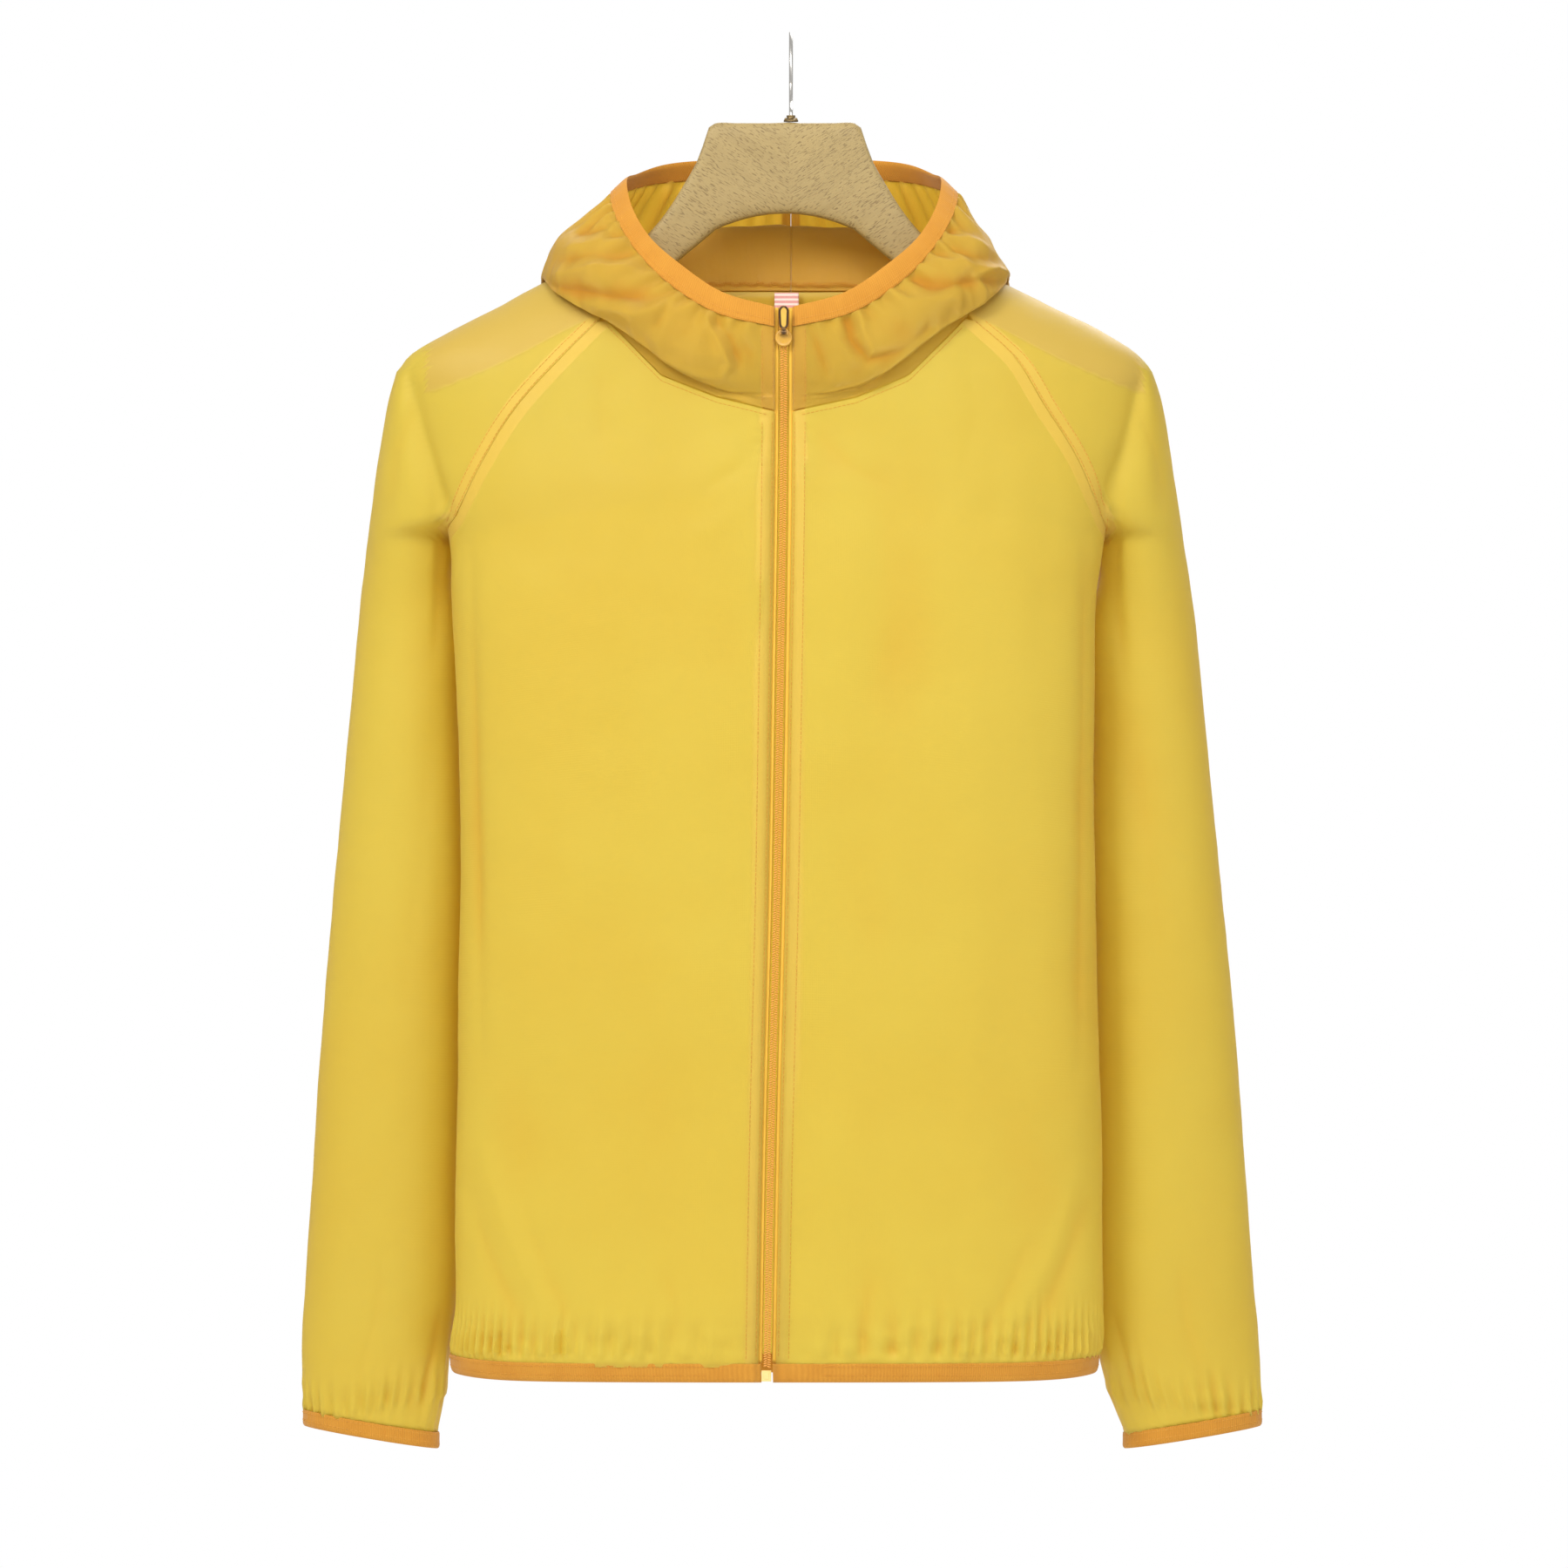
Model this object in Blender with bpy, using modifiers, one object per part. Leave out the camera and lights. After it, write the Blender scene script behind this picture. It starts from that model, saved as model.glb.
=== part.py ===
"""Packable rain jacket with a hood, hanging on a wooden hanger.

Units are metres, +Z is up, the front of the jacket faces -Y and +X is to the right of
someone who looks at the front.  The origin is the inside top of the hanger's hook, where
a rail carries it, so heights in the tables are given as a drop below that point.

Every cloth piece is one open sheet, mapped row by row onto the body of the jacket (the
trunk), onto a sleeve or onto the hood, and then given its thickness.
"""
import math
from typing import NamedTuple

import bmesh
import bpy
import numpy as np
from mathutils import Vector

COLLECTION_NAME = "packable_rain_jacket_on_hanger"

# ---------------------------------------------------------------- driving sizes, metres
CLOTH = 0.0012              # wall of every cloth panel
SEAM_GAP = 0.0005           # a piece's edge stays this far from its seam line
HEM_DROP = 0.7600           # lower edge of the panels at the middle of the hem
HEM_RISE = 0.0035           # how much higher the hem is at its side corners
HEM_BAND = 0.0107           # height of the elastic binding along the hem
CUFF_BAND = 0.0094          # height of the elastic binding at a cuff
BAND_PROUD = 0.0007         # a binding stands this far outside its panel
BAND_WALL = 0.0020          # thickness of a folded binding
NECK_DROP = 0.2180          # neck seam at the front opening
BACK_NECK_DROP = 0.1460     # neck seam on the back
SHOULDER_NECK_DROP = 0.1335 # neck seam where it crosses the shoulder ridge
RAGLAN_TOP_DROP = 0.1640    # top of the front sleeve seam
ARMPIT_DROP = 0.2900        # where the sleeve seams meet under the arm
ARMPIT_TURN = 103.0         # degrees round from the front middle to the side seam
NECK_GAP = 0.0018           # the hood starts this far above the neck seam
ZIP_HALF_OPENING = 0.0050   # from the zip's middle to the folded edge of a front
ZIP_TAPE_REACH = 0.0122     # from the zip's middle to a tape's outer edge
ZIP_TAPE = 0.0008           # thickness of a tape
ZIP_CHAIN_HALF = 0.0024     # half the width of the closed chain
ZIP_CHAIN = 0.0020          # thickness of the closed chain
ZIP_TOP_DROP = 0.1590
ZIP_CHAIN_END_DROP = 0.7635
SLIDER_DROP = 0.1765
PULL_LENGTH = 0.0148        # from its pin to its tip
PULL_WIDTH = 0.0065
HOOK_RADIUS = 0.0210        # inside radius of the hook
HOOK_WIRE = 0.0011          # radius of its wire
HANGER_JOINT_X = -0.0010    # the two halves of the wood meet here
WOOD_TOP_DROP = 0.0503
LABEL = Vector((0.0140, 0.0008, 0.0140))
LABEL_X = -0.0025
WAVE_COLUMNS = 4            # mesh columns in one gather


class TrunkRow(NamedTuple):
    """Level section of the jacket's body: its side edges, depths and squareness."""

    drop: float
    left: float
    right: float
    front: float
    back: float
    power: float


TRUNK = (
    TrunkRow(0.1300, -0.1190, 0.0960, 0.0270, 0.0270, 2.2),
    TrunkRow(0.1400, -0.1380, 0.1165, 0.0330, 0.0340, 2.2),
    TrunkRow(0.1475, -0.1520, 0.1320, 0.0370, 0.0380, 2.2),
    TrunkRow(0.1550, -0.1655, 0.1470, 0.0400, 0.0410, 2.2),
    TrunkRow(0.1700, -0.1950, 0.1775, 0.0450, 0.0450, 2.25),
    TrunkRow(0.1850, -0.2195, 0.2005, 0.0490, 0.0480, 2.3),
    TrunkRow(0.1925, -0.2245, 0.2065, 0.0505, 0.0490, 2.3),
    TrunkRow(0.2070, -0.2210, 0.2030, 0.0525, 0.0510, 2.4),
    TrunkRow(0.2340, -0.2130, 0.1955, 0.0550, 0.0540, 2.5),
    TrunkRow(0.2540, -0.2065, 0.1880, 0.0570, 0.0560, 2.6),
    TrunkRow(0.2740, -0.1995, 0.1820, 0.0580, 0.0580, 2.7),
    TrunkRow(0.2900, -0.1955, 0.1795, 0.0590, 0.0590, 2.7),
    TrunkRow(0.3185, -0.1940, 0.1755, 0.0600, 0.0600, 2.8),
    TrunkRow(0.3625, -0.1920, 0.1745, 0.0610, 0.0610, 2.8),
    TrunkRow(0.4800, -0.1900, 0.1750, 0.0610, 0.0610, 2.8),
    TrunkRow(0.5800, -0.1915, 0.1770, 0.0600, 0.0600, 2.8),
    TrunkRow(0.6800, -0.1930, 0.1775, 0.0580, 0.0590, 2.8),
    TrunkRow(0.7300, -0.1935, 0.1775, 0.0550, 0.0565, 2.8),
    TrunkRow(0.7600, -0.1945, 0.1755, 0.0510, 0.0530, 2.8),
    TrunkRow(0.7720, -0.1925, 0.1740, 0.0500, 0.0520, 2.8),
)


class SeamRow(NamedTuple):
    """Point of a sleeve seam on the front: how far it is from the middle, per side."""

    drop: float
    left: float
    right: float


RAGLAN = (
    SeamRow(0.1635, -0.1075, 0.1010),
    SeamRow(0.1850, -0.1290, 0.1255),
    SeamRow(0.2135, -0.1550, 0.1440),
    SeamRow(0.2445, -0.1750, 0.1635),
    SeamRow(0.2740, -0.1905, 0.1765),
)
RAGLAN_BACK_SHIFT = 0.0080  # the back seam runs this much further out than the front one


class NeckRow(NamedTuple):
    """Point of the neck seam, by its turn from the front opening to the middle back."""

    turn: float
    left: float
    right: float
    drop: float


NECK_FRONT = (
    NeckRow(0.0, -0.0092, 0.0008, NECK_DROP),
    NeckRow(20.0, -0.0420, 0.0375, 0.2100),
    NeckRow(40.0, -0.0740, 0.0670, 0.1975),
    NeckRow(58.0, -0.0960, 0.0900, 0.1750),
    NeckRow(68.0, -0.1075, 0.1010, 0.1635),
    NeckRow(80.0, -0.1190, 0.1035, 0.1470),
    NeckRow(90.0, -0.1257, 0.1035, SHOULDER_NECK_DROP),
)
NECK_BACK = (
    NeckRow(90.0, -0.1257, 0.1035, SHOULDER_NECK_DROP),
    NeckRow(100.0, -0.1200, 0.1010, 0.1410),
    NeckRow(112.0, -0.1110, 0.0970, BACK_NECK_DROP),
    NeckRow(135.0, -0.0820, 0.0740, BACK_NECK_DROP),
    NeckRow(157.0, -0.0440, 0.0420, BACK_NECK_DROP),
    NeckRow(180.0, -0.0006, 0.0006, BACK_NECK_DROP),
)


class HoodRow(NamedTuple):
    """The hood at one turn: how high its tuck rises, then its lip, its bulge and rim."""

    turn: float
    tuck_rise: float
    lip_reach: float
    lip_y: float
    lip_drop: float
    bulge_reach: float
    bulge_y: float
    bulge_drop: float
    rim_drop: float
    edge_drop: float


HOOD = (
    HoodRow(0.0, 0.0060, 0.0000, -0.0560, 0.2050, 0.0000, -0.0575, 0.1900, 0.1700, 0.1585),
    HoodRow(20.0, 0.0045, 0.0470, -0.0590, 0.1990, 0.0450, -0.0605, 0.1820, 0.1620, 0.1500),
    HoodRow(40.0, 0.0130, 0.0840, -0.0530, 0.1740, 0.0820, -0.0545, 0.1560, 0.1445, 0.1330),
    HoodRow(58.0, 0.0110, 0.1100, -0.0430, 0.1590, 0.1060, -0.0430, 0.1370, 0.1245, 0.1170),
    HoodRow(75.0, 0.0090, 0.1270, -0.0295, 0.1490, 0.1190, -0.0240, 0.1230, 0.1050, 0.0990),
    HoodRow(90.0, 0.0070, 0.1335, -0.0040, 0.1400, 0.1225, 0.0020, 0.1160, 0.0920, 0.0840),
    HoodRow(110.0, 0.0200, 0.1290, 0.0400, 0.1560, 0.1190, 0.0420, 0.1240, 0.0890, 0.0785),
    HoodRow(130.0, 0.0300, 0.1060, 0.0580, 0.1850, 0.1010, 0.0640, 0.1350, 0.0835, 0.0720),
    HoodRow(155.0, 0.0340, 0.0560, 0.0690, 0.2080, 0.0560, 0.0810, 0.1420, 0.0800, 0.0685),
    HoodRow(180.0, 0.0350, 0.0000, 0.0710, 0.2120, 0.0000, 0.0850, 0.1430, 0.0790, 0.0675),
)
HOOD_SIDE_X = -0.0090       # middle of the hood's bulge between its two sides
RIM_X = -0.0040             # middle of the face opening between its two sides
RIM_HALF = 0.0990           # half the width of the face opening at the rim seam
EDGE_HALF = 0.0900          # and at the free edge of its binding
RIM_DEPTH = 0.0585
EDGE_DEPTH = 0.0560
RIM_Y = 0.0015


class ZipRow(NamedTuple):
    """The zip leans a little: its middle at some drops."""

    drop: float
    x: float


ZIP_LINE = (
    ZipRow(0.1500, -0.0042),
    ZipRow(0.2180, -0.0042),
    ZipRow(0.3900, -0.0064),
    ZipRow(0.4800, -0.0078),
    ZipRow(0.6300, -0.0113),
    ZipRow(0.7720, -0.0138),
)


class SleeveRow(NamedTuple):
    """Sleeve section: outer and inner side, drops of both, and its middle and depth."""

    drop: float
    inner_drop: float
    left_outer: float
    left_inner: float
    right_outer: float
    right_inner: float
    middle_y: float
    half_depth: float


SLEEVE = (
    SleeveRow(0.1925, 0.1925, -0.2262, -0.2190, 0.2070, 0.2010, 0.002, 0.014),
    SleeveRow(0.2070, 0.2070, -0.2305, -0.2140, 0.2120, 0.1965, 0.005, 0.019),
    SleeveRow(0.2340, 0.2340, -0.2360, -0.2085, 0.2175, 0.1910, 0.012, 0.024),
    SleeveRow(0.2540, 0.2540, -0.2395, -0.2050, 0.2205, 0.1885, 0.017, 0.027),
    SleeveRow(0.2740, 0.2740, -0.2420, -0.2030, 0.2235, 0.1870, 0.022, 0.029),
    SleeveRow(0.2900, 0.2900, -0.2440, -0.2020, 0.2255, 0.1865, 0.025, 0.030),
    SleeveRow(0.3050, 0.3050, -0.2455, -0.1985, 0.2280, 0.1820, 0.029, 0.031),
    SleeveRow(0.3300, 0.3300, -0.2485, -0.1908, 0.2320, 0.1723, 0.032, 0.031),
    SleeveRow(0.3900, 0.3900, -0.2545, -0.1890, 0.2390, 0.1715, 0.032, 0.031),
    SleeveRow(0.4800, 0.4800, -0.2625, -0.1872, 0.2475, 0.1720, 0.032, 0.031),
    SleeveRow(0.5700, 0.5700, -0.2700, -0.1885, 0.2555, 0.1738, 0.032, 0.031),
    SleeveRow(0.6600, 0.6600, -0.2765, -0.1898, 0.2625, 0.1745, 0.032, 0.031),
    SleeveRow(0.7250, 0.7250, -0.2805, -0.1915, 0.2675, 0.1750, 0.031, 0.030),
    SleeveRow(0.7550, 0.7580, -0.2818, -0.1965, 0.2700, 0.1772, 0.030, 0.028),
    SleeveRow(0.7750, 0.7840, -0.2815, -0.2000, 0.2708, 0.1845, 0.029, 0.025),
    SleeveRow(0.7905, 0.8035, -0.2803, -0.2038, 0.2705, 0.1925, 0.028, 0.021),
)
SLEEVE_END_DROP = 0.7905
LOBE_START_DROP = 0.1925    # above it the sleeve is only the sheet over the shoulder
TIP_FADE = 6.0              # how quickly the corner under the arm turns into the tube
FOLD_DIP = 0.0030           # valley beside the fold that runs from shoulder to armpit
FOLD_WIDTH = 0.0060


class HangerRow(NamedTuple):
    """Section of the wood: place along it, top and bottom drops, half its thickness."""

    reach: float
    top: float
    bottom: float
    half_depth: float
    lean: float


HANGER_MIDDLE_X = -0.0035
HANGER = (
    HangerRow(0.0400, 0.0508, 0.1120, 0.0065, 0.0),
    HangerRow(0.0435, 0.0530, 0.1150, 0.0066, 0.0),
    HangerRow(0.0488, 0.0690, 0.1195, 0.0068, 0.0),
    HangerRow(0.0573, 0.0850, 0.1265, 0.0070, 0.0),
    HangerRow(0.0688, 0.1030, 0.1360, 0.0075, 0.0),
    HangerRow(0.0780, 0.1140, 0.1440, 0.0080, 0.0),
    HangerRow(0.0980, 0.1320, 0.1570, 0.0090, 0.0),
    HangerRow(0.1250, 0.1490, 0.1710, 0.0110, 0.0),
    HangerRow(0.1600, 0.1645, 0.1890, 0.0130, 0.0),
    HangerRow(0.1850, 0.1790, 0.1995, 0.0130, 0.0),
    HangerRow(0.1990, 0.1900, 0.2045, 0.0105, 0.0),
    HangerRow(0.2050, 0.1965, 0.2050, 0.0080, 0.0),
)


class Paint(NamedTuple):
    """Plain colour, roughness and metallic value of a material."""

    colour: tuple
    roughness: float
    metallic: float


CLOTH_YELLOW = Paint((0.800, 0.540, 0.062), 0.48, 0.0)
BINDING_ORANGE = Paint((0.680, 0.310, 0.030), 0.70, 0.0)
TAPE_ORANGE = Paint((0.740, 0.380, 0.045), 0.75, 0.0)
CHAIN_ORANGE = Paint((0.650, 0.270, 0.030), 0.42, 0.0)
SLIDER_AMBER = Paint((0.600, 0.300, 0.040), 0.38, 0.0)
STOP_YELLOW = Paint((0.850, 0.600, 0.120), 0.45, 0.0)
LABEL_PINK = Paint((0.830, 0.520, 0.520), 0.65, 0.0)
BEECH = Paint((0.520, 0.370, 0.170), 0.55, 0.0)
STEEL = Paint((0.600, 0.590, 0.560), 0.28, 1.0)
BRASS = Paint((0.280, 0.200, 0.090), 0.40, 1.0)


# ------------------------------------------------------------------- curves and surfaces
class Smooth:
    """Smooth curve through rows of numbers; each column is eased on its own."""

    def __init__(self, knots, values):
        self.knots = np.asarray(knots, dtype=float)
        self.values = np.asarray(values, dtype=float)
        self.slopes = np.gradient(self.values, self.knots, axis=0)

    def __call__(self, at):
        at = float(np.clip(at, self.knots[0], self.knots[-1]))
        last = len(self.knots) - 2
        i = int(np.clip(np.searchsorted(self.knots, at, side="right") - 1, 0, last))
        span = self.knots[i + 1] - self.knots[i]
        t = (at - self.knots[i]) / span
        rise = self.values[i + 1] - self.values[i]
        near = self.slopes[i] * span
        far = self.slopes[i + 1] * span
        return self.values[i] + t * near + t * t * ((3 - 2 * t) * (rise - near)
                                                    + (t - 1) * (far - near))


class Straight:
    """Straight lines from row to row of the same kind of table."""

    def __init__(self, knots, values):
        self.knots = np.asarray(knots, dtype=float)
        self.columns = np.asarray(values, dtype=float).T

    def __call__(self, at):
        return np.array([np.interp(at, self.knots, column) for column in self.columns])


def table_curve(rows):
    """Curve over a table, from its first column to the others."""
    numbers = np.array(rows, dtype=float)
    return Smooth(numbers[:, 0], numbers[:, 1:])


trunk_curve = table_curve(TRUNK)
raglan_curve = table_curve(RAGLAN)
neck_front_curve = Straight([row.turn for row in NECK_FRONT],
                            [row[1:] for row in NECK_FRONT])
neck_back_curve = Straight([row.turn for row in NECK_BACK],
                           [row[1:] for row in NECK_BACK])
neck_height_curve = Straight([-row.drop for row in NECK_FRONT],
                             [(row.left, row.right) for row in NECK_FRONT])
hood_curve = table_curve(HOOD)
zip_curve = table_curve(ZIP_LINE)
sleeve_curve = table_curve(SLEEVE)


def signed_power(value, power):
    return math.copysign(abs(value) ** power, value)


def trunk_point(turn, drop, proud=0.0):
    """Point of the trunk at a turn in degrees from the front middle, positive to +X."""
    left, right, front, back, power = trunk_curve(drop)
    sine = math.sin(math.radians(turn))
    cosine = math.cos(math.radians(turn))
    depth = (front if cosine > 0 else back) + proud
    half = (right - left) / 2 + proud
    return Vector(((left + right) / 2 + half * signed_power(sine, 2 / power),
                   -depth * signed_power(cosine, 2 / power),
                   -drop))


def trunk_turn(x, drop, on_back=False):
    """Turn of the trunk's point that has this x; negative on the left side."""
    left, right, _front, _back, power = trunk_curve(drop)
    share = (x - (left + right) / 2) / ((right - left) / 2)
    turn = math.degrees(math.asin(min(abs(share), 1.0) ** (power / 2)))
    if on_back:
        turn = 180.0 - turn
    return math.copysign(turn, share)


def zip_x(drop):
    return float(zip_curve(drop)[0])


def pick(row, side):
    """Left or right value of a row that holds both."""
    return row[0] if side < 0 else row[1]


def neck_front_x(drop, side):
    """Where the front neck seam is at this drop."""
    return pick(neck_height_curve(-drop), side)


def raglan_turn(drop, side, on_back=False):
    """Turn of the sleeve seam, or above it of the neck edge of the sleeve."""
    if drop >= ARMPIT_DROP:
        return side * ARMPIT_TURN
    top = BACK_NECK_DROP if on_back else RAGLAN_TOP_DROP
    if drop <= top and on_back:
        share = (drop - SHOULDER_NECK_DROP) / (BACK_NECK_DROP - SHOULDER_NECK_DROP)
        side_x = pick(neck_back_curve(90.0 + 22.0 * max(share, 0.0)), side)
        return trunk_turn(side_x, drop, on_back)
    if drop <= top:
        return trunk_turn(neck_front_x(drop, side), drop)
    if drop <= RAGLAN[-1].drop:
        x = pick(raglan_curve(max(drop, RAGLAN[0].drop)), side)
        if on_back:
            fade = (RAGLAN[-1].drop - drop) / (RAGLAN[-1].drop - BACK_NECK_DROP)
            neck_x = pick(neck_back_curve(112.0), side)
            x = x + side * RAGLAN_BACK_SHIFT * (1.0 - fade)
            x = x + (neck_x - x) * max(fade, 0.0) ** 3
        return trunk_turn(x, drop, on_back)
    start = raglan_turn(RAGLAN[-1].drop, side, on_back)
    share = (drop - RAGLAN[-1].drop) / (ARMPIT_DROP - RAGLAN[-1].drop)
    return start + (side * ARMPIT_TURN - start) * share ** 1.5


def beside_seam(turn, drop, direction):
    """Turn of a piece's edge, the seam gap away from its seam towards larger turns."""
    metres_a_degree = (trunk_point(turn + 0.5, drop) - trunk_point(turn - 0.5, drop)).length
    return turn + direction * SEAM_GAP / metres_a_degree


def hem_drop(turn):
    """Lower edge of the panels, which rises towards the side corners."""
    return HEM_DROP - HEM_RISE * abs(math.sin(math.radians(turn))) ** 8


# --------------------------------------------------------------------------- mesh making
def build_collection():
    for item in list(bpy.data.objects):
        bpy.data.objects.remove(item, do_unlink=True)
    collection = bpy.data.collections.new(COLLECTION_NAME)
    bpy.context.scene.collection.children.link(collection)
    return collection


def material(name, paint):
    made = bpy.data.materials.new(name)
    made.use_nodes = True
    shader = made.node_tree.nodes["Principled BSDF"]
    shader.inputs["Base Color"].default_value = (*paint.colour, 1.0)
    shader.inputs["Roughness"].default_value = paint.roughness
    shader.inputs["Metallic"].default_value = paint.metallic
    return made


def add_object(collection, name, mesh_builder, paint, smooth=True):
    """Make a mesh object from a bmesh and give it its own material."""
    mesh = bpy.data.meshes.new(name)
    mesh_builder.to_mesh(mesh)
    mesh_builder.free()
    mesh.materials.append(material(name + "_finish", paint))
    if smooth:
        mesh.shade_smooth()
        mesh.set_sharp_from_angle(angle=math.radians(50))
    item = bpy.data.objects.new(name, mesh)
    collection.objects.link(item)
    return item


def sheet_grid(columns, rows, gather_rows=0, splits=1):
    """Flat grid from (0, 0) to (1, rows), finer across in its last gather_rows rows."""
    grid = bmesh.new()
    bmesh.ops.create_grid(grid, x_segments=columns, y_segments=rows, size=1.0)
    for vertex in grid.verts:
        vertex.co.x = (vertex.co.x + 1.0) / 2.0
        vertex.co.y = (vertex.co.y + 1.0) / 2.0 * rows
    if gather_rows and splits > 1:
        first = rows - gather_rows - 0.5
        across = []
        for edge in grid.edges:
            ends = [vertex.co for vertex in edge.verts]
            level = abs(ends[0].y - ends[1].y) < 0.5
            if level and ends[0].y > first:
                across.append(edge)
        bmesh.ops.subdivide_edges(grid, edges=across, cuts=splits - 1, use_grid_fill=True)
    return grid


def map_sheet(grid, place):
    """Move every point of a flat grid to where place(across, down) says."""
    for vertex in grid.verts:
        vertex.co = place(vertex.co.x, vertex.co.y)


def thicken(item, wall):
    """Give an open sheet its wall on the inner side."""
    solid = item.modifiers.new("Wall", "SOLIDIFY")
    solid.thickness = wall
    solid.offset = -1.0
    solid.use_even_offset = False
    solid.use_quality_normals = True
    return item


def face_outwards(grid, outward):
    """Turn the sheet's faces so that its first face looks along outward."""
    grid.normal_update()
    total = sum((face.normal * face.calc_area()).dot(outward(face.calc_center_median()))
                for face in grid.faces)
    if total < 0:
        bmesh.ops.reverse_faces(grid, faces=grid.faces[:])


def from_axis(point):
    """Direction away from the jacket's upright middle line."""
    return Vector((point.x - HOOD_SIDE_X, point.y * 3.0, 0.0)).normalized()


def sheet(collection, name, grid, place, paint, wall=CLOTH, outward=from_axis, weld=False):
    """One cloth piece: a mapped grid with a wall."""
    map_sheet(grid, place)
    if weld:
        bmesh.ops.remove_doubles(grid, verts=grid.verts[:], dist=0.00002)
    face_outwards(grid, outward)
    return thicken(add_object(collection, name, grid, paint), wall)


def wave(place_along, waves, depth):
    """Height of one of a row of gathers; each is a little stronger or weaker."""
    uneven = 0.75 + 0.25 * math.sin(place_along * waves * 0.9 + 1.3)
    return depth * uneven * math.sin(2.0 * math.pi * waves * place_along)


# ------------------------------------------------------------------------- body panels
SEAM_DROPS = (0.1660, 0.1760, 0.1900, 0.2070, 0.2280, 0.2490, 0.2680, 0.2800,
              ARMPIT_DROP)  # every piece on a sleeve seam has a row at these
SIDE_DROPS = (0.3300, 0.4200, 0.5200, 0.6200, 0.6900, 0.7350, 0.7490, None)
OPENING_LAG = 0.0300        # rows of a front start this much higher at the opening
FRONT_START_TURN = 66.5     # neck turn where a front's top corner is
NECK_ROWS = 6               # rows of a front that start on the neck seam
OPENING_DROPS = (0.2370, 0.2620)  # where the next ones start at the opening
FRONT_COLUMNS = 10
GATHER_ROWS = 2
FRONT_WAVES = 15
BACK_COLUMNS = 16
BACK_DROPS = (BACK_NECK_DROP, 0.1560, *SEAM_DROPS, *SIDE_DROPS)
BACK_WAVES = 24
GATHER_DEPTH = 0.0013
GATHER_HEIGHT = 0.0300      # gathers fade out this far above the elastic
GATHER_CLEAR = 0.06         # and over this share of a gathered edge at both its ends


def gather_share(distance):
    """Strength of a gather at a distance from the elastic."""
    return max(0.0, 1.0 - distance / GATHER_HEIGHT)


def front_boundary(row, side):
    """Ends of one row of a front: (x, drop) at the opening, (turn, drop) outside."""
    last = len(SEAM_DROPS) - 1
    if row <= last:
        if row > NECK_ROWS:
            inner = OPENING_DROPS[row - NECK_ROWS - 1]
            return zip_x(inner) + side * ZIP_HALF_OPENING, inner, SEAM_DROPS[row]
        neck_turn = FRONT_START_TURN * (1.0 - row / NECK_ROWS)
        left, right, drop = neck_front_curve(neck_turn)
        return (left if side < 0 else right), drop + SEAM_GAP, SEAM_DROPS[row]
    outer = SIDE_DROPS[row - last - 1]
    if outer is None:
        return zip_x(HEM_DROP) + side * ZIP_HALF_OPENING, HEM_DROP, hem_drop(90.0)
    share = (row - last) / len(SIDE_DROPS)
    inner = outer - OPENING_LAG * (1.0 - share) ** 2
    return zip_x(inner) + side * ZIP_HALF_OPENING, inner, outer


def front_place(side):
    """Map for the front on one side: across from the opening to the side seam."""
    rows = len(SEAM_DROPS) + len(SIDE_DROPS) - 1
    bounds = np.array([front_boundary(row, side) for row in range(rows + 1)])
    between = [Smooth((0.0, 1.0), (bounds[row], bounds[row + 1])) for row in range(rows)]

    def place(across, down):
        row = min(int(down), rows - 1)
        inner_x, inner_drop, outer_drop = between[row](down - row)
        drop = outer_drop + (inner_drop - outer_drop) * (1.0 - across) ** 2
        inner = trunk_turn(inner_x, inner_drop)
        outer = beside_seam(raglan_turn(outer_drop, side), outer_drop, -side)
        turn = inner + (outer - inner) * across
        hem = hem_drop(turn)
        if down > rows - 0.001:
            drop = hem
        strength = gather_share(hem - drop) * min(across / GATHER_CLEAR,
                                                  (1.0 - across) / GATHER_CLEAR, 1.0)
        lift = wave(across, FRONT_WAVES, GATHER_DEPTH) * strength
        return trunk_point(turn, drop, lift)

    return place, rows


def back_place():
    """Map for the back: across from the right side seam to the left one."""
    rows = len(BACK_DROPS) - 1

    def drop_at(down, turn):
        row = min(int(down), rows - 1)
        ends = [hem_drop(turn) if value is None else value
                for value in BACK_DROPS[row:row + 2]]
        return ends[0] + (ends[1] - ends[0]) * (down - row)

    def place(across, down):
        level = drop_at(down, 0.0)
        right = beside_seam(raglan_turn(level, 1, on_back=True), level, 1)
        left = 360.0 + beside_seam(raglan_turn(level, -1, on_back=True), level, -1)
        turn = right + (left - right) * across
        drop = drop_at(down, turn)
        strength = gather_share(hem_drop(turn) - drop) * min(
            across / GATHER_CLEAR, (1.0 - across) / GATHER_CLEAR, 1.0)
        return trunk_point(turn, drop, wave(across, BACK_WAVES, GATHER_DEPTH) * strength)

    return place, rows


def make_body(collection):
    for name, side in (("front_left", -1), ("front_right", 1)):
        place, rows = front_place(side)
        splits = FRONT_WAVES * WAVE_COLUMNS // FRONT_COLUMNS
        grid = sheet_grid(FRONT_COLUMNS, rows, GATHER_ROWS, splits)
        sheet(collection, name, grid, place, CLOTH_YELLOW)
    place, rows = back_place()
    splits = BACK_WAVES * WAVE_COLUMNS // BACK_COLUMNS
    grid = sheet_grid(BACK_COLUMNS, rows, GATHER_ROWS, splits)
    sheet(collection, "back", grid, place, CLOTH_YELLOW)


HEM_COLUMNS = 44


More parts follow.
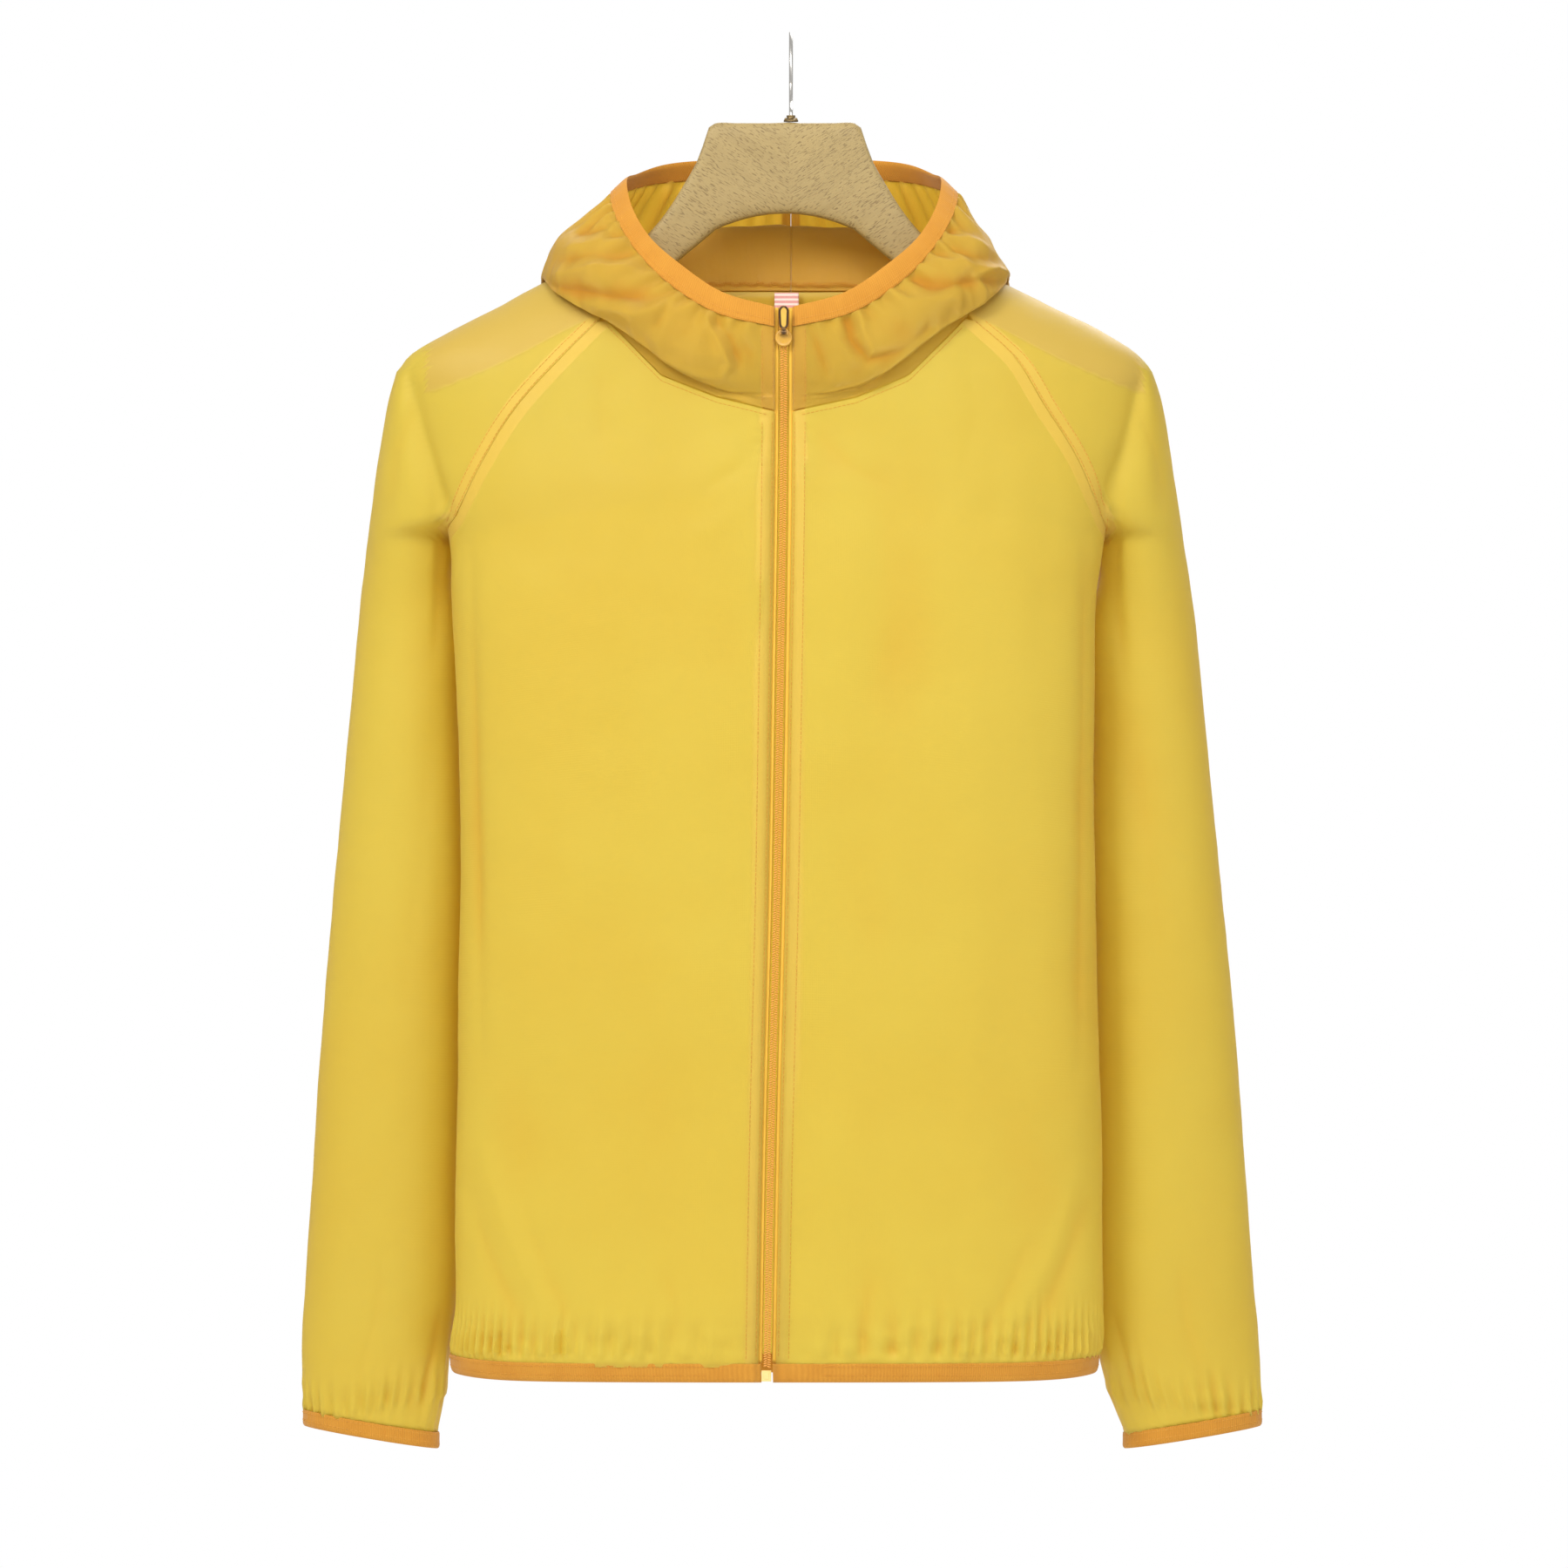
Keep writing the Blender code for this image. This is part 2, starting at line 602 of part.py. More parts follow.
def make_hem_binding(collection):
    """Elastic binding round the hem, from one side of the zip to the other."""
    inner_gap = 0.0003

    def place(across, down):
        low = HEM_DROP + HEM_BAND / 2
        start = trunk_turn(zip_x(low) + ZIP_HALF_OPENING, low)
        end = 360.0 + trunk_turn(zip_x(low) - ZIP_HALF_OPENING, low)
        turn = start + (end - start) * across
        drop = hem_drop(turn) + inner_gap + HEM_BAND * down / 2
        return trunk_point(turn, drop, BAND_PROUD)

    sheet(collection, "hem_binding", sheet_grid(HEM_COLUMNS, 2), place, BINDING_ORANGE,
          BAND_WALL)


# ------------------------------------------------------------------------------ sleeves
SLEEVE_HALF_COLUMNS = 7
SLEEVE_DROPS = (0.1345, 0.1380, 0.1430, 0.1500, 0.1580, 0.1660, 0.1760, 0.1840, 0.1900,
                0.1960, 0.2070, 0.2160, *SEAM_DROPS[4:], 0.3000,
                0.3180, 0.3500, 0.4200, 0.5000, 0.5800, 0.6600, 0.7250, 0.7600, 0.7790,
                SLEEVE_END_DROP)
CUFF_WAVES = 14
CUFF_GATHER_DEPTH = 0.0011
FOLD_FROM_EDGE = 0.0075     # the shoulder fold lies this far inside the trunk's edge
SECTION_STEPS = 48
ARMPIT_CLEAR = 0.0014       # the sleeve stays this far off the body under the arm


def sleeve_section(drop, side, proud=0.0):
    """Points of a sleeve's section from its front seam round outside to its back seam."""
    inner_drop, lo, li, ro, ri, middle_y, half_depth = sleeve_curve(drop)
    outer, inner = (lo, li) if side < 0 else (ro, ri)
    front_turn = raglan_turn(drop, side)
    back_turn = raglan_turn(drop, side, on_back=True)
    if drop < ARMPIT_DROP:
        front_turn = beside_seam(front_turn, drop, side)
        back_turn = beside_seam(back_turn, drop, -side)
    if drop <= LOBE_START_DROP:
        ridge = np.linspace(front_turn, side * 90.0, SECTION_STEPS + 1)
        turns = np.concatenate((ridge, np.linspace(side * 90.0, back_turn,
                                                   SECTION_STEPS + 1)[1:]))
        return [trunk_point(turn, drop, proud) for turn in turns]
    edge = trunk_curve(drop)[0 if side < 0 else 1]
    fold_x = edge - side * FOLD_FROM_EDGE
    fold_turn = side * max(abs(trunk_turn(fold_x, drop)), abs(front_turn))
    back_fold = side * min(abs(trunk_turn(fold_x, drop, on_back=True)), abs(back_turn))
    front_sheet = [trunk_point(turn, drop, proud)
                   for turn in np.linspace(front_turn, fold_turn, SECTION_STEPS // 2)]
    back_sheet = [trunk_point(turn, drop, proud)
                  for turn in np.linspace(back_fold, back_turn, SECTION_STEPS // 2)]
    half_width = abs(outer - inner) / 2 + proud
    middle_x = (outer + inner) / 2
    depth = half_depth + proud
    start = Vector((middle_x - side * half_width, middle_y, 0.0))
    if drop < ARMPIT_DROP:
        tips = (front_sheet[-1], back_sheet[0])
    else:
        below = min((drop - ARMPIT_DROP) / 0.040, 1.0)
        below = below * below * (3.0 - 2.0 * below)
        armpit = trunk_point(side * ARMPIT_TURN, drop, ARMPIT_CLEAR)
        tips = (armpit.lerp(start, below),) * 2
    lobe = []
    for step in range(2 * SECTION_STEPS + 1):
        share = step / (2 * SECTION_STEPS)
        angle = 2.0 * math.pi * share
        x = middle_x - side * half_width * math.cos(angle)
        y = middle_y - depth * math.sin(angle)
        near = (1.0 - share) ** TIP_FADE
        far = share ** TIP_FADE
        x += (tips[0].x - start.x) * near + (tips[1].x - start.x) * far
        y += (tips[0].y - start.y) * near + (tips[1].y - start.y) * far
        if drop < ARMPIT_DROP:
            reach = min(abs(x - tips[0].x), abs(x - tips[1].x)) / FOLD_WIDTH
            dip = FOLD_DIP * reach * math.exp(1.0 - reach) * max(0.0, 1.0 - 2.2 * min(
                share, 1.0 - share))
            y += dip * (1.0 if share < 0.5 else -1.0)
        tilt = (inner_drop - drop) * (x - outer) / (inner - outer)
        lobe.append(Vector((x, y, -drop - tilt)))
    if drop >= ARMPIT_DROP:
        return lobe
    return front_sheet[:-1] + lobe + back_sheet[1:]


def even_half(points, count):
    """The same line with its points at even distances."""
    steps = [0.0]
    for first, second in zip(points, points[1:]):
        steps.append(steps[-1] + (second - first).length)
    even = []
    for target in np.linspace(0.0, steps[-1], count + 1):
        i = min(int(np.searchsorted(steps, target, side="right")) - 1, len(points) - 2)
        span = max(steps[i + 1] - steps[i], 1e-9)
        even.append(points[i].lerp(points[i + 1], min((target - steps[i]) / span, 1.0)))
    return even


def sleeve_line(drop, side, columns, proud=0.0):
    """Section with its points evenly spaced in front of and behind its outermost point."""
    points = sleeve_section(drop, side, proud)
    outermost = max(range(len(points)), key=lambda i: points[i].x * side)
    front = even_half(points[:outermost + 1], columns)
    back = even_half(points[outermost:], columns)
    return front + back[1:]


def sleeve_place(side):
    """Map for a sleeve: across from its front seam round outside to its back seam."""
    rows = len(SLEEVE_DROPS) - 1
    fine = CUFF_WAVES * WAVE_COLUMNS // 2
    lines = [sleeve_line(drop, side, fine) for drop in SLEEVE_DROPS]

    def place(across, down):
        row = int(round(down))
        column = int(round(across * 2 * fine))
        point = lines[row][column].copy()
        if row >= rows - 1:
            share = 1.0 if row == rows else 0.55
            middle = Vector((sum(lines[row][i].x for i in (0, fine)) / 2, 0.028, point.z))
            out = (point - middle).normalized()
            point += out * wave(across, CUFF_WAVES, CUFF_GATHER_DEPTH) * share
        return point

    return place, rows


def sleeve_outward(side):
    """Direction away from a sleeve's own middle line."""
    def outward(point):
        if point.z > -LOBE_START_DROP:
            return from_axis(point)
        _low, lo, li, ro, ri, middle_y, _depth = sleeve_curve(-point.z)
        middle_x = (lo + li) / 2 if side < 0 else (ro + ri) / 2
        return Vector((point.x - middle_x, point.y - middle_y, 0.0)).normalized()
    return outward


def make_sleeves(collection):
    for name, side in (("sleeve_left", -1), ("sleeve_right", 1)):
        place, rows = sleeve_place(side)
        columns = 2 * SLEEVE_HALF_COLUMNS
        splits = CUFF_WAVES * WAVE_COLUMNS // columns
        grid = sheet_grid(columns, rows, GATHER_ROWS, splits)
        sheet(collection, name, grid, place, CLOTH_YELLOW, outward=sleeve_outward(side),
              weld=True)


CUFF_COLUMNS = 28


def make_cuff_bindings(collection):
    """Closed elastic band below each sleeve's gathered end."""
    for name, side in (("cuff_binding_left", -1), ("cuff_binding_right", 1)):
        line = sleeve_line(SLEEVE_END_DROP, side, CUFF_COLUMNS // 2, BAND_PROUD)

        def place(across, down, line=line):
            point = line[int(round(across * CUFF_COLUMNS))].copy()
            point.z -= 0.0003 + CUFF_BAND * down / 2
            return point

        sheet(collection, name, sheet_grid(CUFF_COLUMNS, 2), place, BINDING_ORANGE,
              BAND_WALL, outward=sleeve_outward(side), weld=True)


# --------------------------------------------------------------------------------- hood
HOOD_COLUMNS = 14
HOOD_ROWS = (0.0, 0.5, 1.0, 1.35, 1.7, 2.0, 2.25, 2.5, 2.75, 3.0, 3.25, 3.5, 3.75, 4.0)
HOOD_GATHER_ROWS = 3
HOOD_WAVES = 21
HOOD_GATHER_DEPTH = 0.0016
HOOD_GATHER_FADE = 0.75     # gathers fade over this share of the way from rim to bulge


def neck_point(turn, side, raised=0.0):
    """Neck seam at a turn from the opening to the middle back, or a little above it."""
    curve = neck_front_curve if turn <= 90.0 else neck_back_curve
    left, right, drop = curve(turn)
    x = left if side < 0 else right
    on_back = turn > 90.0
    return trunk_point(trunk_turn(x, drop, on_back), drop) + Vector((0.0, 0.0, raised))


def loop_x(turn, side, reach, middle_x):
    """x of a loop of the hood, which ends at the zip in front and at the back seam."""
    sine = math.sin(math.radians(turn))
    cosine = math.cos(math.radians(turn))
    end_x = -0.0042 if turn < 90.0 else 0.0
    middle = end_x + (middle_x - end_x) * sine * sine
    opening = ZIP_HALF_OPENING if turn < 90.0 else SEAM_GAP
    return middle + side * (reach + opening * abs(cosine) ** 4)


def rim_y(turn, depth):
    return RIM_Y - depth * math.cos(math.radians(turn))


def hood_profile(turn, side):
    """Five points across the hood at one turn: seam, tuck, lip, bulge, rim."""
    (tuck_rise, lip_reach, lip_y, lip_drop, bulge_reach, bulge_y, bulge_drop,
     rim_drop, _edge_drop) = hood_curve(turn)
    seam = neck_point(turn, side, NECK_GAP)
    out = Vector((seam.x - HOOD_SIDE_X, seam.y * 2.0, 0.0)).normalized()
    tuck = seam + out * 0.0015 + Vector((0.0, 0.0, tuck_rise))
    lip = Vector((loop_x(turn, side, lip_reach, HOOD_SIDE_X), lip_y, -lip_drop))
    bulge = Vector((loop_x(turn, side, bulge_reach, HOOD_SIDE_X), bulge_y, -bulge_drop))
    rim_reach = RIM_HALF * math.sin(math.radians(turn))
    rim = Vector((loop_x(turn, side, rim_reach, RIM_X), rim_y(turn, RIM_DEPTH), -rim_drop))
    return Smooth(range(5), [list(point) for point in (seam, tuck, lip, bulge, rim)])


def hood_place(side):
    """Map for half of the hood: across from the opening to the middle back seam."""
    profiles = {}

    def profile(turn):
        if turn not in profiles:
            profiles[turn] = hood_profile(turn, side)
        return profiles[turn]

    def place(across, down):
        row = min(int(down), len(HOOD_ROWS) - 2)
        station = HOOD_ROWS[row] + (HOOD_ROWS[row + 1] - HOOD_ROWS[row]) * (down - row)
        turn = 180.0 * across
        point = Vector(profile(turn)(station))
        strength = max(0.0, 1.0 - (4.0 - station) / HOOD_GATHER_FADE)
        strength *= min(across / GATHER_CLEAR, (1.0 - across) / GATHER_CLEAR, 1.0)
        if strength <= 0.0:
            return point
        nearby = min(turn + 1.0, 180.0)
        before = max(turn - 1.0, 0.0)
        along = Vector(profile(nearby)(station)) - Vector(profile(before)(station))
        upward = point - Vector(profile(turn)(station - 0.1))
        out = upward.cross(along).normalized() * side
        return point + out * wave(across, HOOD_WAVES, HOOD_GATHER_DEPTH) * strength

    return place


def hood_outward(point):
    """Out of the hood's bulge and, for the tucked part under it, up from the seam."""
    return Vector((point.x - HOOD_SIDE_X, point.y, 0.0)).normalized()


def make_hood(collection):
    for name, side in (("hood_left", -1), ("hood_right", 1)):
        grid = sheet_grid(HOOD_COLUMNS, len(HOOD_ROWS) - 1, HOOD_GATHER_ROWS,
                          HOOD_WAVES * WAVE_COLUMNS // HOOD_COLUMNS)
        sheet(collection, name, grid, hood_place(side), CLOTH_YELLOW, outward=hood_outward)


HOOD_BAND_COLUMNS = 52


def rim_edge(turn, side, share, proud):
    """Point of the face binding: share 0 at the hood's rim, 1 at the free edge."""
    row = hood_curve(turn)
    sine = math.sin(math.radians(turn))
    reach = (RIM_HALF + (EDGE_HALF - RIM_HALF) * share + proud) * sine
    depth = RIM_DEPTH + (EDGE_DEPTH - RIM_DEPTH) * share + proud
    drop = row[7] + (row[8] - row[7]) * share
    return Vector((loop_x(turn, side, reach, RIM_X), rim_y(turn, depth), -drop))


def make_hood_binding(collection):
    """Elastic binding of the face opening, from one side of the zip to the other."""
    first_share = 0.14

    def place(across, down):
        side = -1 if across < 0.5 else 1
        turn = 360.0 * across if side < 0 else 360.0 * (1.0 - across)
        share = first_share + (1.0 - first_share) * down / 2
        point = rim_edge(turn, side, share, BAND_PROUD)
        if abs(across - 0.5) < 1e-6:
            point.x = 0.0
        return point

    sheet(collection, "hood_binding", sheet_grid(HOOD_BAND_COLUMNS, 2), place,
          BINDING_ORANGE, BAND_WALL, outward=hood_outward)


# ---------------------------------------------------------------------------------- zip
ZIP_ROWS = 30


def opening_y(drop):
    """Outer surface beside the zip, up over the hood's front as well."""
    if drop >= NECK_DROP:
        return -trunk_curve(drop)[2]
    rows = hood_curve(0.0)
    knots = (rows[8], rows[7], rows[6], rows[3], NECK_DROP)
    depths = (rim_y(0.0, EDGE_DEPTH), rim_y(0.0, RIM_DEPTH), rows[5], rows[2],
              -trunk_curve(NECK_DROP)[2])
    return float(Smooth(knots, depths)(drop))


def zip_strip(collection, name, inner, outer, behind, wall, top, bottom, paint):
    """Upright strip along the zip between two distances from its middle."""
    def place(across, down):
        drop = top + (bottom - top) * down / ZIP_ROWS
        x = zip_x(drop) + inner + (outer - inner) * across
        return Vector((x, opening_y(drop) + behind, -drop))

    def forward(_point):
        return Vector((0.0, -1.0, 0.0))

    sheet(collection, name, sheet_grid(1, ZIP_ROWS), place, paint, wall, forward)


def cube(low, high):
    """Box between two corners."""
    box = bmesh.new()
    bmesh.ops.create_cube(box, size=1.0)
    low = Vector(low)
    high = Vector(high)
    for vertex in box.verts:
        vertex.co = Vector([low[i] + (high[i] - low[i]) * (vertex.co[i] + 0.5)
                            for i in range(3)])
    return box


def rod(radius, length, centre, along, sides=16):
    """Cylinder with its middle at centre, along X or Y."""
    cylinder = bmesh.new()
    bmesh.ops.create_cone(cylinder, cap_ends=True, segments=sides, radius1=radius,
                          radius2=radius, depth=length)
    for vertex in cylinder.verts:
        x, y, z = vertex.co
        vertex.co = Vector((z, x, y) if along == "X" else (x, z, -y)) + Vector(centre)
    return cylinder


def combine(collection, name, base, others, paint, operation="UNION"):
    """Join other shapes to a first one, or cut them from it, and keep one mesh."""
    item = add_object(collection, name, base, paint, smooth=False)
    extras = []
    for number, shape in enumerate(others):
        extra = add_object(collection, f"{name}_extra_{number}", shape, paint, smooth=False)
        extras.append(extra)
        merge = item.modifiers.new(f"Join {number}", "BOOLEAN")
        merge.operation = operation
        merge.solver = "EXACT"
        merge.object = extra
    settle(item)
    for extra in extras:
        bpy.data.objects.remove(extra, do_unlink=True)
    return item


def settle(item):
    """Make an object's modifiers part of its mesh."""
    graph = bpy.context.evaluated_depsgraph_get()
    mesh = bpy.data.meshes.new_from_object(item.evaluated_get(graph))
    item.modifiers.clear()
    item.data = mesh


SLIDER_RADIUS = 0.0050
SLIDER_FRONT = 0.0030       # the slider's face stands this far before the fronts
SLIDER_PLATE = 0.0021
PIN_RADIUS = 0.00055
PIN_BEFORE = 0.0050         # the pull's pin stands this far before the fronts
PIN_RAISED = 0.0032         # and this far above the middle of the slider
LUG_INNER = 0.0017
LUG_OUTER = 0.0025


def slider_frame():
    """Middle of the slider on the outer surface, and the pull's pin."""
    middle = Vector((zip_x(SLIDER_DROP), opening_y(SLIDER_DROP), -SLIDER_DROP))
    pin = middle + Vector((0.0, -PIN_BEFORE, PIN_RAISED))
    return middle, pin


def make_slider(collection):
    middle, pin = slider_frame()
    plate_middle = middle + Vector((0.0, -SLIDER_FRONT + SLIDER_PLATE / 2, 0.0))
    plate = rod(SLIDER_RADIUS, SLIDER_PLATE, plate_middle, "Y", 24)
    others = [rod(PIN_RADIUS, 2 * LUG_OUTER - 0.0002, pin, "X", 12)]
    for side in (-1, 1):
        inner, outer = sorted((side * LUG_INNER, side * LUG_OUTER))
        others.append(cube(
            (middle.x + inner, pin.y - 0.0010, pin.z - 0.0012),
            (middle.x + outer, middle.y - SLIDER_FRONT + 0.0006, pin.z + 0.0010)))
        inner, outer = sorted((side * 0.0030, side * 0.0040))
        others.append(cube(
            (middle.x + inner, middle.y - SLIDER_FRONT + SLIDER_PLATE - 0.0006,
             middle.z - 0.0024),
            (middle.x + outer, middle.y + 0.0010, middle.z + 0.0024)))
    combine(collection, "zip_slider", plate, others, SLIDER_AMBER)


EYE_RADIUS = 0.0015
EYE_HOLE = 0.0009
EYE_HALF = 0.0013
PULL_NECK = 0.0024          # the tab is full width from this far above the pin
PULL_THICK = 0.0011


def make_pull(collection):
    """Pull tab, which stands up from its pin; its origin is on the pin's axis."""
    _middle, pin = slider_frame()
    eye = rod(EYE_RADIUS, 2 * EYE_HALF, (0.0, 0.0, 0.0), "X", 16)
    half = PULL_THICK / 2
    neck = cube((-EYE_HALF, -half, EYE_HOLE + 0.0002), (EYE_HALF, half, PULL_NECK + 0.0010))
    tab = cube((-PULL_WIDTH / 2, -half, PULL_NECK), (PULL_WIDTH / 2, half, PULL_LENGTH))
    upright = [edge for edge in tab.edges
               if abs(edge.verts[0].co.x - edge.verts[1].co.x) < 1e-6
               and abs(edge.verts[0].co.z - edge.verts[1].co.z) < 1e-6]
    bmesh.ops.bevel(tab, geom=upright, offset=0.0020, offset_type="OFFSET", segments=4,
                    profile=0.5, affect="EDGES")
    item = combine(collection, "zip_pull", eye, [neck, tab], SLIDER_AMBER)
    hole = rod(EYE_HOLE, 0.0080, (0.0, 0.0, 0.0), "X", 16)
    cutter = add_object(collection, "zip_pull_hole", hole, SLIDER_AMBER, smooth=False)
    cut = item.modifiers.new("Eye", "BOOLEAN")
    cut.operation = "DIFFERENCE"
    cut.object = cutter
    settle(item)
    bpy.data.objects.remove(cutter, do_unlink=True)
    item.location = pin


def make_zip(collection):
    tape_y = CLOTH + 0.0012
    tape_inner = ZIP_CHAIN_HALF + 0.0004
    tape_bottom = HEM_DROP - 0.0003
    for name, side in (("zip_tape_left", -1), ("zip_tape_right", 1)):
        ends = sorted((side * tape_inner, side * ZIP_TAPE_REACH))
        zip_strip(collection, name, ends[0], ends[1], tape_y, ZIP_TAPE, ZIP_TOP_DROP,
                  tape_bottom, TAPE_ORANGE)
    zip_strip(collection, "zip_chain", -ZIP_CHAIN_HALF, ZIP_CHAIN_HALF, -0.0004, ZIP_CHAIN,
              ZIP_TOP_DROP, ZIP_CHAIN_END_DROP, CHAIN_ORANGE)
    make_slider(collection)
    make_pull(collection)
    stop_drop = ZIP_CHAIN_END_DROP + 0.0003
    x = zip_x(stop_drop) - 0.0004
    y = opening_y(stop_drop)
    stop = cube((x - 0.0028, y - 0.0010, -stop_drop - 0.0062),
                (x + 0.0028, y + 0.0016, -stop_drop))
    bmesh.ops.bevel(stop, geom=stop.edges[:], offset=0.0005, offset_type="OFFSET",
                    segments=2, profile=0.5, affect="EDGES")
    add_object(collection, "zip_bottom_stop", stop, STOP_YELLOW)


# --------------------------------------------------------------------- label and hanger
def make_label(collection):
    """Small bare label that hangs inside the back neck."""
    y = trunk_point(180.0, BACK_NECK_DROP)[1] - CLOTH - 0.0012
    top = -BACK_NECK_DROP - 0.0004
    label = cube((LABEL_X - LABEL.x / 2, y - LABEL.y, top - LABEL.z),
                 (LABEL_X + LABEL.x / 2, y, top))
    add_object(collection, "neck_label", label, LABEL_PINK, smooth=False)


HANGER_SIDES = 12
HANGER_MIDDLE_HALF = (0.0080, 0.0225, 0.0340)   # stations between the joint and the neck
HANGER_ARCH = 0.1025        # drop of the arch under the middle


def hanger_ring(x, row):
    """Rounded upright section of the wood at one place along it."""
    middle = (row.top + row.bottom) / 2
    half_height = (row.bottom - row.top) / 2
    ring = []
    for step in range(HANGER_SIDES):
        angle = 2.0 * math.pi * (step + 0.5) / HANGER_SIDES
        y = row.half_depth * signed_power(math.cos(angle), 0.45)
        z = half_height * signed_power(math.sin(angle), 0.45)
        ring.append(Vector((x, y + row.lean, -middle + z)))
    return ring


def loft(rings):
    """Closed skin through rings of the same number of points, with flat ends."""
    skin = bmesh.new()
    loops = [[skin.verts.new(point) for point in ring] for ring in rings]
    for first, second in zip(loops, loops[1:]):
        for i in range(len(first)):
            j = (i + 1) % len(first)
            skin.faces.new((first[i], first[j], second[j], second[i]))
    skin.faces.new(loops[0])
    skin.faces.new(loops[-1])
    bmesh.ops.recalc_face_normals(skin, faces=skin.faces[:])
    return skin


def make_hanger(collection):
    for name, side in (("hanger_left", -1), ("hanger_right", 1)):
        start = HANGER_JOINT_X + side * 0.0002
        first = HangerRow(0.0, WOOD_TOP_DROP, HANGER_ARCH, 0.0065, 0.0)
        rings = [hanger_ring(start, first)]
        for reach in HANGER_MIDDLE_HALF:
            x = HANGER_MIDDLE_X + side * reach
            share = (reach / HANGER[0].reach) ** 2
            bottom = HANGER_ARCH + (HANGER[0].bottom - HANGER_ARCH) * share
            rings.append(hanger_ring(x, HangerRow(reach, WOOD_TOP_DROP + 0.0004, bottom,
                                                  0.0065, 0.0)))
        rings += [hanger_ring(HANGER_MIDDLE_X + side * row.reach, row) for row in HANGER]
        add_object(collection, name, loft(rings), BEECH)


def make_hook(collection):
    """Wire hook in the upright plane across the hanger, and the flanged ferrule."""
    radius = HOOK_RADIUS + HOOK_WIRE
    path = []
    path.append((0.0, 0.0, -0.0499))
    for step in range(5):
        path.append((0.0, 0.0130 * (step / 5) ** 2, -0.0457 + 0.0069 * step / 5))
    for degrees in range(-54, 206, 10):
        angle = math.radians(degrees)
        path.append((0.0, radius * math.cos(angle), -HOOK_RADIUS + radius * math.sin(angle)))
    curve = bpy.data.curves.new("hanger_hook", "CURVE")
    curve.dimensions = "3D"
    curve.bevel_depth = HOOK_WIRE
    curve.bevel_resolution = 2
    curve.use_fill_caps = True
    spline = curve.splines.new("POLY")
    spline.points.add(len(path) - 1)
    for point, place in zip(spline.points, path):
        point.co = (*place, 1.0)
    hook = bpy.data.objects.new("hanger_hook", curve)
    curve.materials.append(material("hanger_hook_finish", STEEL))
    collection.objects.link(hook)
    outline = ((0.0015, -0.0499), (0.0042, -0.0499), (0.0042, -0.0486), (0.0026, -0.0480),
               (0.0026, -0.0462), (0.0015, -0.0462))
    ring = bmesh.new()
    profile = [ring.verts.new((x, 0.0, z)) for x, z in outline]
    edges = [ring.edges.new((profile[i], profile[(i + 1) % len(profile)]))
             for i in range(len(profile))]
    bmesh.ops.spin(ring, geom=profile + edges, cent=(0.0, 0.0, 0.0), axis=(0.0, 0.0, 1.0),
                   angle=2.0 * math.pi, steps=16, use_merge=True)
    bmesh.ops.remove_doubles(ring, verts=ring.verts[:], dist=0.00001)
    bmesh.ops.recalc_face_normals(ring, faces=ring.faces[:])
    add_object(collection, "hanger_ferrule", ring, BRASS, smooth=False)


def main():
    collection = build_collection()
    make_body(collection)
    make_hem_binding(collection)
    make_sleeves(collection)
    make_cuff_bindings(collection)
    make_hood(collection)
    make_hood_binding(collection)
    make_zip(collection)
    make_label(collection)
    make_hanger(collection)
    make_hook(collection)


main()
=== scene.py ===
"""Looks of a thin hooded rain jacket that hangs on a wooden coat hanger.

Metres, +Z up, the front of the jacket faces -Y and +X is to the right of someone who looks
at it.  The origin is the inside top of the hanger's hook, and heights are given as drops
below that point, in the same tables as the solids.
"""

import bisect
import functools
import logging
import math
from dataclasses import dataclass
from enum import Enum
from typing import Callable, NamedTuple, Optional, Sequence

import bmesh
import bpy
import numpy as np
from mathutils import Matrix, Vector, kdtree, noise


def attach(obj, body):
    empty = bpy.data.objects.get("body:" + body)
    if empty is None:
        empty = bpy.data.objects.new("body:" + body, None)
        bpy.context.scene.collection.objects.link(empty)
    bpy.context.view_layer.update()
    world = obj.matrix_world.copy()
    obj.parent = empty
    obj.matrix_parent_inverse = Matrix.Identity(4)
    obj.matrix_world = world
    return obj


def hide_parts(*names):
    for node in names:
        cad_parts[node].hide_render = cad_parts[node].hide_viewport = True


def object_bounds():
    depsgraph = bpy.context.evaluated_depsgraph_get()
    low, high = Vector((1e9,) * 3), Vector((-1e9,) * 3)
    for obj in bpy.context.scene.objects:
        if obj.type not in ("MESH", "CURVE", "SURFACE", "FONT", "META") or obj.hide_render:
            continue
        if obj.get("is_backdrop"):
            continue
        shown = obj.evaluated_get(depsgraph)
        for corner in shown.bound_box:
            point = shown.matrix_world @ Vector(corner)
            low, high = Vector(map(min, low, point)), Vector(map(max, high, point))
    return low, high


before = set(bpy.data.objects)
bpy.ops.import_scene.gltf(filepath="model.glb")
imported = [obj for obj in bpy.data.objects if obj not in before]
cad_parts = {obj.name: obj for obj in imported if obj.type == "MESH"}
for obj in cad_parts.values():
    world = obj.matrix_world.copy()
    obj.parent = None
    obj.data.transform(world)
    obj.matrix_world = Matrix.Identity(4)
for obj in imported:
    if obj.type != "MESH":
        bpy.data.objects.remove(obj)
SOLID_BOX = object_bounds()

LOG = logging.getLogger("jacket")
JACKET = "jacket"
PULL = "pull"
PHOTO_MIDDLE = (908.0, 40.0)    # pixel of the hook's inside top
PIXEL = 0.0005                  # metres in one pixel

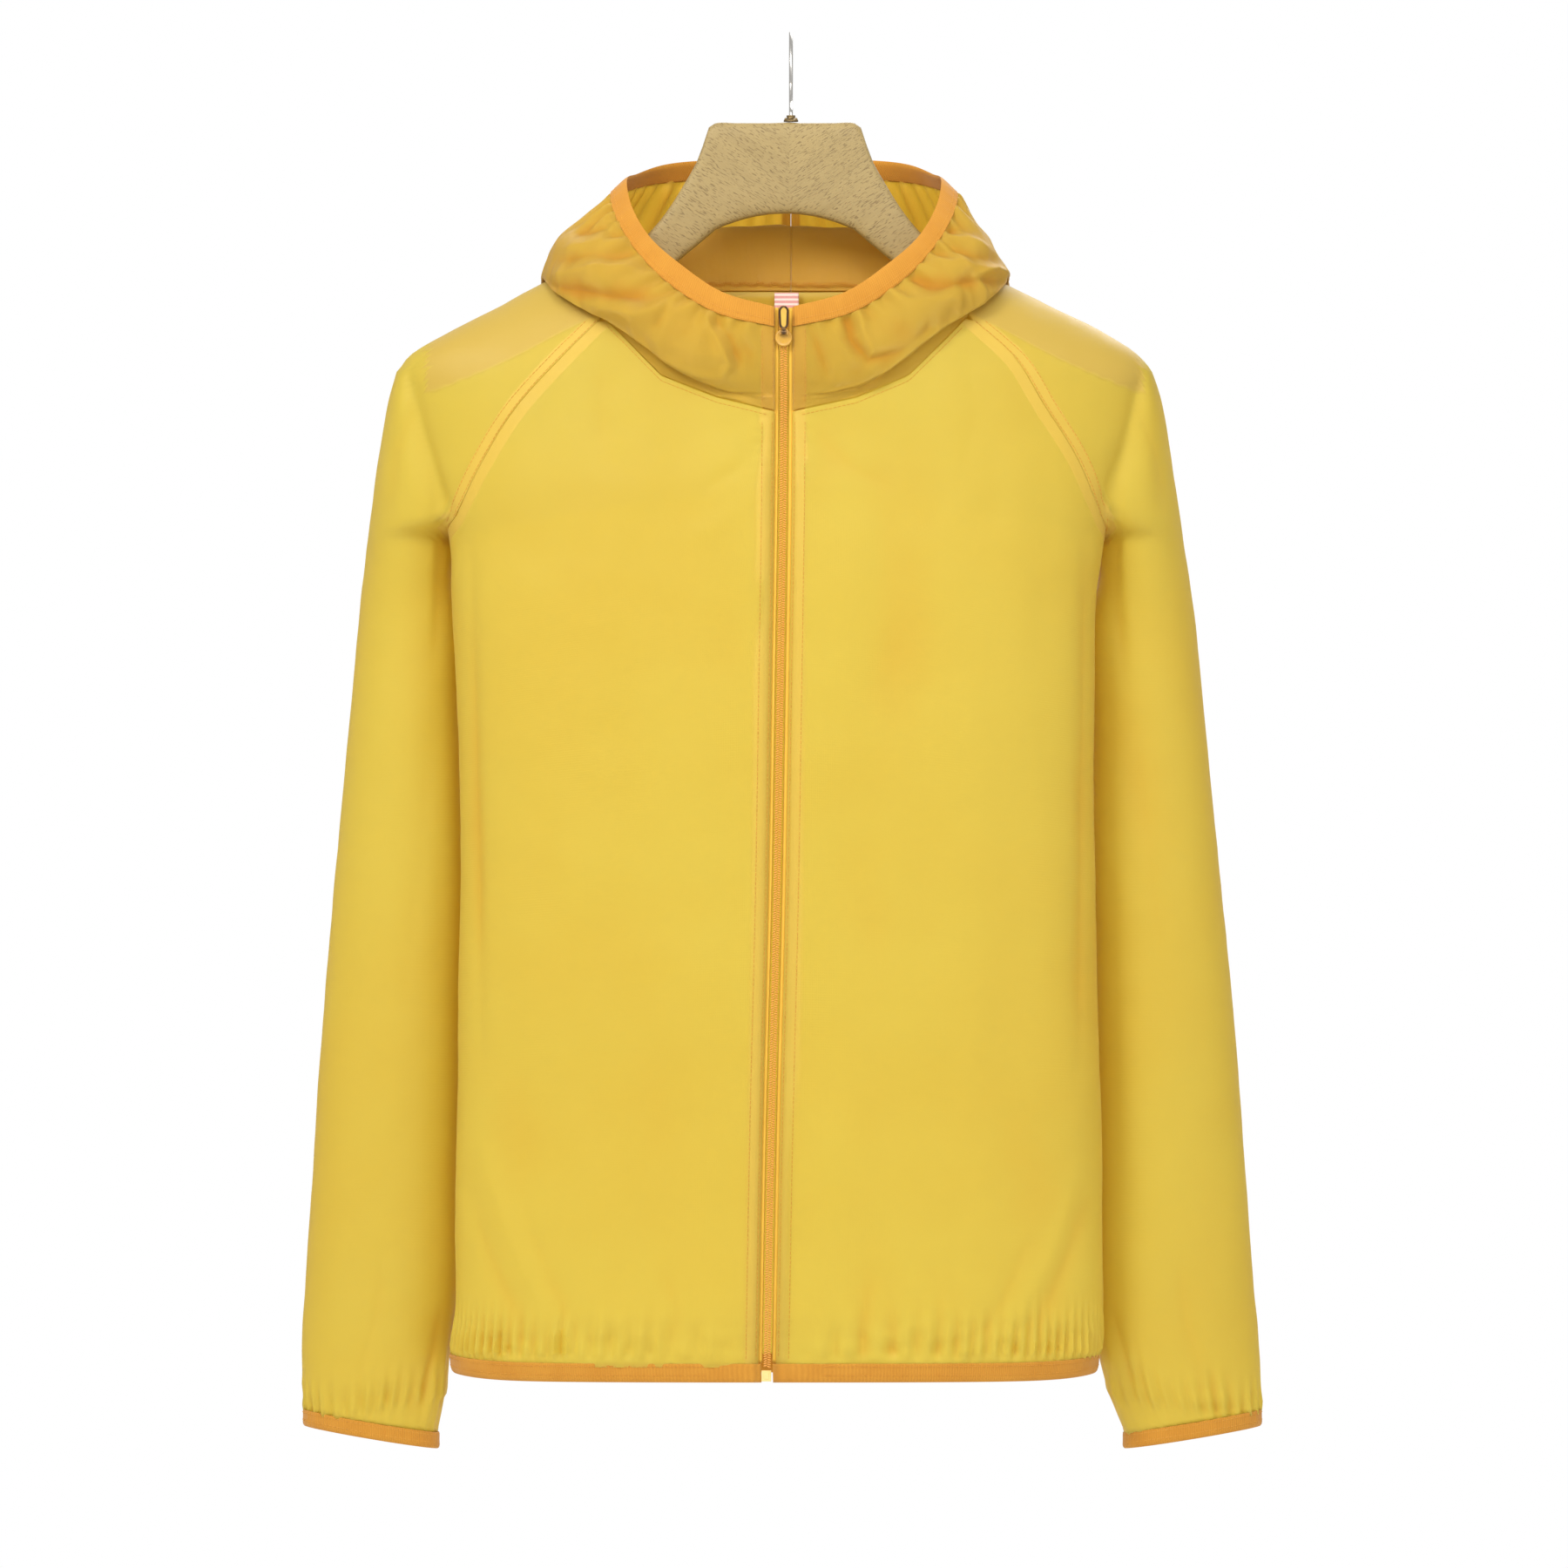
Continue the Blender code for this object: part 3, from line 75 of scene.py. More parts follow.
HEM_BAND = 0.0107               # height of the hem's binding
CUFF_BAND = 0.0094              # height of a cuff's binding
PLACKET = 0.0122                # reach of the turned-under strip beside the zip
BAND_PROUD = 0.0012             # how far a binding's outer layer stands off the cloth
BAND_STITCHES = (0.16, 0.62)    # rows on a binding, as shares of its height
ZIP_STITCHES = (PLACKET, 0.0062)
RAGLAN_STITCHES = (0.0014, 0.0074)
HOOD_SEAM_STITCHES = (-0.0030, 0.0030)

Colour = tuple[float, float, float]
Place = Callable[[float, float], Vector]
Relief = Callable[[Vector, float, float], float]


class Side(Enum):
    """Side of the jacket, as seen by someone who looks at its front."""

    LEFT = -1
    RIGHT = 1

    @property
    def word(self) -> str:
        """The side's name in a piece's name."""
        return self.name.lower()


# ------------------------------------------------------------------------------- curves
class Smooth:
    """Smooth curve through rows of numbers; each column is eased on its own."""

    def __init__(self, knots: Sequence[float], rows: Sequence[Sequence[float]]) -> None:
        """Keep the rows and their slopes.

        Args:
            knots: where each row stands, rising.
            rows: the numbers at each knot.
        """
        self.knots = [float(knot) for knot in knots]
        values = np.asarray(rows, dtype=float)
        slopes = np.gradient(values, np.asarray(self.knots), axis=0)
        self.rows = [tuple(map(float, row)) for row in values]
        self.slopes = [tuple(map(float, row)) for row in slopes]

    def __call__(self, at: float) -> tuple[float, ...]:
        """The numbers at one place, held at the ends."""
        at = min(max(at, self.knots[0]), self.knots[-1])
        i = min(max(bisect.bisect_right(self.knots, at) - 1, 0), len(self.knots) - 2)
        span = self.knots[i + 1] - self.knots[i]
        t = (at - self.knots[i]) / span
        made = []
        for low, high, near, far in zip(self.rows[i], self.rows[i + 1],
                                        self.slopes[i], self.slopes[i + 1]):
            rise = high - low
            near *= span
            far *= span
            made.append(low + t * near + t * t * ((3 - 2 * t) * (rise - near)
                                                  + (t - 1) * (far - near)))
        return tuple(made)


def table(rows: Sequence[Sequence[float]]) -> Smooth:
    """Curve over a table, from its first column to the others."""
    return Smooth([row[0] for row in rows], [row[1:] for row in rows])


def signed_power(value: float, power: float) -> float:
    """A power that keeps the sign."""
    return math.copysign(abs(value) ** power, value)


def ease(share: float) -> float:
    """Soft step from 0 to 1."""
    share = min(max(share, 0.0), 1.0)
    return share * share * (3.0 - 2.0 * share)


def mix(low: float, high: float, share: float) -> float:
    """Number between two others."""
    return low + (high - low) * share


def forward(_point: Vector) -> Vector:
    """Straight out of the jacket's front."""
    return Vector((0.0, -1.0, 0.0))


def distances(points: Sequence[Vector]) -> list[float]:
    """How far along a line each of its points lies."""
    steps = [0.0]
    for first, second in zip(points, points[1:]):
        steps.append(steps[-1] + (second - first).length)
    return steps


def toned(colour: Colour, *factors: float) -> Colour:
    """A colour times one factor, or times one factor for each channel."""
    return tuple(c * f for c, f in zip(colour, factors if len(factors) > 1 else factors * 3))


# ---------------------------------------------------------------------- the jacket's form
class TrunkRow(NamedTuple):
    """Level section of the jacket's body: its side edges, depths and squareness."""

    drop: float
    left: float
    right: float
    front: float
    back: float
    power: float


TRUNK = (
    TrunkRow(0.1300, -0.1190, 0.0960, 0.0270, 0.0270, 2.2),
    TrunkRow(0.1400, -0.1380, 0.1165, 0.0330, 0.0340, 2.2),
    TrunkRow(0.1475, -0.1520, 0.1320, 0.0370, 0.0380, 2.2),
    TrunkRow(0.1550, -0.1655, 0.1470, 0.0400, 0.0410, 2.2),
    TrunkRow(0.1700, -0.1950, 0.1775, 0.0450, 0.0450, 2.25),
    TrunkRow(0.1850, -0.2195, 0.2005, 0.0490, 0.0480, 2.3),
    TrunkRow(0.1925, -0.2245, 0.2065, 0.0505, 0.0490, 2.3),
    TrunkRow(0.2070, -0.2210, 0.2030, 0.0525, 0.0510, 2.4),
    TrunkRow(0.2340, -0.2130, 0.1955, 0.0550, 0.0540, 2.5),
    TrunkRow(0.2540, -0.2065, 0.1880, 0.0570, 0.0560, 2.6),
    TrunkRow(0.2740, -0.1995, 0.1820, 0.0580, 0.0580, 2.7),
    TrunkRow(0.2900, -0.1955, 0.1795, 0.0590, 0.0590, 2.7),
    TrunkRow(0.3185, -0.1940, 0.1755, 0.0600, 0.0600, 2.8),
    TrunkRow(0.3625, -0.1920, 0.1745, 0.0610, 0.0610, 2.8),
    TrunkRow(0.4800, -0.1900, 0.1750, 0.0610, 0.0610, 2.8),
    TrunkRow(0.5800, -0.1915, 0.1770, 0.0600, 0.0600, 2.8),
    TrunkRow(0.6800, -0.1930, 0.1775, 0.0580, 0.0590, 2.8),
    TrunkRow(0.7300, -0.1935, 0.1775, 0.0550, 0.0565, 2.8),
    TrunkRow(0.7600, -0.1945, 0.1755, 0.0510, 0.0530, 2.8),
    TrunkRow(0.7720, -0.1925, 0.1740, 0.0500, 0.0520, 2.8),
)


class SeamRow(NamedTuple):
    """Point of a sleeve seam on the front: how far it is from the middle, per side."""

    drop: float
    left: float
    right: float


RAGLAN = (
    SeamRow(0.1635, -0.1075, 0.1010),
    SeamRow(0.1850, -0.1290, 0.1255),
    SeamRow(0.2135, -0.1550, 0.1440),
    SeamRow(0.2445, -0.1750, 0.1635),
    SeamRow(0.2740, -0.1905, 0.1765),
)


class NeckRow(NamedTuple):
    """Point of the neck seam, by its turn from the front opening to the middle back."""

    turn: float
    left: float
    right: float
    drop: float


NECK_FRONT = (
    NeckRow(0.0, -0.0092, 0.0008, 0.2180),
    NeckRow(20.0, -0.0420, 0.0375, 0.2100),
    NeckRow(40.0, -0.0740, 0.0670, 0.1975),
    NeckRow(58.0, -0.0960, 0.0900, 0.1750),
    NeckRow(68.0, -0.1075, 0.1010, 0.1635),
    NeckRow(80.0, -0.1190, 0.1035, 0.1470),
    NeckRow(90.0, -0.1257, 0.1035, 0.1335),
)
NECK_BACK = (
    NeckRow(90.0, -0.1257, 0.1035, 0.1335),
    NeckRow(100.0, -0.1200, 0.1010, 0.1410),
    NeckRow(112.0, -0.1110, 0.0970, 0.1460),
    NeckRow(135.0, -0.0820, 0.0740, 0.1460),
    NeckRow(157.0, -0.0440, 0.0420, 0.1460),
    NeckRow(180.0, -0.0001, 0.0001, 0.1460),
)


class HoodRow(NamedTuple):
    """The hood at one turn: how high its tuck rises, then its lip, its bulge and rim."""

    turn: float
    tuck_rise: float
    lip_reach: float
    lip_y: float
    lip_drop: float
    bulge_reach: float
    bulge_y: float
    bulge_drop: float
    rim_drop: float
    edge_drop: float


HOOD = (
    HoodRow(0.0, 0.0060, 0.0000, -0.0560, 0.2050, 0.0000, -0.0575, 0.1900, 0.1700, 0.1585),
    HoodRow(20.0, 0.0045, 0.0470, -0.0590, 0.1990, 0.0450, -0.0605, 0.1820, 0.1620, 0.1500),
    HoodRow(40.0, 0.0130, 0.0840, -0.0530, 0.1740, 0.0820, -0.0545, 0.1560, 0.1445, 0.1330),
    HoodRow(58.0, 0.0110, 0.1100, -0.0430, 0.1590, 0.1060, -0.0430, 0.1370, 0.1245, 0.1170),
    HoodRow(75.0, 0.0090, 0.1270, -0.0295, 0.1490, 0.1190, -0.0240, 0.1230, 0.1050, 0.0990),
    HoodRow(90.0, 0.0070, 0.1335, -0.0040, 0.1400, 0.1225, 0.0020, 0.1160, 0.0920, 0.0840),
    HoodRow(110.0, 0.0200, 0.1290, 0.0400, 0.1560, 0.1190, 0.0420, 0.1240, 0.0890, 0.0785),
    HoodRow(130.0, 0.0300, 0.1060, 0.0580, 0.1850, 0.1010, 0.0640, 0.1350, 0.0835, 0.0720),
    HoodRow(155.0, 0.0340, 0.0560, 0.0690, 0.2080, 0.0560, 0.0810, 0.1420, 0.0800, 0.0685),
    HoodRow(180.0, 0.0350, 0.0000, 0.0710, 0.2120, 0.0000, 0.0850, 0.1430, 0.0790, 0.0675),
)


class ZipRow(NamedTuple):
    """The zip leans a little: its middle at some drops."""

    drop: float
    x: float


ZIP_LINE = (
    ZipRow(0.1500, -0.0042),
    ZipRow(0.2180, -0.0042),
    ZipRow(0.3900, -0.0064),
    ZipRow(0.4800, -0.0078),
    ZipRow(0.6300, -0.0113),
    ZipRow(0.7720, -0.0138),
)


class SleeveRow(NamedTuple):
    """Sleeve section: outer and inner side, drops of both, and its middle and depth."""

    drop: float
    inner_drop: float
    left_outer: float
    left_inner: float
    right_outer: float
    right_inner: float
    middle_y: float
    half_depth: float


SLEEVE = (
    SleeveRow(0.1925, 0.1925, -0.2262, -0.2190, 0.2070, 0.2010, 0.002, 0.014),
    SleeveRow(0.2070, 0.2070, -0.2305, -0.2140, 0.2120, 0.1965, 0.005, 0.019),
    SleeveRow(0.2340, 0.2340, -0.2360, -0.2085, 0.2175, 0.1910, 0.012, 0.024),
    SleeveRow(0.2540, 0.2540, -0.2395, -0.2050, 0.2205, 0.1885, 0.017, 0.027),
    SleeveRow(0.2740, 0.2740, -0.2420, -0.2030, 0.2235, 0.1870, 0.022, 0.029),
    SleeveRow(0.2900, 0.2900, -0.2440, -0.2020, 0.2255, 0.1865, 0.025, 0.030),
    SleeveRow(0.3050, 0.3050, -0.2455, -0.1985, 0.2280, 0.1820, 0.029, 0.031),
    SleeveRow(0.3300, 0.3300, -0.2485, -0.1908, 0.2320, 0.1723, 0.032, 0.031),
    SleeveRow(0.3900, 0.3900, -0.2545, -0.1890, 0.2390, 0.1715, 0.032, 0.031),
    SleeveRow(0.4800, 0.4800, -0.2625, -0.1872, 0.2475, 0.1720, 0.032, 0.031),
    SleeveRow(0.5700, 0.5700, -0.2700, -0.1885, 0.2555, 0.1738, 0.032, 0.031),
    SleeveRow(0.6600, 0.6600, -0.2765, -0.1898, 0.2625, 0.1745, 0.032, 0.031),
    SleeveRow(0.7250, 0.7250, -0.2805, -0.1915, 0.2675, 0.1750, 0.031, 0.030),
    SleeveRow(0.7550, 0.7580, -0.2818, -0.1965, 0.2700, 0.1772, 0.030, 0.028),
    SleeveRow(0.7750, 0.7840, -0.2815, -0.2000, 0.2708, 0.1845, 0.029, 0.025),
    SleeveRow(0.7905, 0.8035, -0.2803, -0.2038, 0.2705, 0.1925, 0.028, 0.021),
)

TRUNK_CURVE = table(TRUNK)
RAGLAN_CURVE = table(RAGLAN)
HOOD_CURVE = table(HOOD)
ZIP_CURVE = table(ZIP_LINE)
SLEEVE_CURVE = table(SLEEVE)


@functools.lru_cache(maxsize=400000)
def trunk_section(drop: float) -> tuple[float, ...]:
    """Edges, depths and squareness of the body at one drop."""
    return TRUNK_CURVE(drop)


@dataclass(frozen=True)
class JacketForm:
    """The jacket's main surfaces: body, neck seam, sleeve seams, sleeves and hood."""

    seam_gap: float = 0.00012
    hem: float = 0.7600
    hem_rise: float = 0.0035
    neck: float = 0.2180
    back_neck: float = 0.1460
    shoulder_neck: float = 0.1335
    raglan_top: float = 0.1640
    armpit: float = 0.2900
    armpit_turn: float = 103.0
    back_shift: float = 0.0080
    zip_half_opening: float = 0.0050
    lobe_start: float = 0.1925
    sleeve_end: float = 0.7905
    hood_middle: float = -0.0090
    rim_middle: float = -0.0040
    rim_half: float = 0.0990
    edge_half: float = 0.0900
    rim_depth: float = 0.0585
    edge_depth: float = 0.0560
    rim_y: float = 0.0015

    def trunk_point(self, turn: float, drop: float, proud: float = 0.0) -> Vector:
        """Point of the body.

        Args:
            turn: degrees round from the front middle, positive to +X.
            drop: height below the hook.
            proud: how far outside the surface.

        Returns:
            The point in metres.
        """
        left, right, front, back, power = trunk_section(drop)
        sine = math.sin(math.radians(turn))
        cosine = math.cos(math.radians(turn))
        depth = (front if cosine > 0 else back) + proud
        half = (right - left) / 2 + proud
        return Vector(((left + right) / 2 + half * signed_power(sine, 2 / power),
                       -depth * signed_power(cosine, 2 / power), -drop))

    def trunk_turn(self, x: float, drop: float, on_back: bool = False) -> float:
        """Turn of the body's point that has this x; negative on the left side."""
        left, right, _front, _back, power = trunk_section(drop)
        share = (x - (left + right) / 2) / ((right - left) / 2)
        turn = math.degrees(math.asin(min(abs(share), 1.0) ** (power / 2)))
        return math.copysign(180.0 - turn if on_back else turn, share)

    def zip_x(self, drop: float) -> float:
        """Middle of the zip at a drop."""
        return ZIP_CURVE(drop)[0]

    def hem_drop(self, turn: float) -> float:
        """Lower edge of the panels, which rises towards the side corners."""
        return self.hem - self.hem_rise * abs(math.sin(math.radians(turn))) ** 8

    def neck_row(self, turn: float) -> tuple[float, float, float]:
        """Left x, right x and drop of the neck seam at a turn from 0 to 180."""
        rows = NECK_FRONT if turn <= 90.0 else NECK_BACK
        turns = [row.turn for row in rows]
        columns = zip(*(row[1:] for row in rows))
        left, right, drop = (float(np.interp(turn, turns, column)) for column in columns)
        return left, right, drop

    def neck_point(self, turn: float, side: Side, raised: float = 0.0) -> Vector:
        """Neck seam on the body's surface, or a little above it."""
        left, right, drop = self.neck_row(turn)
        x = left if side is Side.LEFT else right
        point = self.trunk_point(self.trunk_turn(x, drop, turn > 90.0), drop)
        return point + Vector((0.0, 0.0, raised))

    def neck_front_x(self, drop: float, side: Side) -> float:
        """Where the front neck seam is at a drop."""
        drops = [-row.drop for row in NECK_FRONT]
        values = [row.left if side is Side.LEFT else row.right for row in NECK_FRONT]
        return float(np.interp(-drop, drops, values))

    def raglan_turn(self, drop: float, side: Side, on_back: bool = False) -> float:
        """Turn of the sleeve seam, or above it of the neck edge of the sleeve."""
        if drop >= self.armpit:
            return side.value * self.armpit_turn
        top = self.back_neck if on_back else self.raglan_top
        if drop <= top and on_back:
            share = (drop - self.shoulder_neck) / (self.back_neck - self.shoulder_neck)
            row = self.neck_row(90.001 + 22.0 * max(share, 0.0))
            return self.trunk_turn(row[0] if side is Side.LEFT else row[1], drop, True)
        if drop <= top:
            return self.trunk_turn(self.neck_front_x(drop, side), drop)
        last = RAGLAN[-1].drop
        if drop <= last:
            pair = RAGLAN_CURVE(max(drop, RAGLAN[0].drop))
            x = pair[0] if side is Side.LEFT else pair[1]
            if on_back:
                fade = (last - drop) / (last - self.back_neck)
                row = self.neck_row(112.0)
                neck_x = row[0] if side is Side.LEFT else row[1]
                x += side.value * self.back_shift * (1.0 - fade)
                x += (neck_x - x) * max(fade, 0.0) ** 3
            return self.trunk_turn(x, drop, on_back)
        start = self.raglan_turn(last, side, on_back)
        share = (drop - last) / (self.armpit - last)
        return start + (side.value * self.armpit_turn - start) * share ** 1.5

    def beside(self, turn: float, drop: float, direction: float, gap: float) -> float:
        """Turn a short way from another one along the surface."""
        ahead = self.trunk_point(turn + 0.5, drop)
        length = (ahead - self.trunk_point(turn - 0.5, drop)).length
        return turn + direction * gap / max(length, 1e-6)

    def loop_x(self, turn: float, side: Side, reach: float, middle: float) -> float:
        """x of a loop of the hood, which ends at the zip and at the back seam."""
        sine = math.sin(math.radians(turn))
        cosine = math.cos(math.radians(turn))
        end_x = -0.0042 if turn < 90.0 else 0.0
        opening = self.zip_half_opening if turn < 90.0 else self.seam_gap
        centre = end_x + (middle - end_x) * sine * sine
        return centre + side.value * (reach + opening * abs(cosine) ** 4)

    def rim_depth_at(self, turn: float, depth: float) -> float:
        """y of the face opening at a turn."""
        return self.rim_y - depth * math.cos(math.radians(turn))

    def hood_profile(self, turn: float, side: Side) -> Smooth:
        """Curve across the hood at one turn: seam 0, tuck 1, lip 2, bulge 3, rim 4."""
        (tuck_rise, lip_reach, lip_y, lip_drop, bulge_reach, bulge_y, bulge_drop,
         rim_drop, _edge_drop) = HOOD_CURVE(turn)
        seam = self.neck_point(turn, side, 0.0006)
        out = Vector((seam.x - self.hood_middle, seam.y * 2.0, 0.0)).normalized()
        tuck = seam + out * 0.0015 + Vector((0.0, 0.0, tuck_rise))
        lip = (self.loop_x(turn, side, lip_reach, self.hood_middle), lip_y, -lip_drop)
        bulge = (self.loop_x(turn, side, bulge_reach, self.hood_middle), bulge_y,
                 -bulge_drop)
        reach = self.rim_half * math.sin(math.radians(turn))
        rim = (self.loop_x(turn, side, reach, self.rim_middle),
               self.rim_depth_at(turn, self.rim_depth), -rim_drop)
        return Smooth(range(5), [tuple(seam), tuple(tuck), lip, bulge, rim])

    def rim_point(self, turn: float, side: Side, share: float, proud: float) -> Vector:
        """Point of the face binding: share 0 at the hood's rim, 1 at the free edge."""
        row = HOOD_CURVE(turn)
        reach = mix(self.rim_half, self.edge_half, share) + proud
        reach *= math.sin(math.radians(turn))
        depth = mix(self.rim_depth, self.edge_depth, share) + proud
        return Vector((self.loop_x(turn, side, reach, self.rim_middle),
                       self.rim_depth_at(turn, depth), -mix(row[7], row[8], share)))

    def opening_y(self, drop: float) -> float:
        """Outer surface beside the zip, up over the hood's front as well."""
        if drop >= self.neck:
            return -trunk_section(drop)[2]
        rows = HOOD_CURVE(0.0)
        knots = (rows[8], rows[7], rows[6], rows[3], self.neck)
        depths = (self.rim_depth_at(0.0, self.edge_depth),
                  self.rim_depth_at(0.0, self.rim_depth), rows[5], rows[2],
                  -trunk_section(self.neck)[2])
        return Smooth(knots, [(depth,) for depth in depths])(drop)[0]


@dataclass(frozen=True)
class SleeveForm:
    """A sleeve's sections, from its seams round the outside of the arm."""

    form: JacketForm
    steps: int = 96
    tip_fade: float = 6.0
    fold_dip: float = 0.0030
    fold_width: float = 0.0060
    fold_from_edge: float = 0.0075
    armpit_clear: float = 0.0010

    def row(self, drop: float, side: Side) -> tuple[float, float, float, float, float]:
        """Inner drop, outer x, inner x, middle y and half depth at one drop."""
        inner_drop, lo, li, ro, ri, middle_y, half_depth = SLEEVE_CURVE(drop)
        outer, inner = (lo, li) if side is Side.LEFT else (ro, ri)
        return inner_drop, outer, inner, middle_y, half_depth

    def section(self, drop: float, side: Side, proud: float = 0.0) -> list[Vector]:
        """Points of the section from the front seam round outside to the back seam."""
        form = self.form
        sign = side.value
        inner_drop, outer, inner, middle_y, half_depth = self.row(drop, side)
        front_turn = form.raglan_turn(drop, side)
        back_turn = form.raglan_turn(drop, side, on_back=True)
        if drop < form.armpit:
            front_turn = form.beside(front_turn, drop, sign, form.seam_gap)
            back_turn = form.beside(back_turn, drop, -sign, form.seam_gap)
        if drop <= form.lobe_start:
            ridge = np.linspace(front_turn, sign * 90.0, self.steps + 1)
            behind = np.linspace(sign * 90.0, back_turn, self.steps + 1)[1:]
            return [form.trunk_point(float(turn), drop, proud)
                    for turn in (*ridge, *behind)]
        edge = trunk_section(drop)[0 if side is Side.LEFT else 1]
        fold_x = edge - sign * self.fold_from_edge
        fold_turn = sign * max(abs(form.trunk_turn(fold_x, drop)), abs(front_turn))
        back_fold = sign * min(abs(form.trunk_turn(fold_x, drop, True)), abs(back_turn))
        front = [form.trunk_point(float(turn), drop, proud)
                 for turn in np.linspace(front_turn, fold_turn, self.steps // 2)]
        back = [form.trunk_point(float(turn), drop, proud)
                for turn in np.linspace(back_fold, back_turn, self.steps // 2)]
        half_width = abs(outer - inner) / 2 + proud
        middle_x = (outer + inner) / 2
        start = Vector((middle_x - sign * half_width, middle_y, 0.0))
        if drop < form.armpit:
            tips = (front[-1], back[0])
        else:
            below = ease((drop - form.armpit) / 0.040)
            armpit = form.trunk_point(sign * form.armpit_turn, drop, self.armpit_clear)
            tips = (armpit.lerp(start, below),) * 2
        lobe = []
        for step in range(2 * self.steps + 1):
            share = step / (2 * self.steps)
            angle = 2.0 * math.pi * share
            x = middle_x - sign * half_width * math.cos(angle)
            y = middle_y - (half_depth + proud) * math.sin(angle)
            near = (1.0 - share) ** self.tip_fade
            far = share ** self.tip_fade
            x += (tips[0].x - start.x) * near + (tips[1].x - start.x) * far
            y += (tips[0].y - start.y) * near + (tips[1].y - start.y) * far
            if drop < form.armpit:
                reach = min(abs(x - tips[0].x), abs(x - tips[1].x)) / self.fold_width
                fade = max(0.0, 1.0 - 2.2 * min(share, 1.0 - share))
                dip = self.fold_dip * reach * math.exp(1.0 - reach) * fade
                y += dip * (1.0 if share < 0.5 else -1.0)
            tilt = (inner_drop - drop) * (x - outer) / (inner - outer)
            lobe.append(Vector((x, y, -drop - tilt)))
        return lobe if drop >= form.armpit else front[:-1] + lobe + back[1:]

    @staticmethod
    def even(points: Sequence[Vector], count: int) -> list[Vector]:
        """The same line with its points at even distances."""
        steps = distances(points)
        made = []
        for target in np.linspace(0.0, steps[-1], count + 1):
            i = min(bisect.bisect_right(steps, target) - 1, len(points) - 2)
            span = max(steps[i + 1] - steps[i], 1e-9)
            made.append(points[i].lerp(points[i + 1], min((target - steps[i]) / span, 1.0)))
        return made

    def line(self, drop: float, side: Side, half: int, proud: float = 0.0) -> list[Vector]:
        """Section evenly spaced in front of and behind its outermost point."""
        points = self.section(drop, side, proud)
        outermost = max(range(len(points)), key=lambda i: points[i].x * side.value)
        front = self.even(points[:outermost + 1], half)
        return front + self.even(points[outermost:], half)[1:]


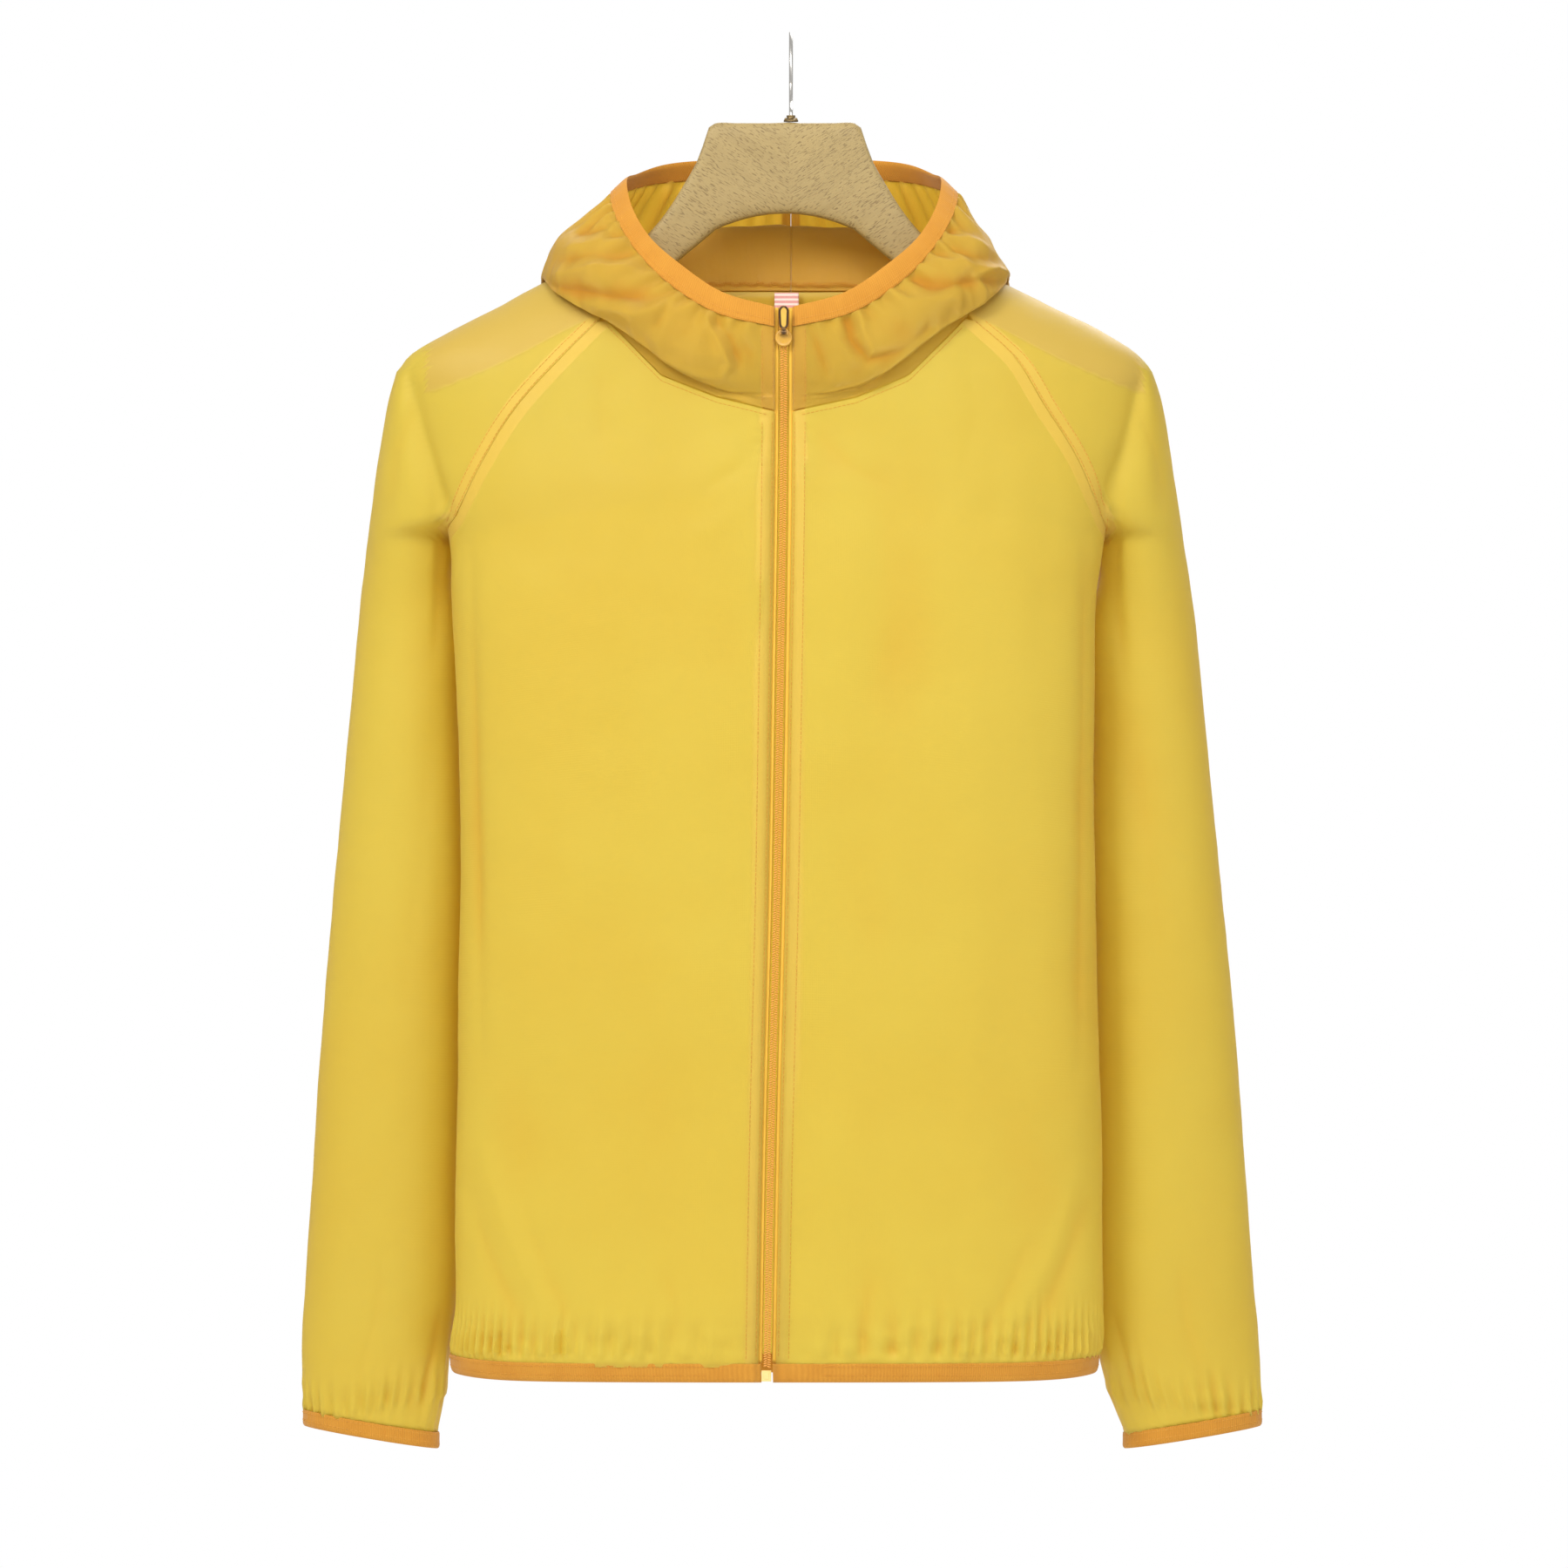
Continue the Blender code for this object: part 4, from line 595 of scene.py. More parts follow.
# ------------------------------------------------------------------------------ finishes
class NodeBook:
    """Short words for building a material's nodes."""

    def __init__(self, name: str) -> None:
        """Start a material with its Principled shader."""
        self.material = bpy.data.materials.new(name)
        self.material.use_nodes = True
        self.nodes = self.material.node_tree.nodes
        self.links = self.material.node_tree.links
        self.shader = self.nodes["Principled BSDF"]
        self.output = self.nodes["Material Output"]

    def add(self, kind: str, **settings: object) -> bpy.types.Node:
        """A node of one kind with some of its settings."""
        node = self.nodes.new(kind)
        for key, value in settings.items():
            setattr(node, key, value)
        return node

    def link(self, source: bpy.types.NodeSocket, target: bpy.types.NodeSocket) -> None:
        """Join two sockets."""
        self.links.new(source, target)

    def place(self, scale: Sequence[float] = (1.0, 1.0, 1.0),
              turn: Sequence[float] = (0.0, 0.0, 0.0),
              uv: bool = False) -> bpy.types.NodeSocket:
        """Object or UV coordinates, turned by degrees and scaled."""
        source = self.add("ShaderNodeTexCoord").outputs["UV" if uv else "Object"]
        if any(turn):
            turned = self.add("ShaderNodeMapping")
            turned.inputs["Rotation"].default_value = [math.radians(a) for a in turn]
            self.link(source, turned.inputs["Vector"])
            source = turned.outputs["Vector"]
        mapping = self.add("ShaderNodeMapping")
        mapping.inputs["Scale"].default_value = scale
        self.link(source, mapping.inputs["Vector"])
        return mapping.outputs["Vector"]

    def noise(self, vector: bpy.types.NodeSocket, scale: float, detail: float = 2.0,
              roughness: float = 0.5) -> bpy.types.NodeSocket:
        """Height of a noise."""
        node = self.add("ShaderNodeTexNoise")
        node.inputs["Scale"].default_value = scale
        node.inputs["Detail"].default_value = detail
        node.inputs["Roughness"].default_value = roughness
        self.link(vector, node.inputs["Vector"])
        return node.outputs["Fac"]

    def ramp(self, value: bpy.types.NodeSocket,
             stops: Sequence[tuple[float, Sequence[float]]]) -> bpy.types.NodeSocket:
        """Colours by a value."""
        node = self.add("ShaderNodeValToRGB")
        first, last = node.color_ramp.elements
        first.position, first.color = stops[0][0], (*stops[0][1], 1.0)
        last.position, last.color = stops[-1][0], (*stops[-1][1], 1.0)
        for position, colour in stops[1:-1]:
            middle = node.color_ramp.elements.new(position)
            middle.color = (*colour, 1.0)
        self.link(value, node.inputs["Fac"])
        return node.outputs["Color"]

    def range(self, value: bpy.types.NodeSocket, low: float, high: float,
              made_low: float = 0.0, made_high: float = 1.0) -> bpy.types.NodeSocket:
        """A value moved softly from one range to another."""
        node = self.add("ShaderNodeMapRange", interpolation_type="SMOOTHSTEP")
        for socket, number in (("From Min", low), ("From Max", high),
                               ("To Min", made_low), ("To Max", made_high)):
            node.inputs[socket].default_value = number
        self.link(value, node.inputs["Value"])
        return node.outputs["Result"]

    def math(self, operation: str, first: bpy.types.NodeSocket,
             second: object) -> bpy.types.NodeSocket:
        """A sum, product or other operation of two values."""
        node = self.add("ShaderNodeMath", operation=operation)
        self.link(first, node.inputs[0])
        if isinstance(second, (int, float)):
            node.inputs[1].default_value = second
        else:
            self.link(second, node.inputs[1])
        return node.outputs[0]

    def tint(self, share: bpy.types.NodeSocket, base: object, other: object,
             blend: str = "MIX") -> bpy.types.NodeSocket:
        """Mix of two colours, each a socket or three numbers."""
        node = self.add("ShaderNodeMix", data_type="RGBA", blend_type=blend)
        self.link(share, node.inputs["Factor"])
        for name, colour in (("A", base), ("B", other)):
            socket = [s for s in node.inputs if s.name == name and s.type == "RGBA"][0]
            if isinstance(colour, bpy.types.NodeSocket):
                self.link(colour, socket)
            else:
                socket.default_value = (*colour, 1.0)
        return [s for s in node.outputs if s.type == "RGBA"][0]

    def bump(self, height: bpy.types.NodeSocket, strength: float,
             distance: float) -> bpy.types.NodeSocket:
        """Normal of a fine relief."""
        node = self.add("ShaderNodeBump")
        node.inputs["Strength"].default_value = strength
        node.inputs["Distance"].default_value = distance
        self.link(height, node.inputs["Height"])
        return node.outputs["Normal"]

    def attribute(self, name: str) -> bpy.types.NodeSocket:
        """A number that the mesh carries at its points."""
        return self.add("ShaderNodeAttribute", attribute_name=name).outputs["Fac"]


# Painted shade: the tone that fold valleys take, darker and more orange.
PAINTED_CREASE_SHADE_TONE = (1.00, 0.76, 0.60)
LAYERS_TONE = (0.97, 0.86, 0.82)
# Painted shadow of the hanger's arm on the cloth that lies over it, in reflected light.
HANGER_SHADOW_TONE = (0.84, 0.74, 0.84)
LAYERS_THROUGH = (1.00, 0.93, 0.90)
# The same painted shadow of the hanger's arm, in the light that the cloth passes.
HANGER_SHADOW_THROUGH = (0.84, 0.72, 0.80)
DENSE_LOSS = 0.28               # light that doubled cloth and wood behind it keep back
THREAD_WAVES = 620.0


@dataclass(frozen=True)
class ThinNylon:
    """Thin see-through nylon: two tones, how much light it passes, and its layers."""

    name: str
    bright: Colour
    deep: Colour
    through: Colour
    passes: float = 0.50
    clear: float = 0.14
    roughness: float = 0.46
    crinkle: float = 0.26

    def build(self) -> bpy.types.Material:
        """The material; its attributes mark doubled cloth, painted fold shade and the hanger's
        painted shadow.
        """
        book = NodeBook(self.name)
        spots = book.place()
        cloud = book.noise(spots, 5.0, 3.0, 0.55)
        soft = book.range(cloud, 0.30, 0.72)
        base = book.tint(soft, self.bright, self.deep)
        # Painted shade: the deeper a point lies in a fold's valley, the darker and more orange
        # its colour.
        valley = book.range(book.attribute("valley"), 0.0, 1.0)
        base = book.tint(valley, base, toned(self.deep, *PAINTED_CREASE_SHADE_TONE))
        layers = book.range(book.attribute("layers"), 0.0, 1.0)
        base = book.tint(layers, base, toned(self.deep, *LAYERS_TONE))
        # Painted shadow: cloth over the hanger's arm, where the wood attribute is 1, is
        # darkened and greyed.
        wood = book.range(book.attribute("wood"), 0.0, 1.0)
        base = book.tint(wood, base, toned(self.deep, *HANGER_SHADOW_TONE))
        book.link(base, book.shader.inputs["Base Color"])
        warp = book.add("ShaderNodeTexWave", bands_direction="X")
        weft = book.add("ShaderNodeTexWave", bands_direction="Y")
        threads = book.place((1.0, 1.0, 1.0), uv=True)
        for wave in (warp, weft):
            wave.inputs["Scale"].default_value = THREAD_WAVES
            wave.inputs["Distortion"].default_value = 0.8
            book.link(threads, wave.inputs["Vector"])
        weave = book.math("ADD", warp.outputs["Fac"], weft.outputs["Fac"])
        crumple = book.noise(book.place(), 38.0, 4.0, 0.55)
        height = book.math("ADD", book.math("MULTIPLY", weave, 0.05), crumple)
        normal = book.bump(height, self.crinkle, 0.0018)
        book.link(normal, book.shader.inputs["Normal"])
        gloss = book.range(crumple, 0.25, 0.75, self.roughness - 0.07,
                           self.roughness + 0.07)
        book.link(gloss, book.shader.inputs["Roughness"])
        book.shader.inputs["Specular IOR Level"].default_value = 0.42
        book.shader.inputs["Sheen Weight"].default_value = 0.10
        book.shader.inputs["Sheen Roughness"].default_value = 0.45
        back = book.add("ShaderNodeBsdfTranslucent")
        back_tone = book.tint(layers, self.through, toned(self.through, *LAYERS_THROUGH))
        # Painted shadow of the hanger's arm in the passed light as well.
        back_tone = book.tint(wood, back_tone, toned(self.through, *HANGER_SHADOW_THROUGH))
        book.link(back_tone, back.inputs["Color"])
        book.link(normal, back.inputs["Normal"])
        body = book.add("ShaderNodeMixShader")
        dense = book.math("MAXIMUM", layers, wood)
        book.link(book.range(dense, 0.0, 1.0, self.passes, self.passes - DENSE_LOSS),
                  body.inputs[0])
        book.link(book.shader.outputs[0], body.inputs[1])
        book.link(back.outputs[0], body.inputs[2])
        film = book.add("ShaderNodeBsdfTransparent")
        film.inputs["Color"].default_value = (1.0, 0.86, 0.40, 1.0)
        whole = book.add("ShaderNodeMixShader")
        whole.inputs[0].default_value = self.clear
        book.link(body.outputs[0], whole.inputs[1])
        book.link(film.outputs[0], whole.inputs[2])
        book.link(whole.outputs[0], book.output.inputs["Surface"])
        return book.material


@dataclass(frozen=True)
class RibbedElastic:
    """Matt knitted binding with fine ribs across it."""

    name: str
    colour: Colour
    shade: Colour

    def build(self) -> bpy.types.Material:
        """The material, with ribs along the piece's own UV map."""
        book = NodeBook(self.name)
        cloud = book.noise(book.place(), 60.0, 3.0)
        base = book.tint(book.range(cloud, 0.25, 0.75), self.colour, self.shade)
        ribs = book.add("ShaderNodeTexWave", bands_direction="X")
        ribs.inputs["Scale"].default_value = 260.0
        ribs.inputs["Distortion"].default_value = 1.2
        ribs.inputs["Detail"].default_value = 1.0
        book.link(book.place(uv=True), ribs.inputs["Vector"])
        base = book.tint(book.math("MULTIPLY", ribs.outputs["Fac"], 0.35), base,
                         toned(self.shade, 0.82))
        book.link(base, book.shader.inputs["Base Color"])
        fuzz = book.noise(book.place(), 900.0, 2.0)
        height = book.math("ADD", ribs.outputs["Fac"], book.math("MULTIPLY", fuzz, 0.6))
        book.link(book.bump(height, 0.45, 0.0004), book.shader.inputs["Normal"])
        book.shader.inputs["Roughness"].default_value = 0.78
        book.shader.inputs["Specular IOR Level"].default_value = 0.25
        book.shader.inputs["Sheen Weight"].default_value = 0.15
        return book.material


@dataclass(frozen=True)
class Thread:
    """Sewing thread."""

    name: str
    colour: Colour
    light: Colour

    def build(self) -> bpy.types.Material:
        """The material, with a fine twist."""
        book = NodeBook(self.name)
        cloud = book.noise(book.place(), 420.0, 2.0)
        book.link(book.tint(cloud, self.colour, self.light),
                  book.shader.inputs["Base Color"])
        book.link(book.bump(book.noise(book.place(), 4000.0), 0.4, 0.0001),
                  book.shader.inputs["Normal"])
        book.shader.inputs["Roughness"].default_value = 0.65
        return book.material


@dataclass(frozen=True)
class Moulded:
    """Moulded plastic or enamelled metal with faint unevenness and worn edges."""

    name: str
    colour: Colour
    worn: Colour
    roughness: float = 0.36
    metallic: float = 0.0

    def build(self) -> bpy.types.Material:
        """The material."""
        book = NodeBook(self.name)
        cloud = book.noise(book.place(), 300.0, 3.0)
        edges = book.add("ShaderNodeNewGeometry").outputs["Pointiness"]
        wear = book.range(edges, 0.52, 0.62)
        base = book.tint(book.range(cloud, 0.3, 0.8), self.colour,
                         toned(self.colour, 0.86))
        base = book.tint(wear, base, self.worn)
        book.link(base, book.shader.inputs["Base Color"])
        rough = book.range(cloud, 0.2, 0.8, self.roughness - 0.06, self.roughness + 0.08)
        book.link(rough, book.shader.inputs["Roughness"])
        book.link(book.bump(book.noise(book.place(), 1500.0), 0.15, 0.0001),
                  book.shader.inputs["Normal"])
        book.shader.inputs["Metallic"].default_value = self.metallic
        return book.material


@dataclass(frozen=True)
class BrushedWire:
    """Drawn metal with fine lines along its length."""

    name: str
    colour: Colour
    roughness: float

    def build(self) -> bpy.types.Material:
        """The material."""
        book = NodeBook(self.name)
        lines = book.noise(book.place((1.0, 1.0, 0.12)), 2500.0, 2.0)
        book.link(book.tint(lines, self.colour, toned(self.colour, 0.75)),
                  book.shader.inputs["Base Color"])
        book.link(book.range(lines, 0.2, 0.8, self.roughness, self.roughness + 0.15),
                  book.shader.inputs["Roughness"])
        book.link(book.bump(lines, 0.2, 0.00005), book.shader.inputs["Normal"])
        book.shader.inputs["Metallic"].default_value = 1.0
        return book.material


@dataclass(frozen=True)
class BeechWood:
    """Pale beech: soft bands and short dark flecks that slant down and outwards."""

    name: str
    slant: float
    light: Colour = (0.362, 0.262, 0.106)
    dark: Colour = (0.328, 0.234, 0.092)
    fleck: Colour = (0.170, 0.110, 0.042)

    def build(self) -> bpy.types.Material:
        """The material; slant is the grain's angle from level, in degrees."""
        book = NodeBook(self.name)
        grain = book.place((14.0, 60.0, 90.0), (0.0, self.slant, 0.0))
        bands = book.noise(grain, 1.6, 4.0, 0.6)
        base = book.ramp(bands, [(0.30, self.dark), (0.50, self.light),
                                 (0.72, toned(self.light, 1.06))])
        rays = book.place((150.0, 500.0, 900.0), (0.0, self.slant, 0.0))
        flecks = book.noise(rays, 1.9, 1.0, 0.4)
        marks = book.range(flecks, 0.57, 0.65)
        fine = book.noise(book.place((40.0, 500.0, 700.0), (0.0, self.slant, 0.0)), 2.0,
                          2.0, 0.6)
        base = book.tint(book.math("MULTIPLY", marks, 0.75), base, self.fleck)
        base = book.tint(book.range(fine, 0.35, 0.75, 0.0, 0.35), base, self.dark)
        book.link(base, book.shader.inputs["Base Color"])
        height = book.math("SUBTRACT", fine, book.math("MULTIPLY", marks, 0.8))
        book.link(book.bump(height, 0.35, 0.0003), book.shader.inputs["Normal"])
        book.link(book.range(bands, 0.2, 0.8, 0.48, 0.62), book.shader.inputs["Roughness"])
        book.shader.inputs["Specular IOR Level"].default_value = 0.35
        return book.material


@dataclass(frozen=True)
class WovenLabel:
    """Woven label with plain stripes."""

    name: str
    ground: Colour
    stripe: Colour

    def build(self) -> bpy.types.Material:
        """The material, with stripes across the label's height."""
        book = NodeBook(self.name)
        bands = book.add("ShaderNodeTexWave", bands_direction="Z",
                         wave_profile="SIN")
        bands.inputs["Scale"].default_value = 116.0
        bands.inputs["Distortion"].default_value = 0.0
        book.link(book.place(), bands.inputs["Vector"])
        mask = book.range(bands.outputs["Fac"], 0.52, 0.66)
        base = book.tint(mask, self.ground, self.stripe)
        weave = book.noise(book.place((1.0, 1.0, 3.0)), 1400.0, 2.0)
        base = book.tint(book.range(weave, 0.35, 0.75, 0.0, 0.4), base,
                         toned(self.stripe, 0.8))
        book.link(base, book.shader.inputs["Base Color"])
        book.link(book.bump(weave, 0.5, 0.0003), book.shader.inputs["Normal"])
        book.shader.inputs["Roughness"].default_value = 0.7
        return book.material


@dataclass(frozen=True)
class Paper:
    """Pale seamless floor."""

    name: str
    tone: float

    def build(self) -> bpy.types.Material:
        """The material."""
        book = NodeBook(self.name)
        cloud = book.noise(book.place(), 0.8, 2.0)
        book.link(book.tint(cloud, (self.tone,) * 3, (self.tone * 0.97,) * 3),
                  book.shader.inputs["Base Color"])
        book.shader.inputs["Roughness"].default_value = 0.9
        return book.material


class Finish(Enum):
    """The finishes of the jacket's pieces."""

    BODY = ThinNylon("body_nylon", (0.790, 0.675, 0.108), (0.780, 0.625, 0.092),
                     (0.900, 0.780, 0.215))
    # Painted shade: the hood is a darker, more orange copy of the body nylon, for the shade of
    # its folds and overhang.
    HOOD = ThinNylon("hood_nylon", (0.800, 0.560, 0.078), (0.780, 0.505, 0.064),
                     (0.940, 0.760, 0.170), 0.46, 0.12, 0.36, 0.80)
    ELASTIC = RibbedElastic("orange_elastic", (0.610, 0.270, 0.028), (0.560, 0.235, 0.022))
    TAPE = RibbedElastic("zip_tape_weave", (0.860, 0.520, 0.060), (0.820, 0.470, 0.050))
    THREAD = Thread("orange_thread", (0.560, 0.230, 0.018), (0.700, 0.360, 0.050))
    COIL = Moulded("zip_coil", (0.690, 0.255, 0.024), (0.740, 0.340, 0.060), 0.40)
    SLIDER = Moulded("slider_enamel", (0.620, 0.330, 0.040), (0.420, 0.220, 0.060), 0.30)
    # Near-black loop round the pull: partly the pull's own edge, partly a painted shadow round
    # it.
    WIRE = Moulded("pull_wire", (0.060, 0.030, 0.014), (0.200, 0.110, 0.040), 0.32, 0.6)
    INLAY = Moulded("pull_inlay", (0.700, 0.420, 0.060), (0.600, 0.330, 0.050), 0.35)
    STOP = Moulded("stop_plastic", (0.830, 0.580, 0.150), (0.880, 0.660, 0.250), 0.38)
    LABEL = WovenLabel("pink_label", (0.720, 0.300, 0.300), (0.880, 0.780, 0.760))
    WOOD_LEFT = BeechWood("beech_left", -33.0)
    WOOD_RIGHT = BeechWood("beech_right", 33.0)
    STEEL = BrushedWire("hook_steel", (0.620, 0.600, 0.560), 0.24)
    BRASS = BrushedWire("ferrule_brass", (0.260, 0.180, 0.080), 0.34)
    FLOOR = Paper("studio_floor", 0.90)

    @functools.cached_property
    def material(self) -> bpy.types.Material:
        """The finish's material, made once."""
        return self.value.build()


# ------------------------------------------------------------------------- making pieces
@dataclass
class PieceShop:
    """Turns meshes into finished pieces and notes each one in the log."""

    count: int = 0

    def add(self, name: str, mesh: bmesh.types.BMesh, finish: Finish, node: str,
            slot: Optional[str] = None, body: str = JACKET, smooth: float = 50.0,
            replaces: bool = True) -> bpy.types.Object:
        """Make an object of a mesh, dress it and put it on its body.

        Args:
            name: the piece's name.
            mesh: its shape, which is freed here.
            finish: its finish.
            node: the solid that it stands for or sits on.
            slot: the record's material slot; not used.
            body: the body that it rides on.
            smooth: edges sharper than this many degrees stay sharp.
            replaces: True if the solid is hidden.

        Returns:
            The object.
        """
        data = bpy.data.meshes.new(name)
        mesh.to_mesh(data)
        mesh.free()
        data.materials.append(finish.material)
        data.shade_smooth()
        data.set_sharp_from_angle(angle=math.radians(smooth))
        item = bpy.data.objects.new(name, data)
        bpy.context.scene.collection.objects.link(item)
        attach(item, body)
        if replaces:
            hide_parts(node)
        self.count += 1
        LOG.info("piece %d: %s, %d faces", self.count, name, len(data.polygons))
        return item

    @staticmethod
    def wall(item: bpy.types.Object, thickness: float, even: bool = False) -> None:
        """Give an open sheet its wall on the inner side."""
        solid = item.modifiers.new("Wall", "SOLIDIFY")
        solid.thickness = thickness
        solid.offset = -1.0
        solid.use_even_offset = even
        solid.use_quality_normals = True

    @staticmethod
    def rounded(item: bpy.types.Object, width: float, segments: int = 2) -> None:
        """Round a piece's edges."""
        bevel = item.modifiers.new("Edges", "BEVEL")
        bevel.width = width
        bevel.segments = segments
        bevel.limit_method = "ANGLE"
        bevel.angle_limit = math.radians(40)


# --------------------------------------------------------------------------- hanger rows
class HangerRow(NamedTuple):
    """Section of the hanger: its reach from the middle, top, bottom and half depth."""

    reach: float
    top: float
    bottom: float
    half_depth: float


HANGER = (
    HangerRow(0.0400, 0.0508, 0.1120, 0.0065),
    HangerRow(0.0435, 0.0530, 0.1150, 0.0066),
    HangerRow(0.0488, 0.0690, 0.1195, 0.0068),
    HangerRow(0.0573, 0.0850, 0.1265, 0.0070),
    HangerRow(0.0688, 0.1030, 0.1360, 0.0075),
    HangerRow(0.0780, 0.1140, 0.1440, 0.0080),
    HangerRow(0.0980, 0.1320, 0.1570, 0.0090),
    HangerRow(0.1250, 0.1490, 0.1710, 0.0110),
    HangerRow(0.1600, 0.1645, 0.1890, 0.0130),
    HangerRow(0.1850, 0.1790, 0.1995, 0.0130),
    HangerRow(0.1990, 0.1900, 0.2045, 0.0105),
    HangerRow(0.2050, 0.1965, 0.2050, 0.0080),
)
WOOD_CURVE = table(HANGER)
WOOD_MIDDLE = -0.0035


def over_wood(point: Vector) -> float:
    """1 where the cloth lies on the hanger's arm, whose shadow the body nylon paints there."""
    reach = abs(point.x - WOOD_MIDDLE)
    if reach < 0.070 or reach > 0.2049 or -point.z > 0.2060:
        return 0.0
    bottom = WOOD_CURVE(reach)[1]
    return ease((bottom + point.z) / 0.0030 + 0.5) * ease((reach - 0.070) / 0.004)


@dataclass
class Sheet:
    """One cloth piece: a flat grid mapped onto the jacket, with folds and a wall."""

    name: str
    node: str
    finish: Finish
    columns: int
    rows: int
    place: Place
    flat: tuple[float, float]
    area: float
    outward: Callable[[Vector], Vector]
    relief: Optional[Relief] = None
    layers: Optional[Callable[[Vector, float, float], float]] = None
    seams: str = ""
    allowance: float = 0.0060
    thickness: float = 0.00035
    slot: str = "cloth"
    weld: bool = False
    rests_on: tuple[str, ...] = ("hanger_left", "hanger_right")
    held: str = "hung"

    def build(self, shop: PieceShop) -> bpy.types.Object:
        """Map the grid, fold it, mark its doubled parts and finish it."""
        grid = bmesh.new()
        bmesh.ops.create_grid(grid, x_segments=self.columns, y_segments=self.rows,
                              size=1.0)
        grid.verts.index_update()
        flat = {}
        for vertex in grid.verts:
            across = (vertex.co.x + 1.0) / 2.0
            down = (vertex.co.y + 1.0) / 2.0
            flat[vertex.index] = (across, down)
            vertex.co = self.place(across, down)
        self.face_outwards(grid)
        self.unwrap(grid, flat)
        grid.normal_update()
        heights = self.fold(grid, flat)
        distances = self.seam_distances(grid, flat)
        doubled = grid.verts.layers.float.new("layers")
        valley = grid.verts.layers.float.new("valley")
        wood = grid.verts.layers.float.new("wood")
        for vertex in grid.verts:
            across, down = flat[vertex.index]
            share = 1.0 - ease((distances[vertex.index] - self.allowance) / 0.0012)
            if self.layers is not None:
                share = max(share, self.layers(vertex.co, across, down))
            vertex[doubled] = share
            # Painted shade: the fold's depth, which the nylon turns into a darker, more orange
            # tone.
            vertex[valley] = min(max(-heights[vertex.index] / 0.0050, 0.0), 1.0)
            # Painted shadow: where the hanger's arm lies behind the body cloth.
            vertex[wood] = over_wood(vertex.co) if self.finish is Finish.BODY else 0.0
        made = sum(face.calc_area() for face in grid.faces)
        if self.weld:
            bmesh.ops.remove_doubles(grid, verts=grid.verts[:], dist=0.00002)
        item = shop.add(self.name, grid, self.finish, self.node, self.slot, smooth=70.0)
        shop.wall(item, self.thickness)
        list(self.rests_on)
        LOG.info("%s: %.4f square metres for a cut of %.4f", self.name, made, self.area)
        return item

    def face_outwards(self, grid: bmesh.types.BMesh) -> None:
        """Turn the faces so that they look out of the jacket."""
        grid.normal_update()
        total = sum((face.normal * face.calc_area()).dot(
            self.outward(face.calc_center_median())) for face in grid.faces)
        if total < 0.0:
            bmesh.ops.reverse_faces(grid, faces=grid.faces[:])

    def unwrap(self, grid: bmesh.types.BMesh,
               flat: dict[int, tuple[float, float]]) -> None:
        """Lay the flat grid out in metres as the UV map."""
        layer = grid.loops.layers.uv.new("cloth")
        width, length = self.flat
        for face in grid.faces:
            for loop in face.loops:
                across, down = flat[loop.vert.index]
                loop[layer].uv = (across * width, down * length)

    def fold(self, grid: bmesh.types.BMesh,
             flat: dict[int, tuple[float, float]]) -> list[float]:
        """Move the points along their normals by the folds' heights."""
        heights = [0.0] * len(grid.verts)
        if self.relief is None:
            return heights
        moves = []
        for vertex in grid.verts:
            height = self.relief(vertex.co, *flat[vertex.index])
            heights[vertex.index] = height
            moves.append((vertex, vertex.normal * height))
        for vertex, move in moves:
            vertex.co += move
        return heights

    def seam_distances(self, grid: bmesh.types.BMesh,
                       flat: dict[int, tuple[float, float]]) -> list[float]:
        """Distance of each point from the sewn edges, in metres."""
        tests = {"left": lambda a, d: a < 1e-6, "right": lambda a, d: a > 1.0 - 1e-6,
                 "top": lambda a, d: d < 1e-6, "bottom": lambda a, d: d > 1.0 - 1e-6}
        chosen = [tests[word] for word in self.seams.split()]
        edge = [vertex for vertex in grid.verts
                if any(test(*flat[vertex.index]) for test in chosen)]
        if not edge:
            return [1.0] * len(grid.verts)
        tree = kdtree.KDTree(len(edge))
        for number, vertex in enumerate(edge):
            tree.insert(vertex.co, number)
        tree.balance()
        return [tree.find(vertex.co)[2] for vertex in grid.verts]


class Crease(NamedTuple):
    """A listed fold: pixels it runs through, half width and height in mm."""

    path: tuple[tuple[float, float], ...]
    width: float
    height: float


@dataclass(frozen=True)
class CreaseField:
    """Heights of the listed folds on the side of the jacket that faces the viewer."""

    creases: tuple[Crease, ...]

    def height(self, x: float, drop: float) -> float:
        """Sum of the folds' heights at a point, in metres."""
        px = x / PIXEL + PHOTO_MIDDLE[0]
        py = drop / PIXEL + PHOTO_MIDDLE[1]
        total = 0.0
        for crease in self.creases:
            reach = crease.width / (PIXEL * 1000.0)
            distance, along = self.nearest(crease.path, px, py, reach * 3.0)
            if distance is not None:
                taper = min(1.0, 4.0 * along * (1.0 - along) + 0.15)
                total += crease.height * 0.001 * taper * math.exp(-(distance / reach) ** 1.5)
        return total

    @staticmethod
    def nearest(path: Sequence[Sequence[float]], px: float, py: float,
                limit: float) -> tuple[Optional[float], float]:
        """Distance to a path and how far along it that is, or None if out of reach."""
        xs = [point[0] for point in path]
        ys = [point[1] for point in path]
        if (px < min(xs) - limit or px > max(xs) + limit
                or py < min(ys) - limit or py > max(ys) + limit):
            return None, 0.0
        best, best_along = limit, 0.0
        found = False
        last = len(path) - 1
        for i in range(last):
            dx, dy = xs[i + 1] - xs[i], ys[i + 1] - ys[i]
            t = ((px - xs[i]) * dx + (py - ys[i]) * dy) / max(dx * dx + dy * dy, 1e-9)
            t = min(max(t, 0.0), 1.0)
            distance = math.hypot(px - xs[i] - dx * t, py - ys[i] - dy * t)
            if distance < best:
                best, best_along, found = distance, (i + t) / last, True
        return (best, best_along) if found else (None, 0.0)


